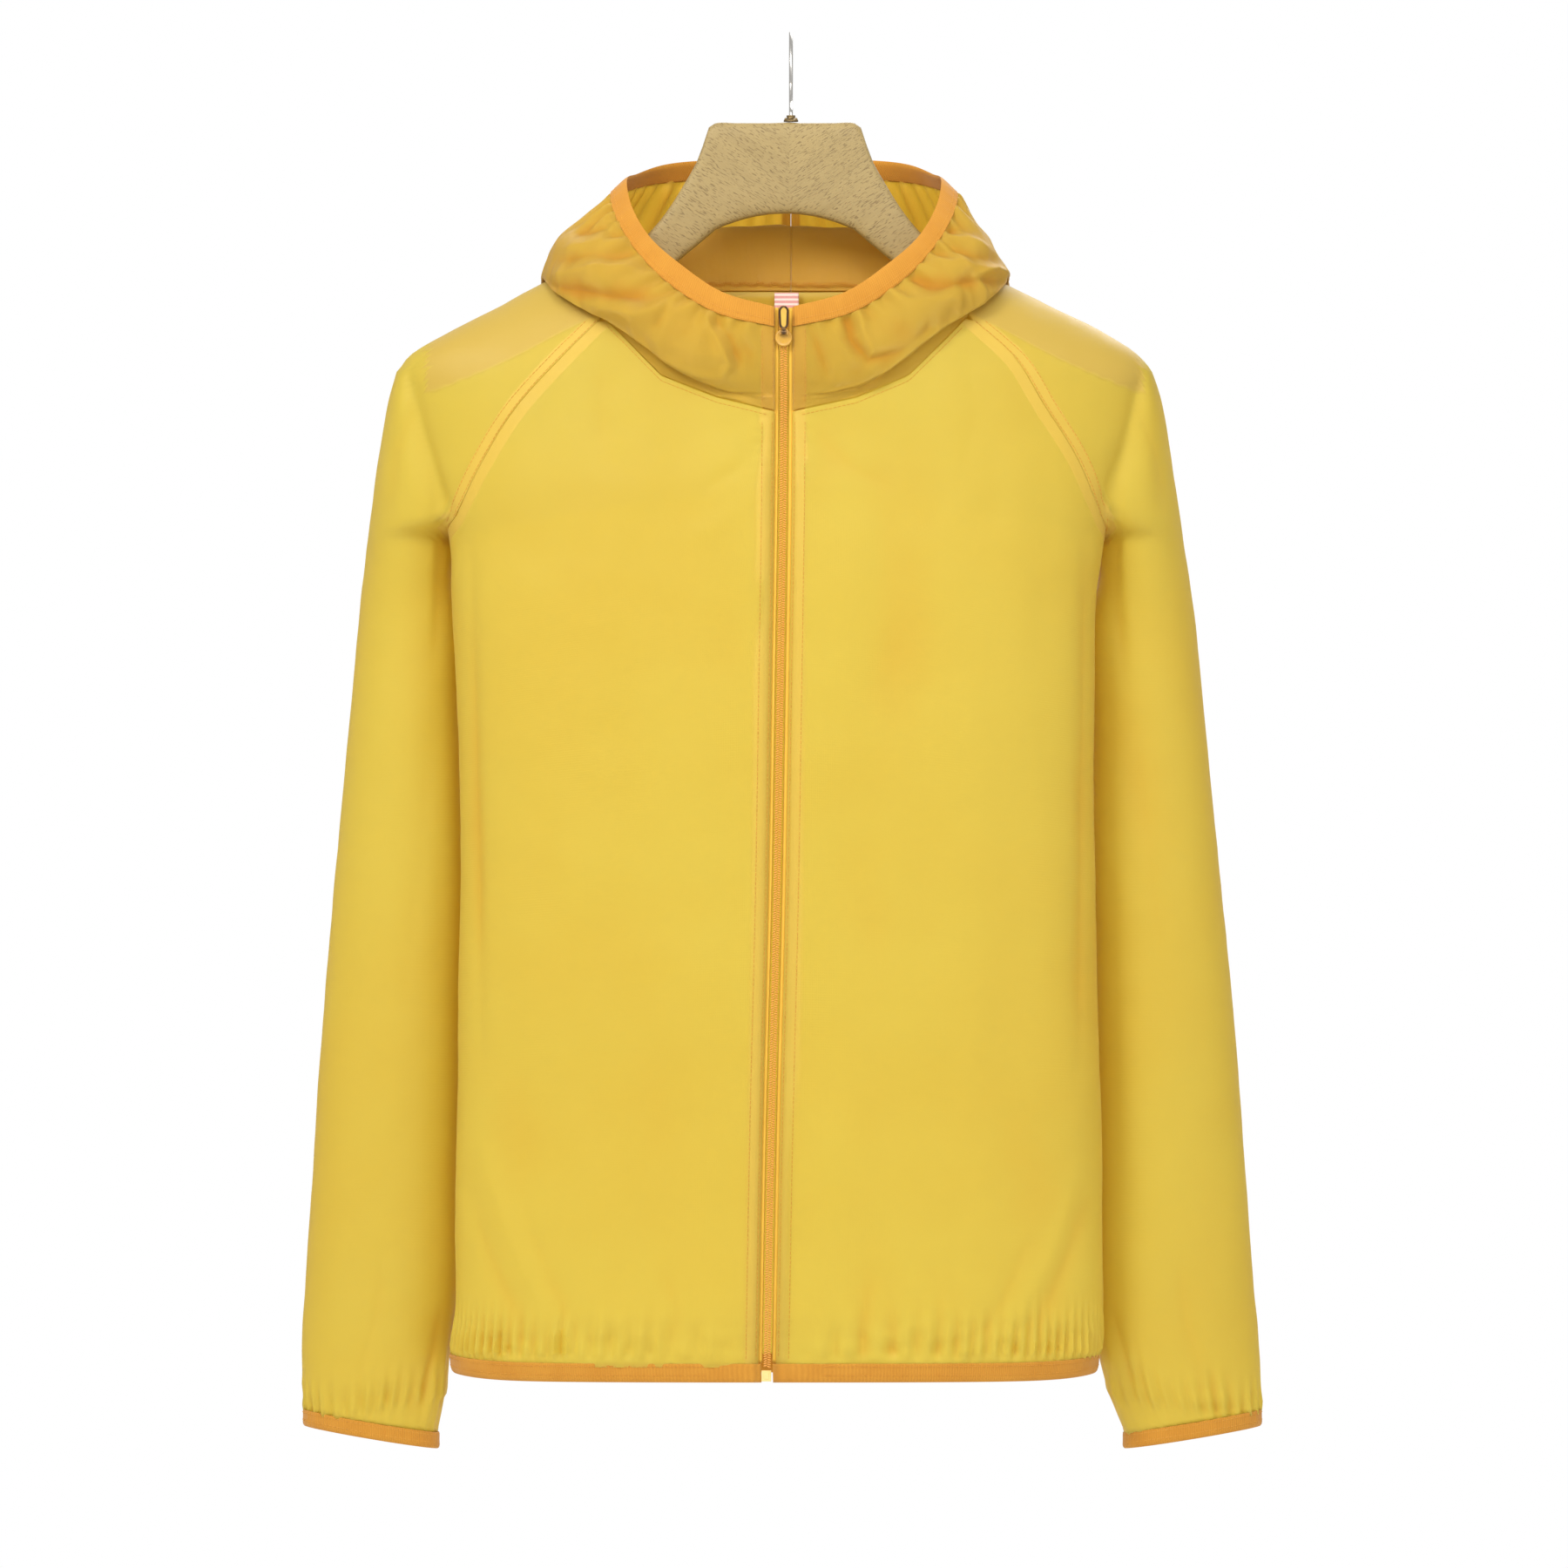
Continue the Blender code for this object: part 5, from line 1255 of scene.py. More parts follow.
def crumple(point: Vector, size: float, seed: float) -> float:
    """Soft uneven height between -1 and 1."""
    return noise.noise(point / size + Vector((seed, seed * 1.7, seed * 0.3)))


def gather(along: float, count: float, seed: float) -> float:
    """Height of uneven gathers between about -1 and 1, along an elastic edge."""
    drift = noise.noise(Vector((along * count * 0.23, seed, 0.0)))
    strength = 0.72 + 0.45 * noise.noise(Vector((along * count * 0.61, seed + 7.0, 2.0)))
    return strength * math.sin(2.0 * math.pi * (along * count + 0.8 * drift))


def away_from_middle(point: Vector) -> Vector:
    """Direction out of the jacket, level, from its upright middle line."""
    return Vector((point.x + 0.009, point.y * 3.0, 0.0)).normalized()


# ---------------------------------------------------------------------------- body panels
SEAM_DROPS = (0.1660, 0.1760, 0.1900, 0.2070, 0.2280, 0.2490, 0.2680, 0.2800, 0.2900)
SIDE_DROPS = (0.3300, 0.4200, 0.5200, 0.6200, 0.6900, 0.7350, 0.7490)

FRONT_CREASES = CreaseField((
    Crease(((880, 500), (850, 540), (800, 572)), 5.0, -0.9),
    Crease(((872, 560), (832, 600), (790, 622)), 5.0, 0.7),
    Crease(((925, 490), (975, 540), (1030, 566)), 6.0, -0.8),
    Crease(((700, 400), (690, 470), (700, 560)), 9.0, -0.8),
    Crease(((1105, 400), (1120, 470), (1100, 560)), 9.0, -0.7),
    Crease(((543, 620), (546, 900), (556, 1240)), 5.0, -2.2),
    Crease(((1246, 620), (1243, 900), (1238, 1240)), 5.0, -2.2),
    Crease(((528, 1330), (560, 1430), (612, 1545)), 5.0, -1.5),
    Crease(((548, 1300), (588, 1420), (640, 1535)), 5.0, 1.3),
    Crease(((600, 1380), (630, 1460), (676, 1550)), 5.0, -1.2),
    Crease(((1255, 1360), (1225, 1440), (1180, 1545)), 5.0, -1.4),
    Crease(((1240, 1330), (1205, 1440), (1150, 1540)), 5.0, 1.2),
    Crease(((1180, 1420), (1150, 1490), (1110, 1555)), 4.0, -1.0),
    Crease(((760, 1450), (780, 1500), (788, 1556)), 3.0, -1.0),
    Crease(((1000, 1460), (990, 1510), (985, 1556)), 3.0, -0.9),
    Crease(((640, 700), (655, 1000), (650, 1300)), 22.0, 1.1),
    Crease(((1120, 700), (1130, 1000), (1110, 1300)), 22.0, 1.0),
))


@dataclass
class BodyPanels:
    """The two fronts and the back, gathered onto the hem's elastic."""

    form: JacketForm
    placket: float = PLACKET
    neck_rows: int = 6
    start_turn: float = 66.5
    hem_tuck: float = 0.0020
    gather_depth: float = 0.0026
    gather_height: float = 0.0400

    def front_map(self, side: Side) -> Place:
        """Map of one front: across from the opening to the side, down to the hem."""
        form = self.form
        drops = [*SEAM_DROPS, *SIDE_DROPS, form.hem]
        last = len(drops) - 1
        opening = [form.neck, 0.2370, 0.2620]
        for row in range(len(SEAM_DROPS), last + 1):
            share = (row - len(SEAM_DROPS) + 1) / (len(SIDE_DROPS) + 1)
            opening.append(drops[row] - 0.0300 * (1.0 - share) ** 2)
        rows = list(range(self.neck_rows, last + 1))

        @functools.lru_cache(maxsize=2000)
        def ends(down: float) -> tuple[float, ...]:
            """Drops and turns of a row's inner and outer end."""
            at = down * last
            outer_drop = float(np.interp(at, range(last + 1), drops))
            if at < self.neck_rows:
                turn = self.start_turn * (1.0 - at / self.neck_rows)
                left, right, drop = form.neck_row(turn)
                inner_x = left if side is Side.LEFT else right
                inner_drop = drop + form.seam_gap
            else:
                inner_drop = float(np.interp(at, rows, opening))
                inner_x = form.zip_x(inner_drop) + side.value * form.zip_half_opening
            inner = form.trunk_turn(inner_x, inner_drop)
            outer = form.beside(form.raglan_turn(outer_drop, side), outer_drop,
                                -side.value, form.seam_gap)
            return inner_drop, outer_drop, inner, outer

        def place(across: float, down: float) -> Vector:
            at = down * last
            inner_drop, outer_drop, inner, outer = ends(down)
            drop = outer_drop + (inner_drop - outer_drop) * (1.0 - across) ** 2
            turn = mix(inner, outer, across)
            low = ease((drop - (form.hem - 0.012)) / 0.012)
            drop = mix(drop, form.hem_drop(turn) + self.hem_tuck * down, low)
            rolled = 0.0
            if at >= self.neck_rows:
                edge = across * abs(outer_drop - form.neck + 0.18)
                rolled = -0.0007 * (1.0 - ease(edge / 0.0022))
            return form.trunk_point(turn, drop, rolled)

        return place

    def back_map(self) -> Place:
        """Map of the back: across from the right side seam to the left one."""
        form = self.form
        top = form.back_neck

        @functools.lru_cache(maxsize=2000)
        def ends(level: float) -> tuple[float, float]:
            """Turns of the right and the left side seam at one level."""
            gap = form.seam_gap
            right = form.beside(form.raglan_turn(level, Side.RIGHT, True), level, 1, gap)
            left = form.beside(form.raglan_turn(level, Side.LEFT, True), level, -1, gap)
            return right, 360.0 + left

        def place(across: float, down: float) -> Vector:
            level = mix(top, form.hem, down)
            turn = mix(*ends(level), across)
            low = ease((level - (form.hem - 0.012)) / 0.012)
            level = mix(level, form.hem_drop(turn) + self.hem_tuck * down, low)
            return form.trunk_point(turn, level)

        return place

    def hem_gather(self, point: Vector, along: float, count: float, seed: float) -> float:
        """Height of the gathers above the hem's elastic at one point."""
        above = point.z + self.form.hem
        span = 0.5 + 0.5 * noise.noise(Vector((along * count * 0.45, seed, 5.0)))
        length = self.gather_height * mix(0.45, 1.5, span)
        if above > length:
            return 0.0
        strength = mix(0.12, 1.0, ease(above / 0.007)) * (1.0 - ease(above / length))
        ends = ease(min(along, 1.0 - along) / 0.04)
        lean = 6.0 * noise.noise(Vector((along * count * 0.18, seed, 4.0)))
        bent = along + lean * above / count
        small = 0.5 * crumple(point, 0.008, seed) + 0.5 * crumple(point, 0.015, seed + 3.0)
        height = gather(bent, count, seed) + 0.9 * small * ease(above / 0.006)
        return height * self.gather_depth * strength * ends

    def front_relief(self, side: Side) -> Relief:
        """Folds of one front."""
        form = self.form

        def relief(point: Vector, across: float, down: float) -> float:
            drop = -point.z
            off = abs(point.x - form.zip_x(drop))
            flat = mix(0.15, 1.0, ease((off - 0.006) / 0.020))
            height = FRONT_CREASES.height(point.x, drop)
            height += 0.0017 * crumple(point, 0.075, 3.0 + side.value)
            height += 0.0003 * crumple(point, 0.016, 9.0)
            fall = Vector((point.x, point.y, point.z * 0.16))
            height += 0.0013 * crumple(fall, 0.030, 17.0 + side.value)
            height *= flat
            pucker = math.exp(-((off - self.placket) / 0.004) ** 2)
            height += 0.00022 * pucker * math.sin(drop * 900.0 + 2.0 * crumple(
                point, 0.02, 5.0))
            return height + self.hem_gather(point, across, 27.0, 11.0 + side.value)

        return relief

    def back_relief(self, point: Vector, across: float, down: float) -> float:
        """Folds of the back: soft drape lines from the shoulders and the gathers."""
        fall = math.sin(across * math.pi)
        height = 0.0016 * crumple(Vector((point.x, point.y, point.z * 0.22)), 0.055, 21.0)
        height += 0.0010 * crumple(point, 0.090, 25.0) + 0.0003 * crumple(point, 0.016, 2.0)
        return height * fall + self.hem_gather(point, across, 56.0, 31.0)

    def placket_share(self, point: Vector, across: float, down: float) -> float:
        """1 on the turned-under strip beside the zip."""
        off = abs(point.x - self.form.zip_x(-point.z))
        return 1.0 - ease((off - self.placket) / 0.0010)

    def build(self, shop: PieceShop) -> list[bpy.types.Object]:
        """Make the fronts and the back."""
        made = []
        for side in Side:
            made.append(Sheet(
                name=f"front_panel_{side.word}", node=f"front_{side.word}",
                finish=Finish.BODY, columns=130, rows=170, place=self.front_map(side),
                flat=(0.245, 0.600), area=0.1245, outward=away_from_middle,
                relief=self.front_relief(side), layers=self.placket_share,
                seams="right").build(shop))
        made.append(Sheet(
            name="back_panel", node="back", finish=Finish.BODY, columns=240, rows=110,
            place=self.back_map(), flat=(0.440, 0.615), area=0.2270, outward=away_from_middle,
            relief=self.back_relief, seams="left right top").build(shop))
        return made


# -------------------------------------------------------------------------------- sleeves
SLEEVE_CREASES = CreaseField((
    Crease(((478, 470), (455, 520), (446, 600)), 5.0, -1.0),
    Crease(((500, 560), (506, 640), (500, 760)), 5.0, -1.5),
    Crease(((486, 500), (498, 620), (492, 740)), 4.0, 0.9),
    Crease(((500, 800), (480, 1000), (462, 1180)), 10.0, -1.0),
    Crease(((1302, 470), (1328, 520), (1340, 600)), 5.0, -1.0),
    Crease(((1284, 570), (1280, 660), (1290, 780)), 5.0, -1.5),
    Crease(((1296, 520), (1290, 640), (1300, 740)), 4.0, 0.9),
    Crease(((1300, 820), (1320, 1000), (1342, 1180)), 10.0, -1.0),
    Crease(((508, 1500), (498, 1560), (470, 1636)), 3.5, -1.6),
    Crease(((512, 1540), (500, 1600), (486, 1640)), 2.5, 1.2),
    Crease(((440, 1430), (430, 1520), (400, 1610)), 6.0, -1.0),
    Crease(((1275, 1500), (1292, 1560), (1325, 1640)), 3.5, -1.6),
    Crease(((1270, 1530), (1284, 1590), (1302, 1640)), 2.5, 1.2),
    Crease(((1350, 1430), (1362, 1520), (1392, 1610)), 6.0, -1.0),
))


@dataclass
class Sleeves:
    """The raglan sleeves, gathered onto the cuffs' elastic."""

    form: JacketForm
    arms: SleeveForm
    half_columns: int = 74
    rows: int = 140
    top: float = 0.1345
    cuff_tuck: float = 0.0020
    gather_depth: float = 0.0023
    gather_height: float = 0.0340

    def drop_at(self, down: float) -> float:
        """Drop of a row; rows lie closer at the shoulder and at the cuff."""
        end = self.form.sleeve_end
        return float(np.interp(down, (0.0, 0.34, 0.74, 1.0),
                               (self.top, 0.3000, 0.7000, end)))

    def map(self, side: Side) -> Place:
        """Map of a sleeve: across from its front seam round outside to its back seam."""
        lines = [self.arms.line(self.drop_at(row / self.rows), side, self.half_columns)
                 for row in range(self.rows + 1)]
        for point in lines[-1]:
            point.z -= self.cuff_tuck

        def place(across: float, down: float) -> Vector:
            row = int(round(down * self.rows))
            return lines[row][int(round(across * 2 * self.half_columns))].copy()

        return place

    def outward(self, side: Side) -> Callable[[Vector], Vector]:
        """Direction away from a sleeve's own middle line."""
        def direction(point: Vector) -> Vector:
            if point.z > -self.form.lobe_start:
                return away_from_middle(point)
            _inner, outer_x, inner_x, middle_y, _depth = self.arms.row(-point.z, side)
            return Vector((point.x - (outer_x + inner_x) / 2, point.y - middle_y,
                           0.0)).normalized()
        return direction

    def relief(self, side: Side) -> Relief:
        """Folds of a sleeve."""
        def height(point: Vector, across: float, down: float) -> float:
            drop = -point.z
            made = 0.0
            if point.y < 0.030:
                made += SLEEVE_CREASES.height(point.x, drop)
            long_fold = Vector((point.x, point.y, point.z * 0.30))
            low = ease((drop - 0.20) / 0.10)
            made += 0.0013 * crumple(long_fold, 0.040, 41.0 + side.value) * low
            made += 0.0003 * crumple(point, 0.015, 6.0)
            inner = self.form.sleeve_end - 0.003
            above = (inner - drop) + 0.012 * (0.5 - 0.5 * math.cos(2 * math.pi * across))
            above = max(above, 0.0)
            span = 0.5 + 0.5 * noise.noise(Vector((across * 11.0, 4.0 * side.value, 1.0)))
            length = self.gather_height * mix(0.5, 1.5, span)
            if above < length:
                strength = mix(0.12, 1.0, ease(above / 0.007))
                strength *= 1.0 - ease(above / length)
                lean = 5.0 * noise.noise(Vector((across * 5.0, 7.0 * side.value, 4.0)))
                height_here = gather(across + lean * above / 27.0, 27.0, 51.0 + side.value)
                height_here += 0.8 * crumple(point, 0.009, 14.0) * ease(above / 0.006)
                made += height_here * self.gather_depth * strength
            joined = 1.0 if drop < self.form.armpit else ease(
                min(across, 1.0 - across) / 0.03)
            return made * joined

        return height

    def build(self, shop: PieceShop) -> list[bpy.types.Object]:
        """Make both sleeves."""
        return [Sheet(
            name=f"sleeve_cloth_{side.word}", node=f"sleeve_{side.word}",
            finish=Finish.BODY, columns=2 * self.half_columns, rows=self.rows,
            place=self.map(side), flat=(0.300, 0.665), area=0.1410, outward=self.outward(side),
            relief=self.relief(side), seams="left right", weld=True).build(shop)
            for side in Side]


# ----------------------------------------------------------------------------------- hood
HOOD_CREASES = CreaseField((
    Crease(((712, 272), (690, 262), (655, 268)), 3.5, -1.6),
    Crease(((722, 284), (690, 278), (640, 292)), 3.5, 1.5),
    Crease(((730, 296), (684, 292), (634, 300)), 3.5, -1.8),
    Crease(((742, 316), (690, 310), (630, 320)), 3.5, 1.9),
    Crease(((762, 338), (700, 344), (625, 330)), 5.0, -3.0),
    Crease(((790, 352), (730, 366), (670, 352)), 5.0, 1.8),
    Crease(((770, 346), (762, 366), (752, 384)), 2.5, -1.1),
    Crease(((806, 360), (822, 392), (838, 424), (822, 446)), 3.0, 1.9),
    Crease(((820, 366), (842, 396), (850, 430)), 3.0, -1.6),
    Crease(((760, 416), (790, 436), (826, 440)), 3.0, 1.4),
    Crease(((846, 378), (862, 410), (866, 452)), 2.5, -1.0),
    Crease(((1078, 266), (1100, 262), (1130, 276)), 3.5, -1.6),
    Crease(((1070, 280), (1110, 276), (1148, 296)), 3.5, 1.5),
    Crease(((1058, 292), (1105, 290), (1152, 304)), 3.5, -1.8),
    Crease(((1046, 306), (1100, 306), (1150, 316)), 3.5, 1.8),
    Crease(((1036, 318), (1080, 330), (1158, 322)), 4.5, -2.6),
    Crease(((1130, 334), (1120, 320), (1140, 312), (1160, 318)), 2.5, 2.2),
    Crease(((1000, 334), (1040, 350), (1100, 346)), 4.0, 1.4),
    Crease(((984, 352), (990, 384), (1006, 412)), 3.0, 1.4),
    Crease(((970, 360), (976, 392), (996, 418), (1040, 408)), 3.0, -2.0),
    Crease(((948, 372), (962, 396), (985, 424)), 2.5, 1.5),
    Crease(((932, 384), (940, 412), (952, 440)), 2.5, -1.1),
    Crease(((1052, 398), (1090, 378), (1120, 356)), 4.0, -1.2),
))


@dataclass
class HoodCloth:
    """The two halves of the hood, which hang folded over the neck seam."""

    form: JacketForm
    columns: int = 240
    rows: int = 126
    gather_depth: float = 0.0021

    def map(self, side: Side) -> Place:
        """Map of half of the hood: across from the opening to the middle back."""
        profiles: dict[float, Smooth] = {}
        last = 1.0 - 1.0 / self.rows

        def place(across: float, down: float) -> Vector:
            turn = 180.0 * across
            if down > last + 1e-6:
                return self.form.rim_point(turn, side, 0.25, 0.0001)
            if turn not in profiles:
                profiles[turn] = self.form.hood_profile(turn, side)
            return Vector(profiles[turn](4.0 * down / last))

        return place

    @staticmethod
    def outward(point: Vector) -> Vector:
        """Level direction out of the hood's bulge."""
        return Vector((point.x + 0.009, point.y, 0.0)).normalized()

    def relief(self, side: Side) -> Relief:
        """Folds of half of the hood: gathers under the binding and placed creases."""
        def height(point: Vector, across: float, down: float) -> float:
            station = 4.0 * down
            below = 4.0 - station
            ends = ease(min(across / 0.05, (1.0 - across) / 0.015))
            made = 0.0
            if point.y < 0.004 and station > 1.9:
                placed = HOOD_CREASES.height(point.x, -point.z)
                made += 1.6 * placed * ease((station - 1.9) / 0.4) * ease(below / 0.16)
            span = 0.5 + 0.5 * noise.noise(Vector((across * 16.0, 3.0 * side.value, 8.0)))
            reach = mix(0.45, 1.35, span) * (1.25 if across > 0.55 else 1.0)
            if below < reach:
                strength = mix(0.15, 1.0, ease(below / 0.12)) * (1.0 - ease(below / reach))
                made += gather(across, 27.0, 61.0 + side.value) * self.gather_depth * strength
            slack = Vector((across * 6.0, station * 0.9, 3.0 * side.value))
            soft = 0.0017 * noise.noise(slack * 1.9) * ease((station - 0.4) / 0.8)
            soft += 0.0008 * crumple(point, 0.014, 13.0)
            streak = noise.noise(Vector((across * 40.0, station * 0.9, 5.0 * side.value)))
            soft += 0.0014 * streak * ease((station - 1.6) / 0.6)
            made += soft * ease(below / 0.16)
            return made * ends * ease(station / 0.25)

        return height

    def placket_share(self, point: Vector, across: float, down: float) -> float:
        """1 on the turned-under strip beside the zip, and where the hood lies double."""
        if point.y > -0.03:
            return 1.0 - ease((4.0 * down - 2.0) / 0.25)
        off = abs(point.x - self.form.zip_x(-point.z))
        return 1.0 - ease((off - PLACKET) / 0.0010)

    def build(self, shop: PieceShop) -> list[bpy.types.Object]:
        """Make both halves."""
        return [Sheet(
            name=f"hood_cloth_{side.word}", node=f"hood_{side.word}", finish=Finish.HOOD,
            columns=self.columns, rows=self.rows, place=self.map(side),
            flat=(0.290, 0.250), area=0.0485, outward=self.outward, relief=self.relief(side),
            layers=self.placket_share, seams="right", allowance=0.0045,
            rests_on=("back", "sleeve_left", "sleeve_right")).build(shop)
            for side in Side]


# ------------------------------------------------------------------------------- bindings
class FoldRow(NamedTuple):
    """Point of a folded binding's section: how far down and how far outside."""

    along: float
    down: float
    proud: float


FOLDED = (
    FoldRow(0.00, 0.000, 0.00085),
    FoldRow(0.12, 0.050, 0.00110),
    FoldRow(0.30, 0.450, 0.00120),
    FoldRow(0.44, 0.900, 0.00105),
    FoldRow(0.50, 1.000, 0.00025),
    FoldRow(0.56, 0.900, -0.00065),
    FoldRow(0.70, 0.450, -0.00095),
    FoldRow(0.90, 0.060, -0.00085),
    FoldRow(1.00, 0.000, -0.00070),
)
FOLD_CURVE = table(FOLDED)


@dataclass
class Bindings:
    """Elastic bindings of the hem, the cuffs and the face opening."""

    form: JacketForm
    arms: SleeveForm
    hem_band: float = HEM_BAND
    cuff_band: float = CUFF_BAND
    zip_gap: float = 0.0033
    section_rows: int = 18
    wall: float = 0.00045

    @staticmethod
    def ripple(count: float, seed: float) -> Relief:
        """Small unevenness of a stretched elastic band."""
        def height(point: Vector, across: float, down: float) -> float:
            outer = ease((0.44 - down) / 0.1)
            return (0.00018 * gather(across, count, seed)
                    + 0.00010 * crumple(point, 0.004, seed)) * outer
        return height

    def hem(self, shop: PieceShop) -> bpy.types.Object:
        """Binding round the hem, from one side of the zip to the other."""
        form = self.form
        low = form.hem + self.hem_band / 2
        start = form.trunk_turn(form.zip_x(low) + self.zip_gap, low)
        end = 360.0 + form.trunk_turn(form.zip_x(low) - self.zip_gap, low)

        def place(across: float, down: float) -> Vector:
            offset, proud = FOLD_CURVE(down)
            turn = mix(start, end, across)
            return form.trunk_point(turn, form.hem_drop(turn) + offset * self.hem_band,
                                    proud)

        return Sheet(
            name="hem_elastic", node="hem_binding", finish=Finish.ELASTIC, columns=360,
            rows=self.section_rows, place=place, flat=(0.815, 0.0225),
            area=0.0183,
            outward=away_from_middle, relief=self.ripple(150, 3.0),
            thickness=self.wall, slot="binding",
            rests_on=("front_left", "front_right", "back"), held="gathered").build(shop)

    def cuff(self, shop: PieceShop, side: Side) -> bpy.types.Object:
        """Closed binding below a sleeve's gathered end."""
        rows = self.section_rows
        half = 52
        lines = []
        for row in range(rows + 1):
            offset, proud = FOLD_CURVE(row / rows)
            line = self.arms.line(self.form.sleeve_end, side, half, proud)
            for point in line:
                point.z -= offset * self.cuff_band
            lines.append(line)

        def place(across: float, down: float) -> Vector:
            return lines[int(round(down * rows))][int(round(across * 2 * half))].copy()

        def outward(point: Vector) -> Vector:
            _drop, outer_x, inner_x, middle_y, _depth = self.arms.row(
                self.form.sleeve_end, side)
            return Vector((point.x - (outer_x + inner_x) / 2, point.y - middle_y, 0.0))

        return Sheet(
            name=f"cuff_elastic_{side.word}", node=f"cuff_binding_{side.word}",
            finish=Finish.ELASTIC, columns=2 * half, rows=rows, place=place,
            flat=(0.185, 0.0203), area=0.00375, outward=outward, relief=self.ripple(34, 5.0),
            thickness=self.wall, slot="binding", weld=True,
            rests_on=(f"sleeve_{side.word}",), held="gathered").build(shop)

    def face(self, shop: PieceShop) -> bpy.types.Object:
        """Binding of the face opening, from one side of the zip to the other."""
        form = self.form

        def place(across: float, down: float) -> Vector:
            side = Side.LEFT if across < 0.5 else Side.RIGHT
            turn = 360.0 * across if side is Side.LEFT else 360.0 * (1.0 - across)
            offset, proud = FOLD_CURVE(down)
            point = form.rim_point(turn, side, offset, proud)
            if abs(across - 0.5) < 1e-6:
                point.x = 0.0
            return point

        return Sheet(
            name="face_elastic", node="hood_binding", finish=Finish.ELASTIC, columns=300,
            rows=self.section_rows, place=place, flat=(0.560, 0.0225),
            area=0.0126,
            outward=HoodCloth.outward, relief=self.ripple(80, 7.0), thickness=self.wall,
            slot="binding", rests_on=("hood_left", "hood_right"),
            held="gathered").build(shop)

    def build(self, shop: PieceShop) -> list[bpy.types.Object]:
        """Make all four bindings."""
        return [self.hem(shop), self.face(shop), *(self.cuff(shop, side) for side in Side)]


# ----------------------------------------------------------------------------------- zip
def ellipsoid(mesh: bmesh.types.BMesh, middle: Vector, halves: Sequence[float],
              turn: Optional[Matrix] = None, rings: tuple[int, int] = (6, 4)) -> None:
    """Add a small rounded lump to a mesh."""
    size = Matrix.Diagonal((*halves, 1.0))
    matrix = Matrix.Translation(middle) @ (turn or Matrix.Identity(4)) @ size
    bmesh.ops.create_uvsphere(mesh, u_segments=rings[0], v_segments=rings[1], radius=1.0,
                              matrix=matrix)


def repeat(mesh: bmesh.types.BMesh, pattern: bmesh.types.BMesh,
           matrices: Sequence[Matrix]) -> None:
    """Add copies of a small shape to a mesh, one for each matrix."""
    pattern.verts.index_update()
    points = [vertex.co.copy() for vertex in pattern.verts]
    faces = [[vertex.index for vertex in face.verts] for face in pattern.faces]
    for matrix in matrices:
        made = [mesh.verts.new(matrix @ point) for point in points]
        for face in faces:
            mesh.faces.new([made[index] for index in face])


def block(mesh: bmesh.types.BMesh, low: Sequence[float], high: Sequence[float]) -> None:
    """Add a box between two corners to a mesh."""
    middle = (Vector(low) + Vector(high)) / 2
    size = Vector(high) - Vector(low)
    bmesh.ops.create_cube(mesh, size=1.0,
                          matrix=Matrix.Translation(middle) @ Matrix.Diagonal((*size, 1.0)))


def bridge(mesh: bmesh.types.BMesh, loops: Sequence[Sequence[bmesh.types.BMVert]]) -> None:
    """Join closed loops of equally many points with faces, each to the next."""
    for first, second in zip(loops, loops[1:]):
        for i, point in enumerate(first):
            j = (i + 1) % len(first)
            mesh.faces.new((point, first[j], second[j], second[i]))


def tube(mesh: bmesh.types.BMesh, path: Sequence[Vector], radius: float, sides: int = 12,
         closed: bool = False) -> None:
    """Add a round rod that follows a path."""
    loops = []
    count = len(path)
    up = Vector((1.0, 0.0, 0.0))
    for i, point in enumerate(path):
        before = path[(i - 1) % count] if closed or i else point
        after = path[(i + 1) % count] if closed or i < count - 1 else point
        ahead = (after - before).normalized()
        side = ahead.cross(up)
        if side.length < 0.2:
            side = ahead.cross(Vector((0.0, 1.0, 0.0)))
        side.normalize()
        other = ahead.cross(side).normalized()
        ring = []
        for step in range(sides):
            angle = 2.0 * math.pi * step / sides
            ring.append(mesh.verts.new(point + radius * (math.cos(angle) * side
                                                         + math.sin(angle) * other)))
        loops.append(ring)
    bridge(mesh, [*loops, loops[0]] if closed else loops)
    if not closed:
        mesh.faces.new(loops[0])
        mesh.faces.new(loops[-1])
    bmesh.ops.recalc_face_normals(mesh, faces=mesh.faces[:])


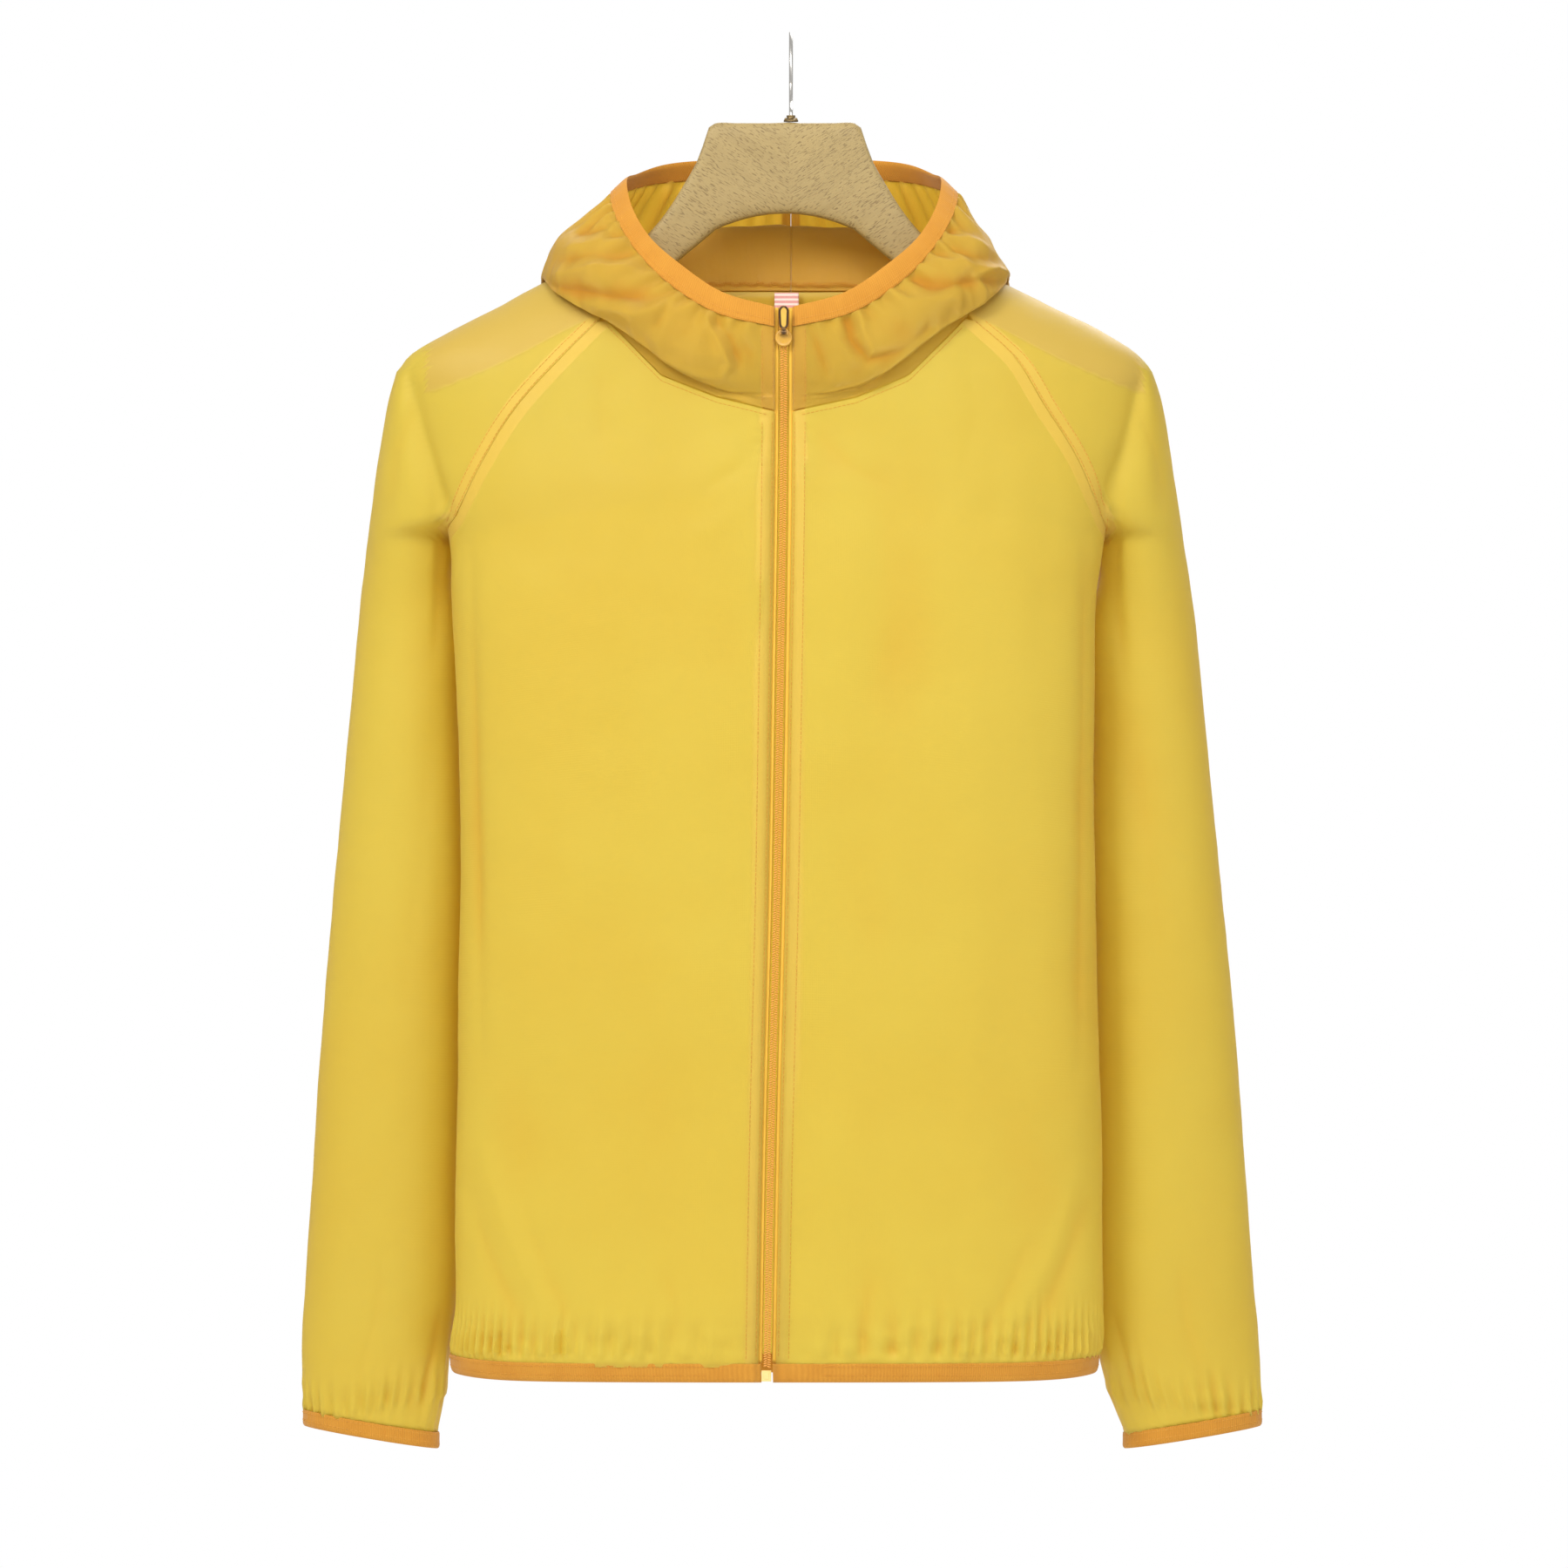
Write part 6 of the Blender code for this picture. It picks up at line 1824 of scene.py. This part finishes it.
@dataclass
class ZipFastener:
    """The front zip: tapes, coil, slider, pull and bottom stop."""

    form: JacketForm
    tape_reach: float = 0.0122
    chain_half: float = 0.0024
    top: float = 0.1590
    chain_end: float = 0.7635
    slider_drop: float = 0.1765
    pitch: float = 0.00135
    pull_length: float = 0.0148
    pull_half_width: float = 0.0030

    def tape(self, shop: PieceShop, side: Side) -> bpy.types.Object:
        """Woven tape behind one front."""
        form = self.form
        bottom = form.hem - 0.0003

        def place(across: float, down: float) -> Vector:
            drop = mix(self.top, bottom, down)
            reach = mix(self.chain_half + 0.0003, self.tape_reach, across)
            return Vector((form.zip_x(drop) + side.value * reach,
                           form.opening_y(drop) + 0.0021 - 0.0003 * (1.0 - across), -drop))

        return Sheet(
            name=f"zip_tape_cloth_{side.word}", node=f"zip_tape_{side.word}",
            finish=Finish.TAPE, columns=8, rows=260, place=place, flat=(0.0100, 0.601),
            area=0.0057,
            outward=forward, thickness=0.0005,
            slot="zip_tape", rests_on=(f"front_{side.word}",), held="stretched").build(shop)

    def coil(self, shop: PieceShop) -> bpy.types.Object:
        """Meshed turns of the coil, which part above the slider."""
        form = self.form
        mesh = bmesh.new()
        tooth = bmesh.new()
        ellipsoid(tooth, Vector(), (0.00135, 0.00085, 0.00056))
        matrices = []
        steps = int((self.chain_end - self.top) / self.pitch)
        for step in range(steps):
            for side in Side:
                drop = self.top + (step + (0.5 if side is Side.RIGHT else 0.0)) * self.pitch
                apart = 0.0007 * ease((self.slider_drop - drop) / 0.008)
                middle = Vector((form.zip_x(drop) + side.value * (0.00105 + apart),
                                 form.opening_y(drop) + 0.0006, -drop))
                lean = Matrix.Rotation(side.value * 0.30, 4, "Y")
                matrices.append(Matrix.Translation(middle) @ lean)
        repeat(mesh, tooth, matrices)
        tooth.free()
        return shop.add("zip_coil", mesh, Finish.COIL, "zip_chain", "zip_chain")

    def slider(self, shop: PieceShop) -> bpy.types.Object:
        """Slider: a rounded disc with a rim, side wings, two lugs and the pull's pin."""
        middle, pin = self.frame()
        mesh = bmesh.new()
        front = middle.y - 0.0030
        outline = ((0.0, 0.00025), (0.0018, 0.0001), (0.0030, 0.0003), (0.0037, 0.0002),
                   (0.0044, 0.0), (0.0049, 0.0005), (0.0050, 0.0010), (0.0047, 0.0018),
                   (0.0038, 0.0021), (0.0, 0.0021))
        row = [mesh.verts.new((middle.x + r, front + y, middle.z)) for r, y in outline]
        edges = [mesh.edges.new(pair) for pair in zip(row, row[1:])]
        bmesh.ops.spin(mesh, geom=row + edges, cent=middle, axis=(0.0, 1.0, 0.0),
                       angle=2.0 * math.pi, steps=40, use_merge=True)
        bmesh.ops.remove_doubles(mesh, verts=mesh.verts[:], dist=0.000005)
        for side in Side:
            ends = sorted((side.value * 0.0030, side.value * 0.0041))
            block(mesh, (middle.x + ends[0], front + 0.0018, middle.z - 0.0030),
                  (middle.x + ends[1], middle.y + 0.0011, middle.z + 0.0030))
            ends = sorted((side.value * 0.0016, side.value * 0.0025))
            block(mesh, (middle.x + ends[0], pin.y - 0.0009, pin.z - 0.0015),
                  (middle.x + ends[1], front + 0.0006, pin.z + 0.0012))
        pin_path = [pin + Vector((x, 0.0, 0.0)) for x in (-0.0024, 0.0, 0.0024)]
        tube(mesh, pin_path, 0.00050, 12)
        bmesh.ops.recalc_face_normals(mesh, faces=mesh.faces[:])
        item = shop.add("slider", mesh, Finish.SLIDER, "zip_slider", "zip_slider", smooth=35.0)
        shop.rounded(item, 0.00022, 2)
        return item

    def frame(self) -> tuple[Vector, Vector]:
        """Middle of the slider on the outer surface, and the pull's pin."""
        drop = self.slider_drop
        middle = Vector((self.form.zip_x(drop), self.form.opening_y(drop), -drop))
        return middle, middle + Vector((0.0, -0.0050, 0.0032))

    def pull(self, shop: PieceShop) -> list[bpy.types.Object]:
        """Pull tab: a loop round an amber plate, on an eye; the loop's near-black is the
        pull's edge plus a painted shadow.
        """
        _middle, pin = self.frame()
        wire = bmesh.new()
        half = self.pull_half_width - 0.0007
        low, high = 0.0046, self.pull_length - self.pull_half_width - 0.0001
        path = []
        for step in range(17):
            angle = math.pi * step / 16
            path.append(pin + Vector((half * math.cos(angle), 0.0,
                                      high + (half + 0.0004) * math.sin(angle))))
        for step in range(9):
            angle = math.pi + math.pi * step / 8
            path.append(pin + Vector((half * math.cos(angle) * 0.85, 0.0,
                                      low + 0.0022 * math.sin(angle))))
        tube(wire, path, 0.00066, 12, closed=True)
        eye = [pin + Vector((x, 0.0, 0.0)) for x in (-0.0012, -0.0004, 0.0004, 0.0012)]
        self.eye(wire, eye)
        # The loop's near-black finish paints the shadow round the pull's edge.
        ring = shop.add("pull_wire", wire, Finish.WIRE, "zip_pull", "zip_pull", PULL, 60.0)
        plate = bmesh.new()
        rim = []
        for step in range(32):
            angle = 2.0 * math.pi * step / 32
            middle_z = high if math.sin(angle) > 0 else low
            rim.append(plate.verts.new(pin + Vector((
                (half - 0.0002) * math.cos(angle), -0.00030,
                middle_z + half * (0.98 if math.sin(angle) > 0 else 0.80)
                * math.sin(angle)))))
        face = plate.faces.new(rim)
        made = bmesh.ops.extrude_face_region(plate, geom=[face])
        for vertex in [v for v in made["geom"] if isinstance(v, bmesh.types.BMVert)]:
            vertex.co.y += 0.00060
        bmesh.ops.recalc_face_normals(plate, faces=plate.faces[:])
        inlay = shop.add("pull_inlay", plate, Finish.INLAY, "zip_pull", "zip_pull", PULL, 40.0)
        shop.rounded(inlay, 0.00012, 2)
        return [ring, inlay]

    @staticmethod
    def eye(mesh: bmesh.types.BMesh, path: Sequence[Vector]) -> None:
        """Add the barrel round the pin, joined to the loop by a short neck."""
        def barrel(radius: float) -> list[list[bmesh.types.BMVert]]:
            angles = np.linspace(0.0, 2.0 * math.pi, 16, endpoint=False)
            return [[mesh.verts.new(point + radius * Vector((0.0, math.cos(a), math.sin(a))))
                     for a in angles] for point in path]

        outer = barrel(0.00142)
        loops = [*outer, *reversed(barrel(0.00085))]
        bridge(mesh, [*loops, loops[0]])
        middle = (path[0] + path[-1]) / 2
        block(mesh, middle + Vector((-0.0010, -0.00055, 0.0010)),
              middle + Vector((0.0010, 0.00055, 0.0026)))
        bmesh.ops.recalc_face_normals(mesh, faces=mesh.faces[:])

    def stop(self, shop: PieceShop) -> bpy.types.Object:
        """Moulded block at the lower end of the zip."""
        drop = self.chain_end + 0.0003
        x = self.form.zip_x(drop) - 0.0004
        y = self.form.opening_y(drop)
        mesh = bmesh.new()
        block(mesh, (x - 0.0028, y - 0.0010, -drop - 0.0062), (x + 0.0028, y + 0.0016, -drop))
        block(mesh, (x - 0.0014, y - 0.0013, -drop - 0.0050),
              (x + 0.0014, y - 0.0008, -drop - 0.0010))
        item = shop.add("bottom_stop", mesh, Finish.STOP, "zip_bottom_stop", "zip_stop",
                        smooth=35.0)
        shop.rounded(item, 0.00035, 3)
        return item

    def build(self, shop: PieceShop) -> list[bpy.types.Object]:
        """Make the whole zip."""
        return [*(self.tape(shop, side) for side in Side), self.coil(shop),
                self.slider(shop), *self.pull(shop), self.stop(shop)]


@dataclass
class NeckLabel:
    """Small striped label inside the back neck."""

    form: JacketForm
    width: float = 0.0140
    length: float = 0.0140
    x: float = -0.0025

    def build(self, shop: PieceShop) -> bpy.types.Object:
        """Make the label, which curls a little at its lower edge."""
        form = self.form
        y = form.trunk_point(180.0, form.back_neck).y - 0.0024
        top = -form.back_neck - 0.0004

        def place(across: float, down: float) -> Vector:
            curl = 0.0004 * math.sin(across * math.pi) * down
            return Vector((self.x + self.width * (across - 0.5), y - 0.0004 - curl,
                           top - self.length * down))

        return Sheet(
            name="label_cloth", node="neck_label", finish=Finish.LABEL, columns=16, rows=16,
            place=place, flat=(self.width, self.length), area=self.width * self.length,
            outward=forward, thickness=0.0004,
            slot="label", rests_on=("back",)).build(shop)


# -------------------------------------------------------------------------------- hanger
@dataclass
class WoodenHanger:
    """Two-part wooden hanger with its wire hook and ferrule."""

    joint_x: float = -0.0010
    middle_x: float = WOOD_MIDDLE
    top: float = 0.0503
    arch: float = 0.1025
    sides: int = 40
    hook_radius: float = 0.0210
    wire: float = 0.0011

    def ring(self, x: float, row: HangerRow, keep: float = 1.0) -> list[Vector]:
        """Rounded upright section of the wood."""
        middle = (row.top + row.bottom) / 2
        half_height = (row.bottom - row.top) / 2 * keep
        ring = []
        for step in range(self.sides):
            angle = 2.0 * math.pi * (step + 0.5) / self.sides
            y = row.half_depth * keep * signed_power(math.cos(angle), 0.45)
            z = half_height * signed_power(math.sin(angle), 0.36)
            ring.append(Vector((x, y, -middle + z)))
        return ring

    def half(self, shop: PieceShop, side: Side) -> bpy.types.Object:
        """One half of the wood, with a rounded tip."""
        curve = WOOD_CURVE
        start = HANGER[0]
        rings = []
        for reach in (0.0, 0.0080, 0.0160, 0.0225, 0.0290, 0.0340, 0.0375):
            bottom = mix(self.arch, start.bottom, (reach / start.reach) ** 2)
            lift = 0.0 if reach < 0.0300 else 0.0003
            row = HangerRow(reach, self.top + (0.0004 if reach else 0.0) - lift, bottom,
                            0.0065)
            x = self.joint_x if reach == 0.0 else (
                self.middle_x + side.value * reach)
            rings.append(self.ring(x, row))
        for reach in np.linspace(start.reach, HANGER[-1].reach - 0.0015, 46):
            row = HangerRow(float(reach), *curve(float(reach)))
            rings.append(self.ring(self.middle_x + side.value * row.reach, row))
        tip = HangerRow(0.0, *curve(HANGER[-1].reach))
        for reach, keep in ((0.0008, 0.93), (0.0, 0.80)):
            rings.append(self.ring(self.middle_x + side.value * (HANGER[-1].reach - reach),
                                   tip, keep))
        mesh = bmesh.new()
        loops = [[mesh.verts.new(point) for point in ring] for ring in rings]
        bridge(mesh, loops)
        mesh.faces.new(loops[0])
        mesh.faces.new(loops[-1])
        bmesh.ops.recalc_face_normals(mesh, faces=mesh.faces[:])
        finish = Finish.WOOD_LEFT if side is Side.LEFT else Finish.WOOD_RIGHT
        return shop.add(f"wood_{side.word}", mesh, finish, f"hanger_{side.word}", "wood",
                        smooth=40.0)

    def hook(self, shop: PieceShop) -> bpy.types.Object:
        """Bent wire, which turns over in the upright plane across the hanger."""
        radius = self.hook_radius + self.wire
        path = [Vector((0.0, 0.0, -0.0499))]
        for step in range(9):
            share = step / 10
            path.append(Vector((0.0, 0.0130 * share ** 2, -0.0457 + 0.0069 * share)))
        for degrees in range(-54, 206, 5):
            angle = math.radians(degrees)
            path.append(Vector((0.0, radius * math.cos(angle),
                                -self.hook_radius + radius * math.sin(angle))))
        mesh = bmesh.new()
        tube(mesh, path, self.wire, 20)
        item = shop.add("hook_wire", mesh, Finish.STEEL, "hanger_hook", "hook", smooth=45.0)
        shop.rounded(item, 0.0003, 2)
        return item

    def ferrule(self, shop: PieceShop) -> bpy.types.Object:
        """Dark brass ferrule: a turned collar with two small prongs on its flange."""
        outline = ((0.00125, -0.0499), (0.0042, -0.0499), (0.0042, -0.0489),
                   (0.0034, -0.0484), (0.0026, -0.0480), (0.0024, -0.0474),
                   (0.0026, -0.0468), (0.0025, -0.0463), (0.00125, -0.0462))
        mesh = bmesh.new()
        row = [mesh.verts.new((x, 0.0, z)) for x, z in outline]
        edges = [mesh.edges.new((row[i], row[(i + 1) % len(row)])) for i in range(len(row))]
        bmesh.ops.spin(mesh, geom=row + edges, cent=(0.0, 0.0, 0.0), axis=(0.0, 0.0, 1.0),
                       angle=2.0 * math.pi, steps=40, use_merge=True)
        bmesh.ops.remove_doubles(mesh, verts=mesh.verts[:], dist=0.00001)
        for side in Side:
            ellipsoid(mesh, Vector((side.value * 0.0030, -0.0016, -0.0486)),
                      (0.0008, 0.0008, 0.0009), rings=(12, 8))
        bmesh.ops.recalc_face_normals(mesh, faces=mesh.faces[:])
        return shop.add("ferrule", mesh, Finish.BRASS, "hanger_ferrule", "ferrule",
                        smooth=40.0)

    def build(self, shop: PieceShop) -> list[bpy.types.Object]:
        """Make the hanger."""
        return [*(self.half(shop, side) for side in Side), self.hook(shop),
                self.ferrule(shop)]


# ------------------------------------------------------------------------------ stitching
@dataclass
class Stitching:
    """Rows of thread along the seams, laid on the cloth pieces that are there."""

    form: JacketForm
    arms: SleeveForm
    pitch: float = 0.0026
    length: float = 0.0019
    width: float = 0.00030
    lift: float = 0.00012

    @staticmethod
    def bar() -> bmesh.types.BMesh:
        """Shape of one stitch: a bar of unit size, narrower on its outer side."""
        mesh = bmesh.new()
        bmesh.ops.create_cube(mesh, size=1.0)
        for vertex in mesh.verts:
            if vertex.co.z > 0.0:
                vertex.co.x *= 0.80
                vertex.co.y *= 0.60
        return mesh

    def stitch(self, start: Vector, end: Vector, outward: Vector) -> Optional[Matrix]:
        """Where one stitch goes, or None if it has no length."""
        ahead = end - start
        length = ahead.length
        if length < 1e-6:
            return None
        ahead.normalize()
        side = ahead.cross(outward).normalized()
        up = side.cross(ahead).normalized()
        turn = Matrix((ahead, side, up)).transposed().to_4x4()
        size = Matrix.Diagonal((length, self.width, self.width, 1.0))
        middle = (start + end) / 2 + up * self.lift
        return Matrix.Translation(middle) @ turn @ size

    def run(self, path: Sequence[Vector],
            outward: Callable[[Vector], Vector]) -> list[Matrix]:
        """Where the stitches along a path of points go."""
        steps = distances(path)

        def at(distance: float) -> Vector:
            i = min(max(bisect.bisect_right(steps, distance) - 1, 0), len(path) - 2)
            span = max(steps[i + 1] - steps[i], 1e-9)
            return path[i].lerp(path[i + 1], (distance - steps[i]) / span)

        starts = [number * self.pitch for number in range(int(steps[-1] / self.pitch))]
        made = [self.stitch(at(start), at(start + self.length), outward(at(start)))
                for start in starts]
        return [matrix for matrix in made if matrix is not None]

    @staticmethod
    def on_cloth(pieces: Sequence[bpy.types.Object]) -> Callable[[Vector], Vector]:
        """A function that drops a point onto the nearest of some finished pieces."""
        trees = []
        for piece in pieces:
            tree = kdtree.KDTree(len(piece.data.vertices))
            for vertex in piece.data.vertices:
                tree.insert(vertex.co, vertex.index)
            tree.balance()
            trees.append((tree, piece))

        def drop(point: Vector) -> Vector:
            best = None
            for tree, piece in trees:
                found = tree.find(point)
                if best is None or found[2] < best[2]:
                    best = (*found, piece)
            if best is None or best[2] > 0.012:
                return point
            vertex = best[3].data.vertices[best[1]]
            normal = vertex.normal
            return point + normal * (best[0] - point).dot(normal)

        return drop

    def lay(self, shop: PieceShop, name: str, node: str, paths: Sequence[Sequence[Vector]],
            cloth: Sequence[bpy.types.Object],
            outward: Callable[[Vector], Vector] = away_from_middle) -> bpy.types.Object:
        """Make one piece of the stitches along some paths on the cloth."""
        drop = self.on_cloth(cloth)
        mesh = bmesh.new()
        bar = self.bar()
        for path in paths:
            repeat(mesh, bar, self.run([drop(point) for point in path], outward))
        bar.free()
        return shop.add(name, mesh, Finish.THREAD, node, replaces=False, smooth=30.0)

    def raglan_paths(self, side: Side, on_back: bool) -> list[list[Vector]]:
        """Two rows beside the sleeve seam, on the side of the sleeve."""
        form = self.form
        top = form.back_neck if on_back else form.raglan_top
        paths = []
        for beside in RAGLAN_STITCHES:
            path = []
            for drop in np.linspace(top + 0.002, form.armpit - 0.004, 70):
                drop = float(drop)
                turn = form.raglan_turn(drop, side, on_back)
                sign = side.value * (-1 if on_back else 1)
                turn = form.beside(turn, drop, sign, beside)
                path.append(form.trunk_point(turn, drop))
            paths.append(path)
        return paths

    def neck_paths(self, side: Side, turns: Sequence[float],
                   below: float) -> list[Vector]:
        """A row under the front neck seam."""
        form = self.form
        path = []
        for turn in turns:
            left, right, drop = form.neck_row(float(turn))
            drop += below
            x = left if side is Side.LEFT else right
            path.append(form.trunk_point(form.trunk_turn(x, drop, turn > 90.0), drop))
        return path

    def placket_paths(self, top: float, bottom: float) -> list[list[Vector]]:
        """Two rows on each side of the zip."""
        form = self.form
        return [[Vector((form.zip_x(drop) + side.value * offset, form.opening_y(drop), -drop))
                 for drop in map(float, np.linspace(top, bottom, 240))]
                for offset in ZIP_STITCHES for side in Side]

    def hood_middle_paths(self) -> list[list[Vector]]:
        """Two rows down the middle of the hood, from the face opening to the neck."""
        profile = self.form.hood_profile(180.0, Side.RIGHT)
        points = [Vector(profile(float(at))) for at in np.linspace(3.93, 0.4, 120)]
        return [[point + Vector((shift, 0.0, 0.0)) for point in points]
                for shift in HOOD_SEAM_STITCHES]

    def rim_path(self, shift: float) -> list[Vector]:
        """A row along the face binding."""
        form = self.form
        turns = np.linspace(1.5, 178.5, 160)
        left = [form.rim_point(float(t), Side.LEFT, shift, 0.0013) for t in turns]
        right = [form.rim_point(float(t), Side.RIGHT, shift, 0.0013) for t in turns]
        return left + list(reversed(right))

    def back_neck_zigzag(self) -> list[Vector]:
        """Overlocked edge across the inside of the back neck."""
        form = self.form
        path = []
        for step in range(181):
            x = -0.0510 + 0.0900 * step / 180
            turn = form.trunk_turn(x, form.back_neck, True)
            point = form.trunk_point(turn, form.back_neck)
            rise = 0.0022 if step % 2 else -0.0022
            path.append(Vector((x, point.y - 0.0040, point.z + 0.0035 + rise)))
        return path

    def build(self, shop: PieceShop, cloth: dict[str, bpy.types.Object]) -> None:
        """Lay every row of stitches that shows."""
        form = self.form
        for side in Side:
            sleeve = cloth[f"sleeve_cloth_{side.word}"]
            self.lay(shop, f"raglan_stitches_{side.word}", f"sleeve_{side.word}",
                     self.raglan_paths(side, False) + self.raglan_paths(side, True),
                     [sleeve])
            turns = np.linspace(3.0, 66.0, 90)
            self.lay(shop, f"neck_stitches_{side.word}", f"front_{side.word}",
                     [self.neck_paths(side, turns, 0.0030)],
                     [cloth[f"front_panel_{side.word}"]])
        fronts = [cloth["front_panel_left"], cloth["front_panel_right"]]
        self.lay(shop, "placket_stitches", "front_left",
                 self.placket_paths(form.neck + 0.006, form.hem - 0.002), fronts, forward)
        hoods = [cloth["hood_cloth_left"], cloth["hood_cloth_right"]]
        self.lay(shop, "hood_front_stitches", "hood_left",
                 self.placket_paths(0.1720, form.neck - 0.004), hoods, forward)
        self.lay(shop, "hood_middle_stitches", "hood_right", self.hood_middle_paths(), hoods)
        self.lay(shop, "binding_stitches", "hood_binding",
                 [self.rim_path(0.10), self.rim_path(0.32)], [cloth["face_elastic"]])
        hem_turns = np.linspace(2.0, 358.0, 700)
        hem_rows = [[form.trunk_point(float(t), form.hem_drop(float(t)) + HEM_BAND * share,
                                      BAND_PROUD) for t in hem_turns if 4.0 < t < 354.0]
                    for share in BAND_STITCHES]
        self.lay(shop, "hem_stitches", "hem_binding", hem_rows, [cloth["hem_elastic"]])
        for side in Side:
            rows = []
            for share in BAND_STITCHES:
                line = self.arms.line(form.sleeve_end, side, 64, BAND_PROUD)
                for point in line:
                    point.z -= CUFF_BAND * share
                rows.append(line)
            self.lay(shop, f"cuff_stitches_{side.word}", f"cuff_binding_{side.word}", rows,
                     [cloth[f"cuff_elastic_{side.word}"]])
        self.lay(shop, "back_neck_overlock", "back", [self.back_neck_zigzag()],
                 [cloth["back_panel"]], forward)


# --------------------------------------------------------------------------------- studio
@dataclass
class Studio:
    """Camera at the photograph's angle, soft lights and a pale floor."""

    distance: float = 6.0
    lens: float = 240.0
    middle: tuple[float, float, float] = (-0.004, 0.0, -0.430)

    def camera(self) -> None:
        """Long lens square to the front."""
        data = bpy.data.cameras.new("camera")
        data.sensor_width = 36.0
        data.lens = self.lens
        data.clip_end = 50.0
        data.dof.use_dof = False
        camera = bpy.data.objects.new("camera", data)
        camera.location = (self.middle[0], -self.distance, self.middle[2])
        camera.rotation_euler = (math.radians(90.0), 0.0, 0.0)
        bpy.context.scene.collection.objects.link(camera)
        bpy.context.scene.camera = camera

    @staticmethod
    def world() -> None:
        """White behind the jacket, softer where it only lights it."""
        world = bpy.data.worlds.new("studio")
        world.use_nodes = True
        tree = world.node_tree
        tree.nodes.clear()
        path = tree.nodes.new("ShaderNodeLightPath")
        seen = tree.nodes.new("ShaderNodeBackground")
        seen.inputs["Color"].default_value = (1.0, 1.0, 1.0, 1.0)
        seen.inputs["Strength"].default_value = 1.0
        light = tree.nodes.new("ShaderNodeBackground")
        light.inputs["Color"].default_value = (1.0, 1.0, 1.0, 1.0)
        light.inputs["Strength"].default_value = 0.66
        blend = tree.nodes.new("ShaderNodeMixShader")
        output = tree.nodes.new("ShaderNodeOutputWorld")
        tree.links.new(path.outputs["Is Camera Ray"], blend.inputs[0])
        tree.links.new(light.outputs[0], blend.inputs[1])
        tree.links.new(seen.outputs[0], blend.inputs[2])
        tree.links.new(blend.outputs[0], output.inputs["Surface"])
        bpy.context.scene.world = world

    def lamp(self, name: str, place: Sequence[float], size: float, power: float) -> None:
        """Soft square lamp that looks at the jacket's middle."""
        data = bpy.data.lights.new(name, "AREA")
        data.shape = "SQUARE"
        data.size = size
        data.energy = power
        item = bpy.data.objects.new(name, data)
        item.location = place
        look = Vector(self.middle) - Vector(place)
        item.rotation_euler = look.to_track_quat("-Z", "Y").to_euler()
        bpy.context.scene.collection.objects.link(item)
        item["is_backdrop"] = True

    def floor(self) -> None:
        """Pale floor far below."""
        mesh = bmesh.new()
        bmesh.ops.create_grid(mesh, x_segments=1, y_segments=1, size=1.6,
                              matrix=Matrix.Translation((0.0, 0.0, -1.25)))
        data = bpy.data.meshes.new("floor")
        mesh.to_mesh(data)
        mesh.free()
        data.materials.append(Finish.FLOOR.material)
        item = bpy.data.objects.new("floor", data)
        bpy.context.scene.collection.objects.link(item)
        item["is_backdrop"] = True

    def build(self) -> None:
        """Set the whole studio up."""
        self.camera()
        self.world()
        self.lamp("key", (-1.2, -1.7, 1.1), 0.8, 34.0)
        self.lamp("fill", (1.6, -1.8, 0.1), 1.6, 6.0)
        self.lamp("front", (0.3, -1.9, 0.7), 0.7, 11.0)
        self.lamp("top", (0.0, -0.80, 0.55), 0.4, 2.0)
        self.lamp("back", (0.4, 1.7, 1.2), 1.6, 36.0)
        self.floor()
        scene = bpy.context.scene
        scene.view_settings.view_transform = "Standard"
        scene.view_settings.look = "None"


# ----------------------------------------------------------------------------------- main
@dataclass
class RainJacket:
    """The whole jacket on its hanger."""

    form: JacketForm
    arms: SleeveForm

    def build(self, shop: PieceShop) -> None:
        """Make every piece, and the stitches on them last."""
        pieces = [
            *BodyPanels(self.form).build(shop),
            *Sleeves(self.form, self.arms).build(shop),
            *HoodCloth(self.form).build(shop),
            *Bindings(self.form, self.arms).build(shop),
            *ZipFastener(self.form).build(shop),
            NeckLabel(self.form).build(shop),
            *WoodenHanger().build(shop),
        ]
        named = {piece.name: piece for piece in pieces}
        Stitching(self.form, self.arms).build(shop, named)


def main(solid_box: Sequence[Vector]) -> None:
    """Build the scene and note the sizes of the solids and of the looks.

    Args:
        solid_box: the corners of the solids, measured before anything was added.
    """
    logging.basicConfig(level=logging.INFO, format="%(name)s: %(message)s")
    form = JacketForm()
    shop = PieceShop()
    RainJacket(form, SleeveForm(form)).build(shop)
    Studio().build()
    looks_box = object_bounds()
    sizes = {"solids": [list(corner) for corner in solid_box],
             "looks": [list(corner) for corner in looks_box]}
    LOG.info("%d pieces; solids %s, looks %s", shop.count, sizes["solids"], sizes["looks"])


if __name__ == "__main__":
    main(SOLID_BOX)
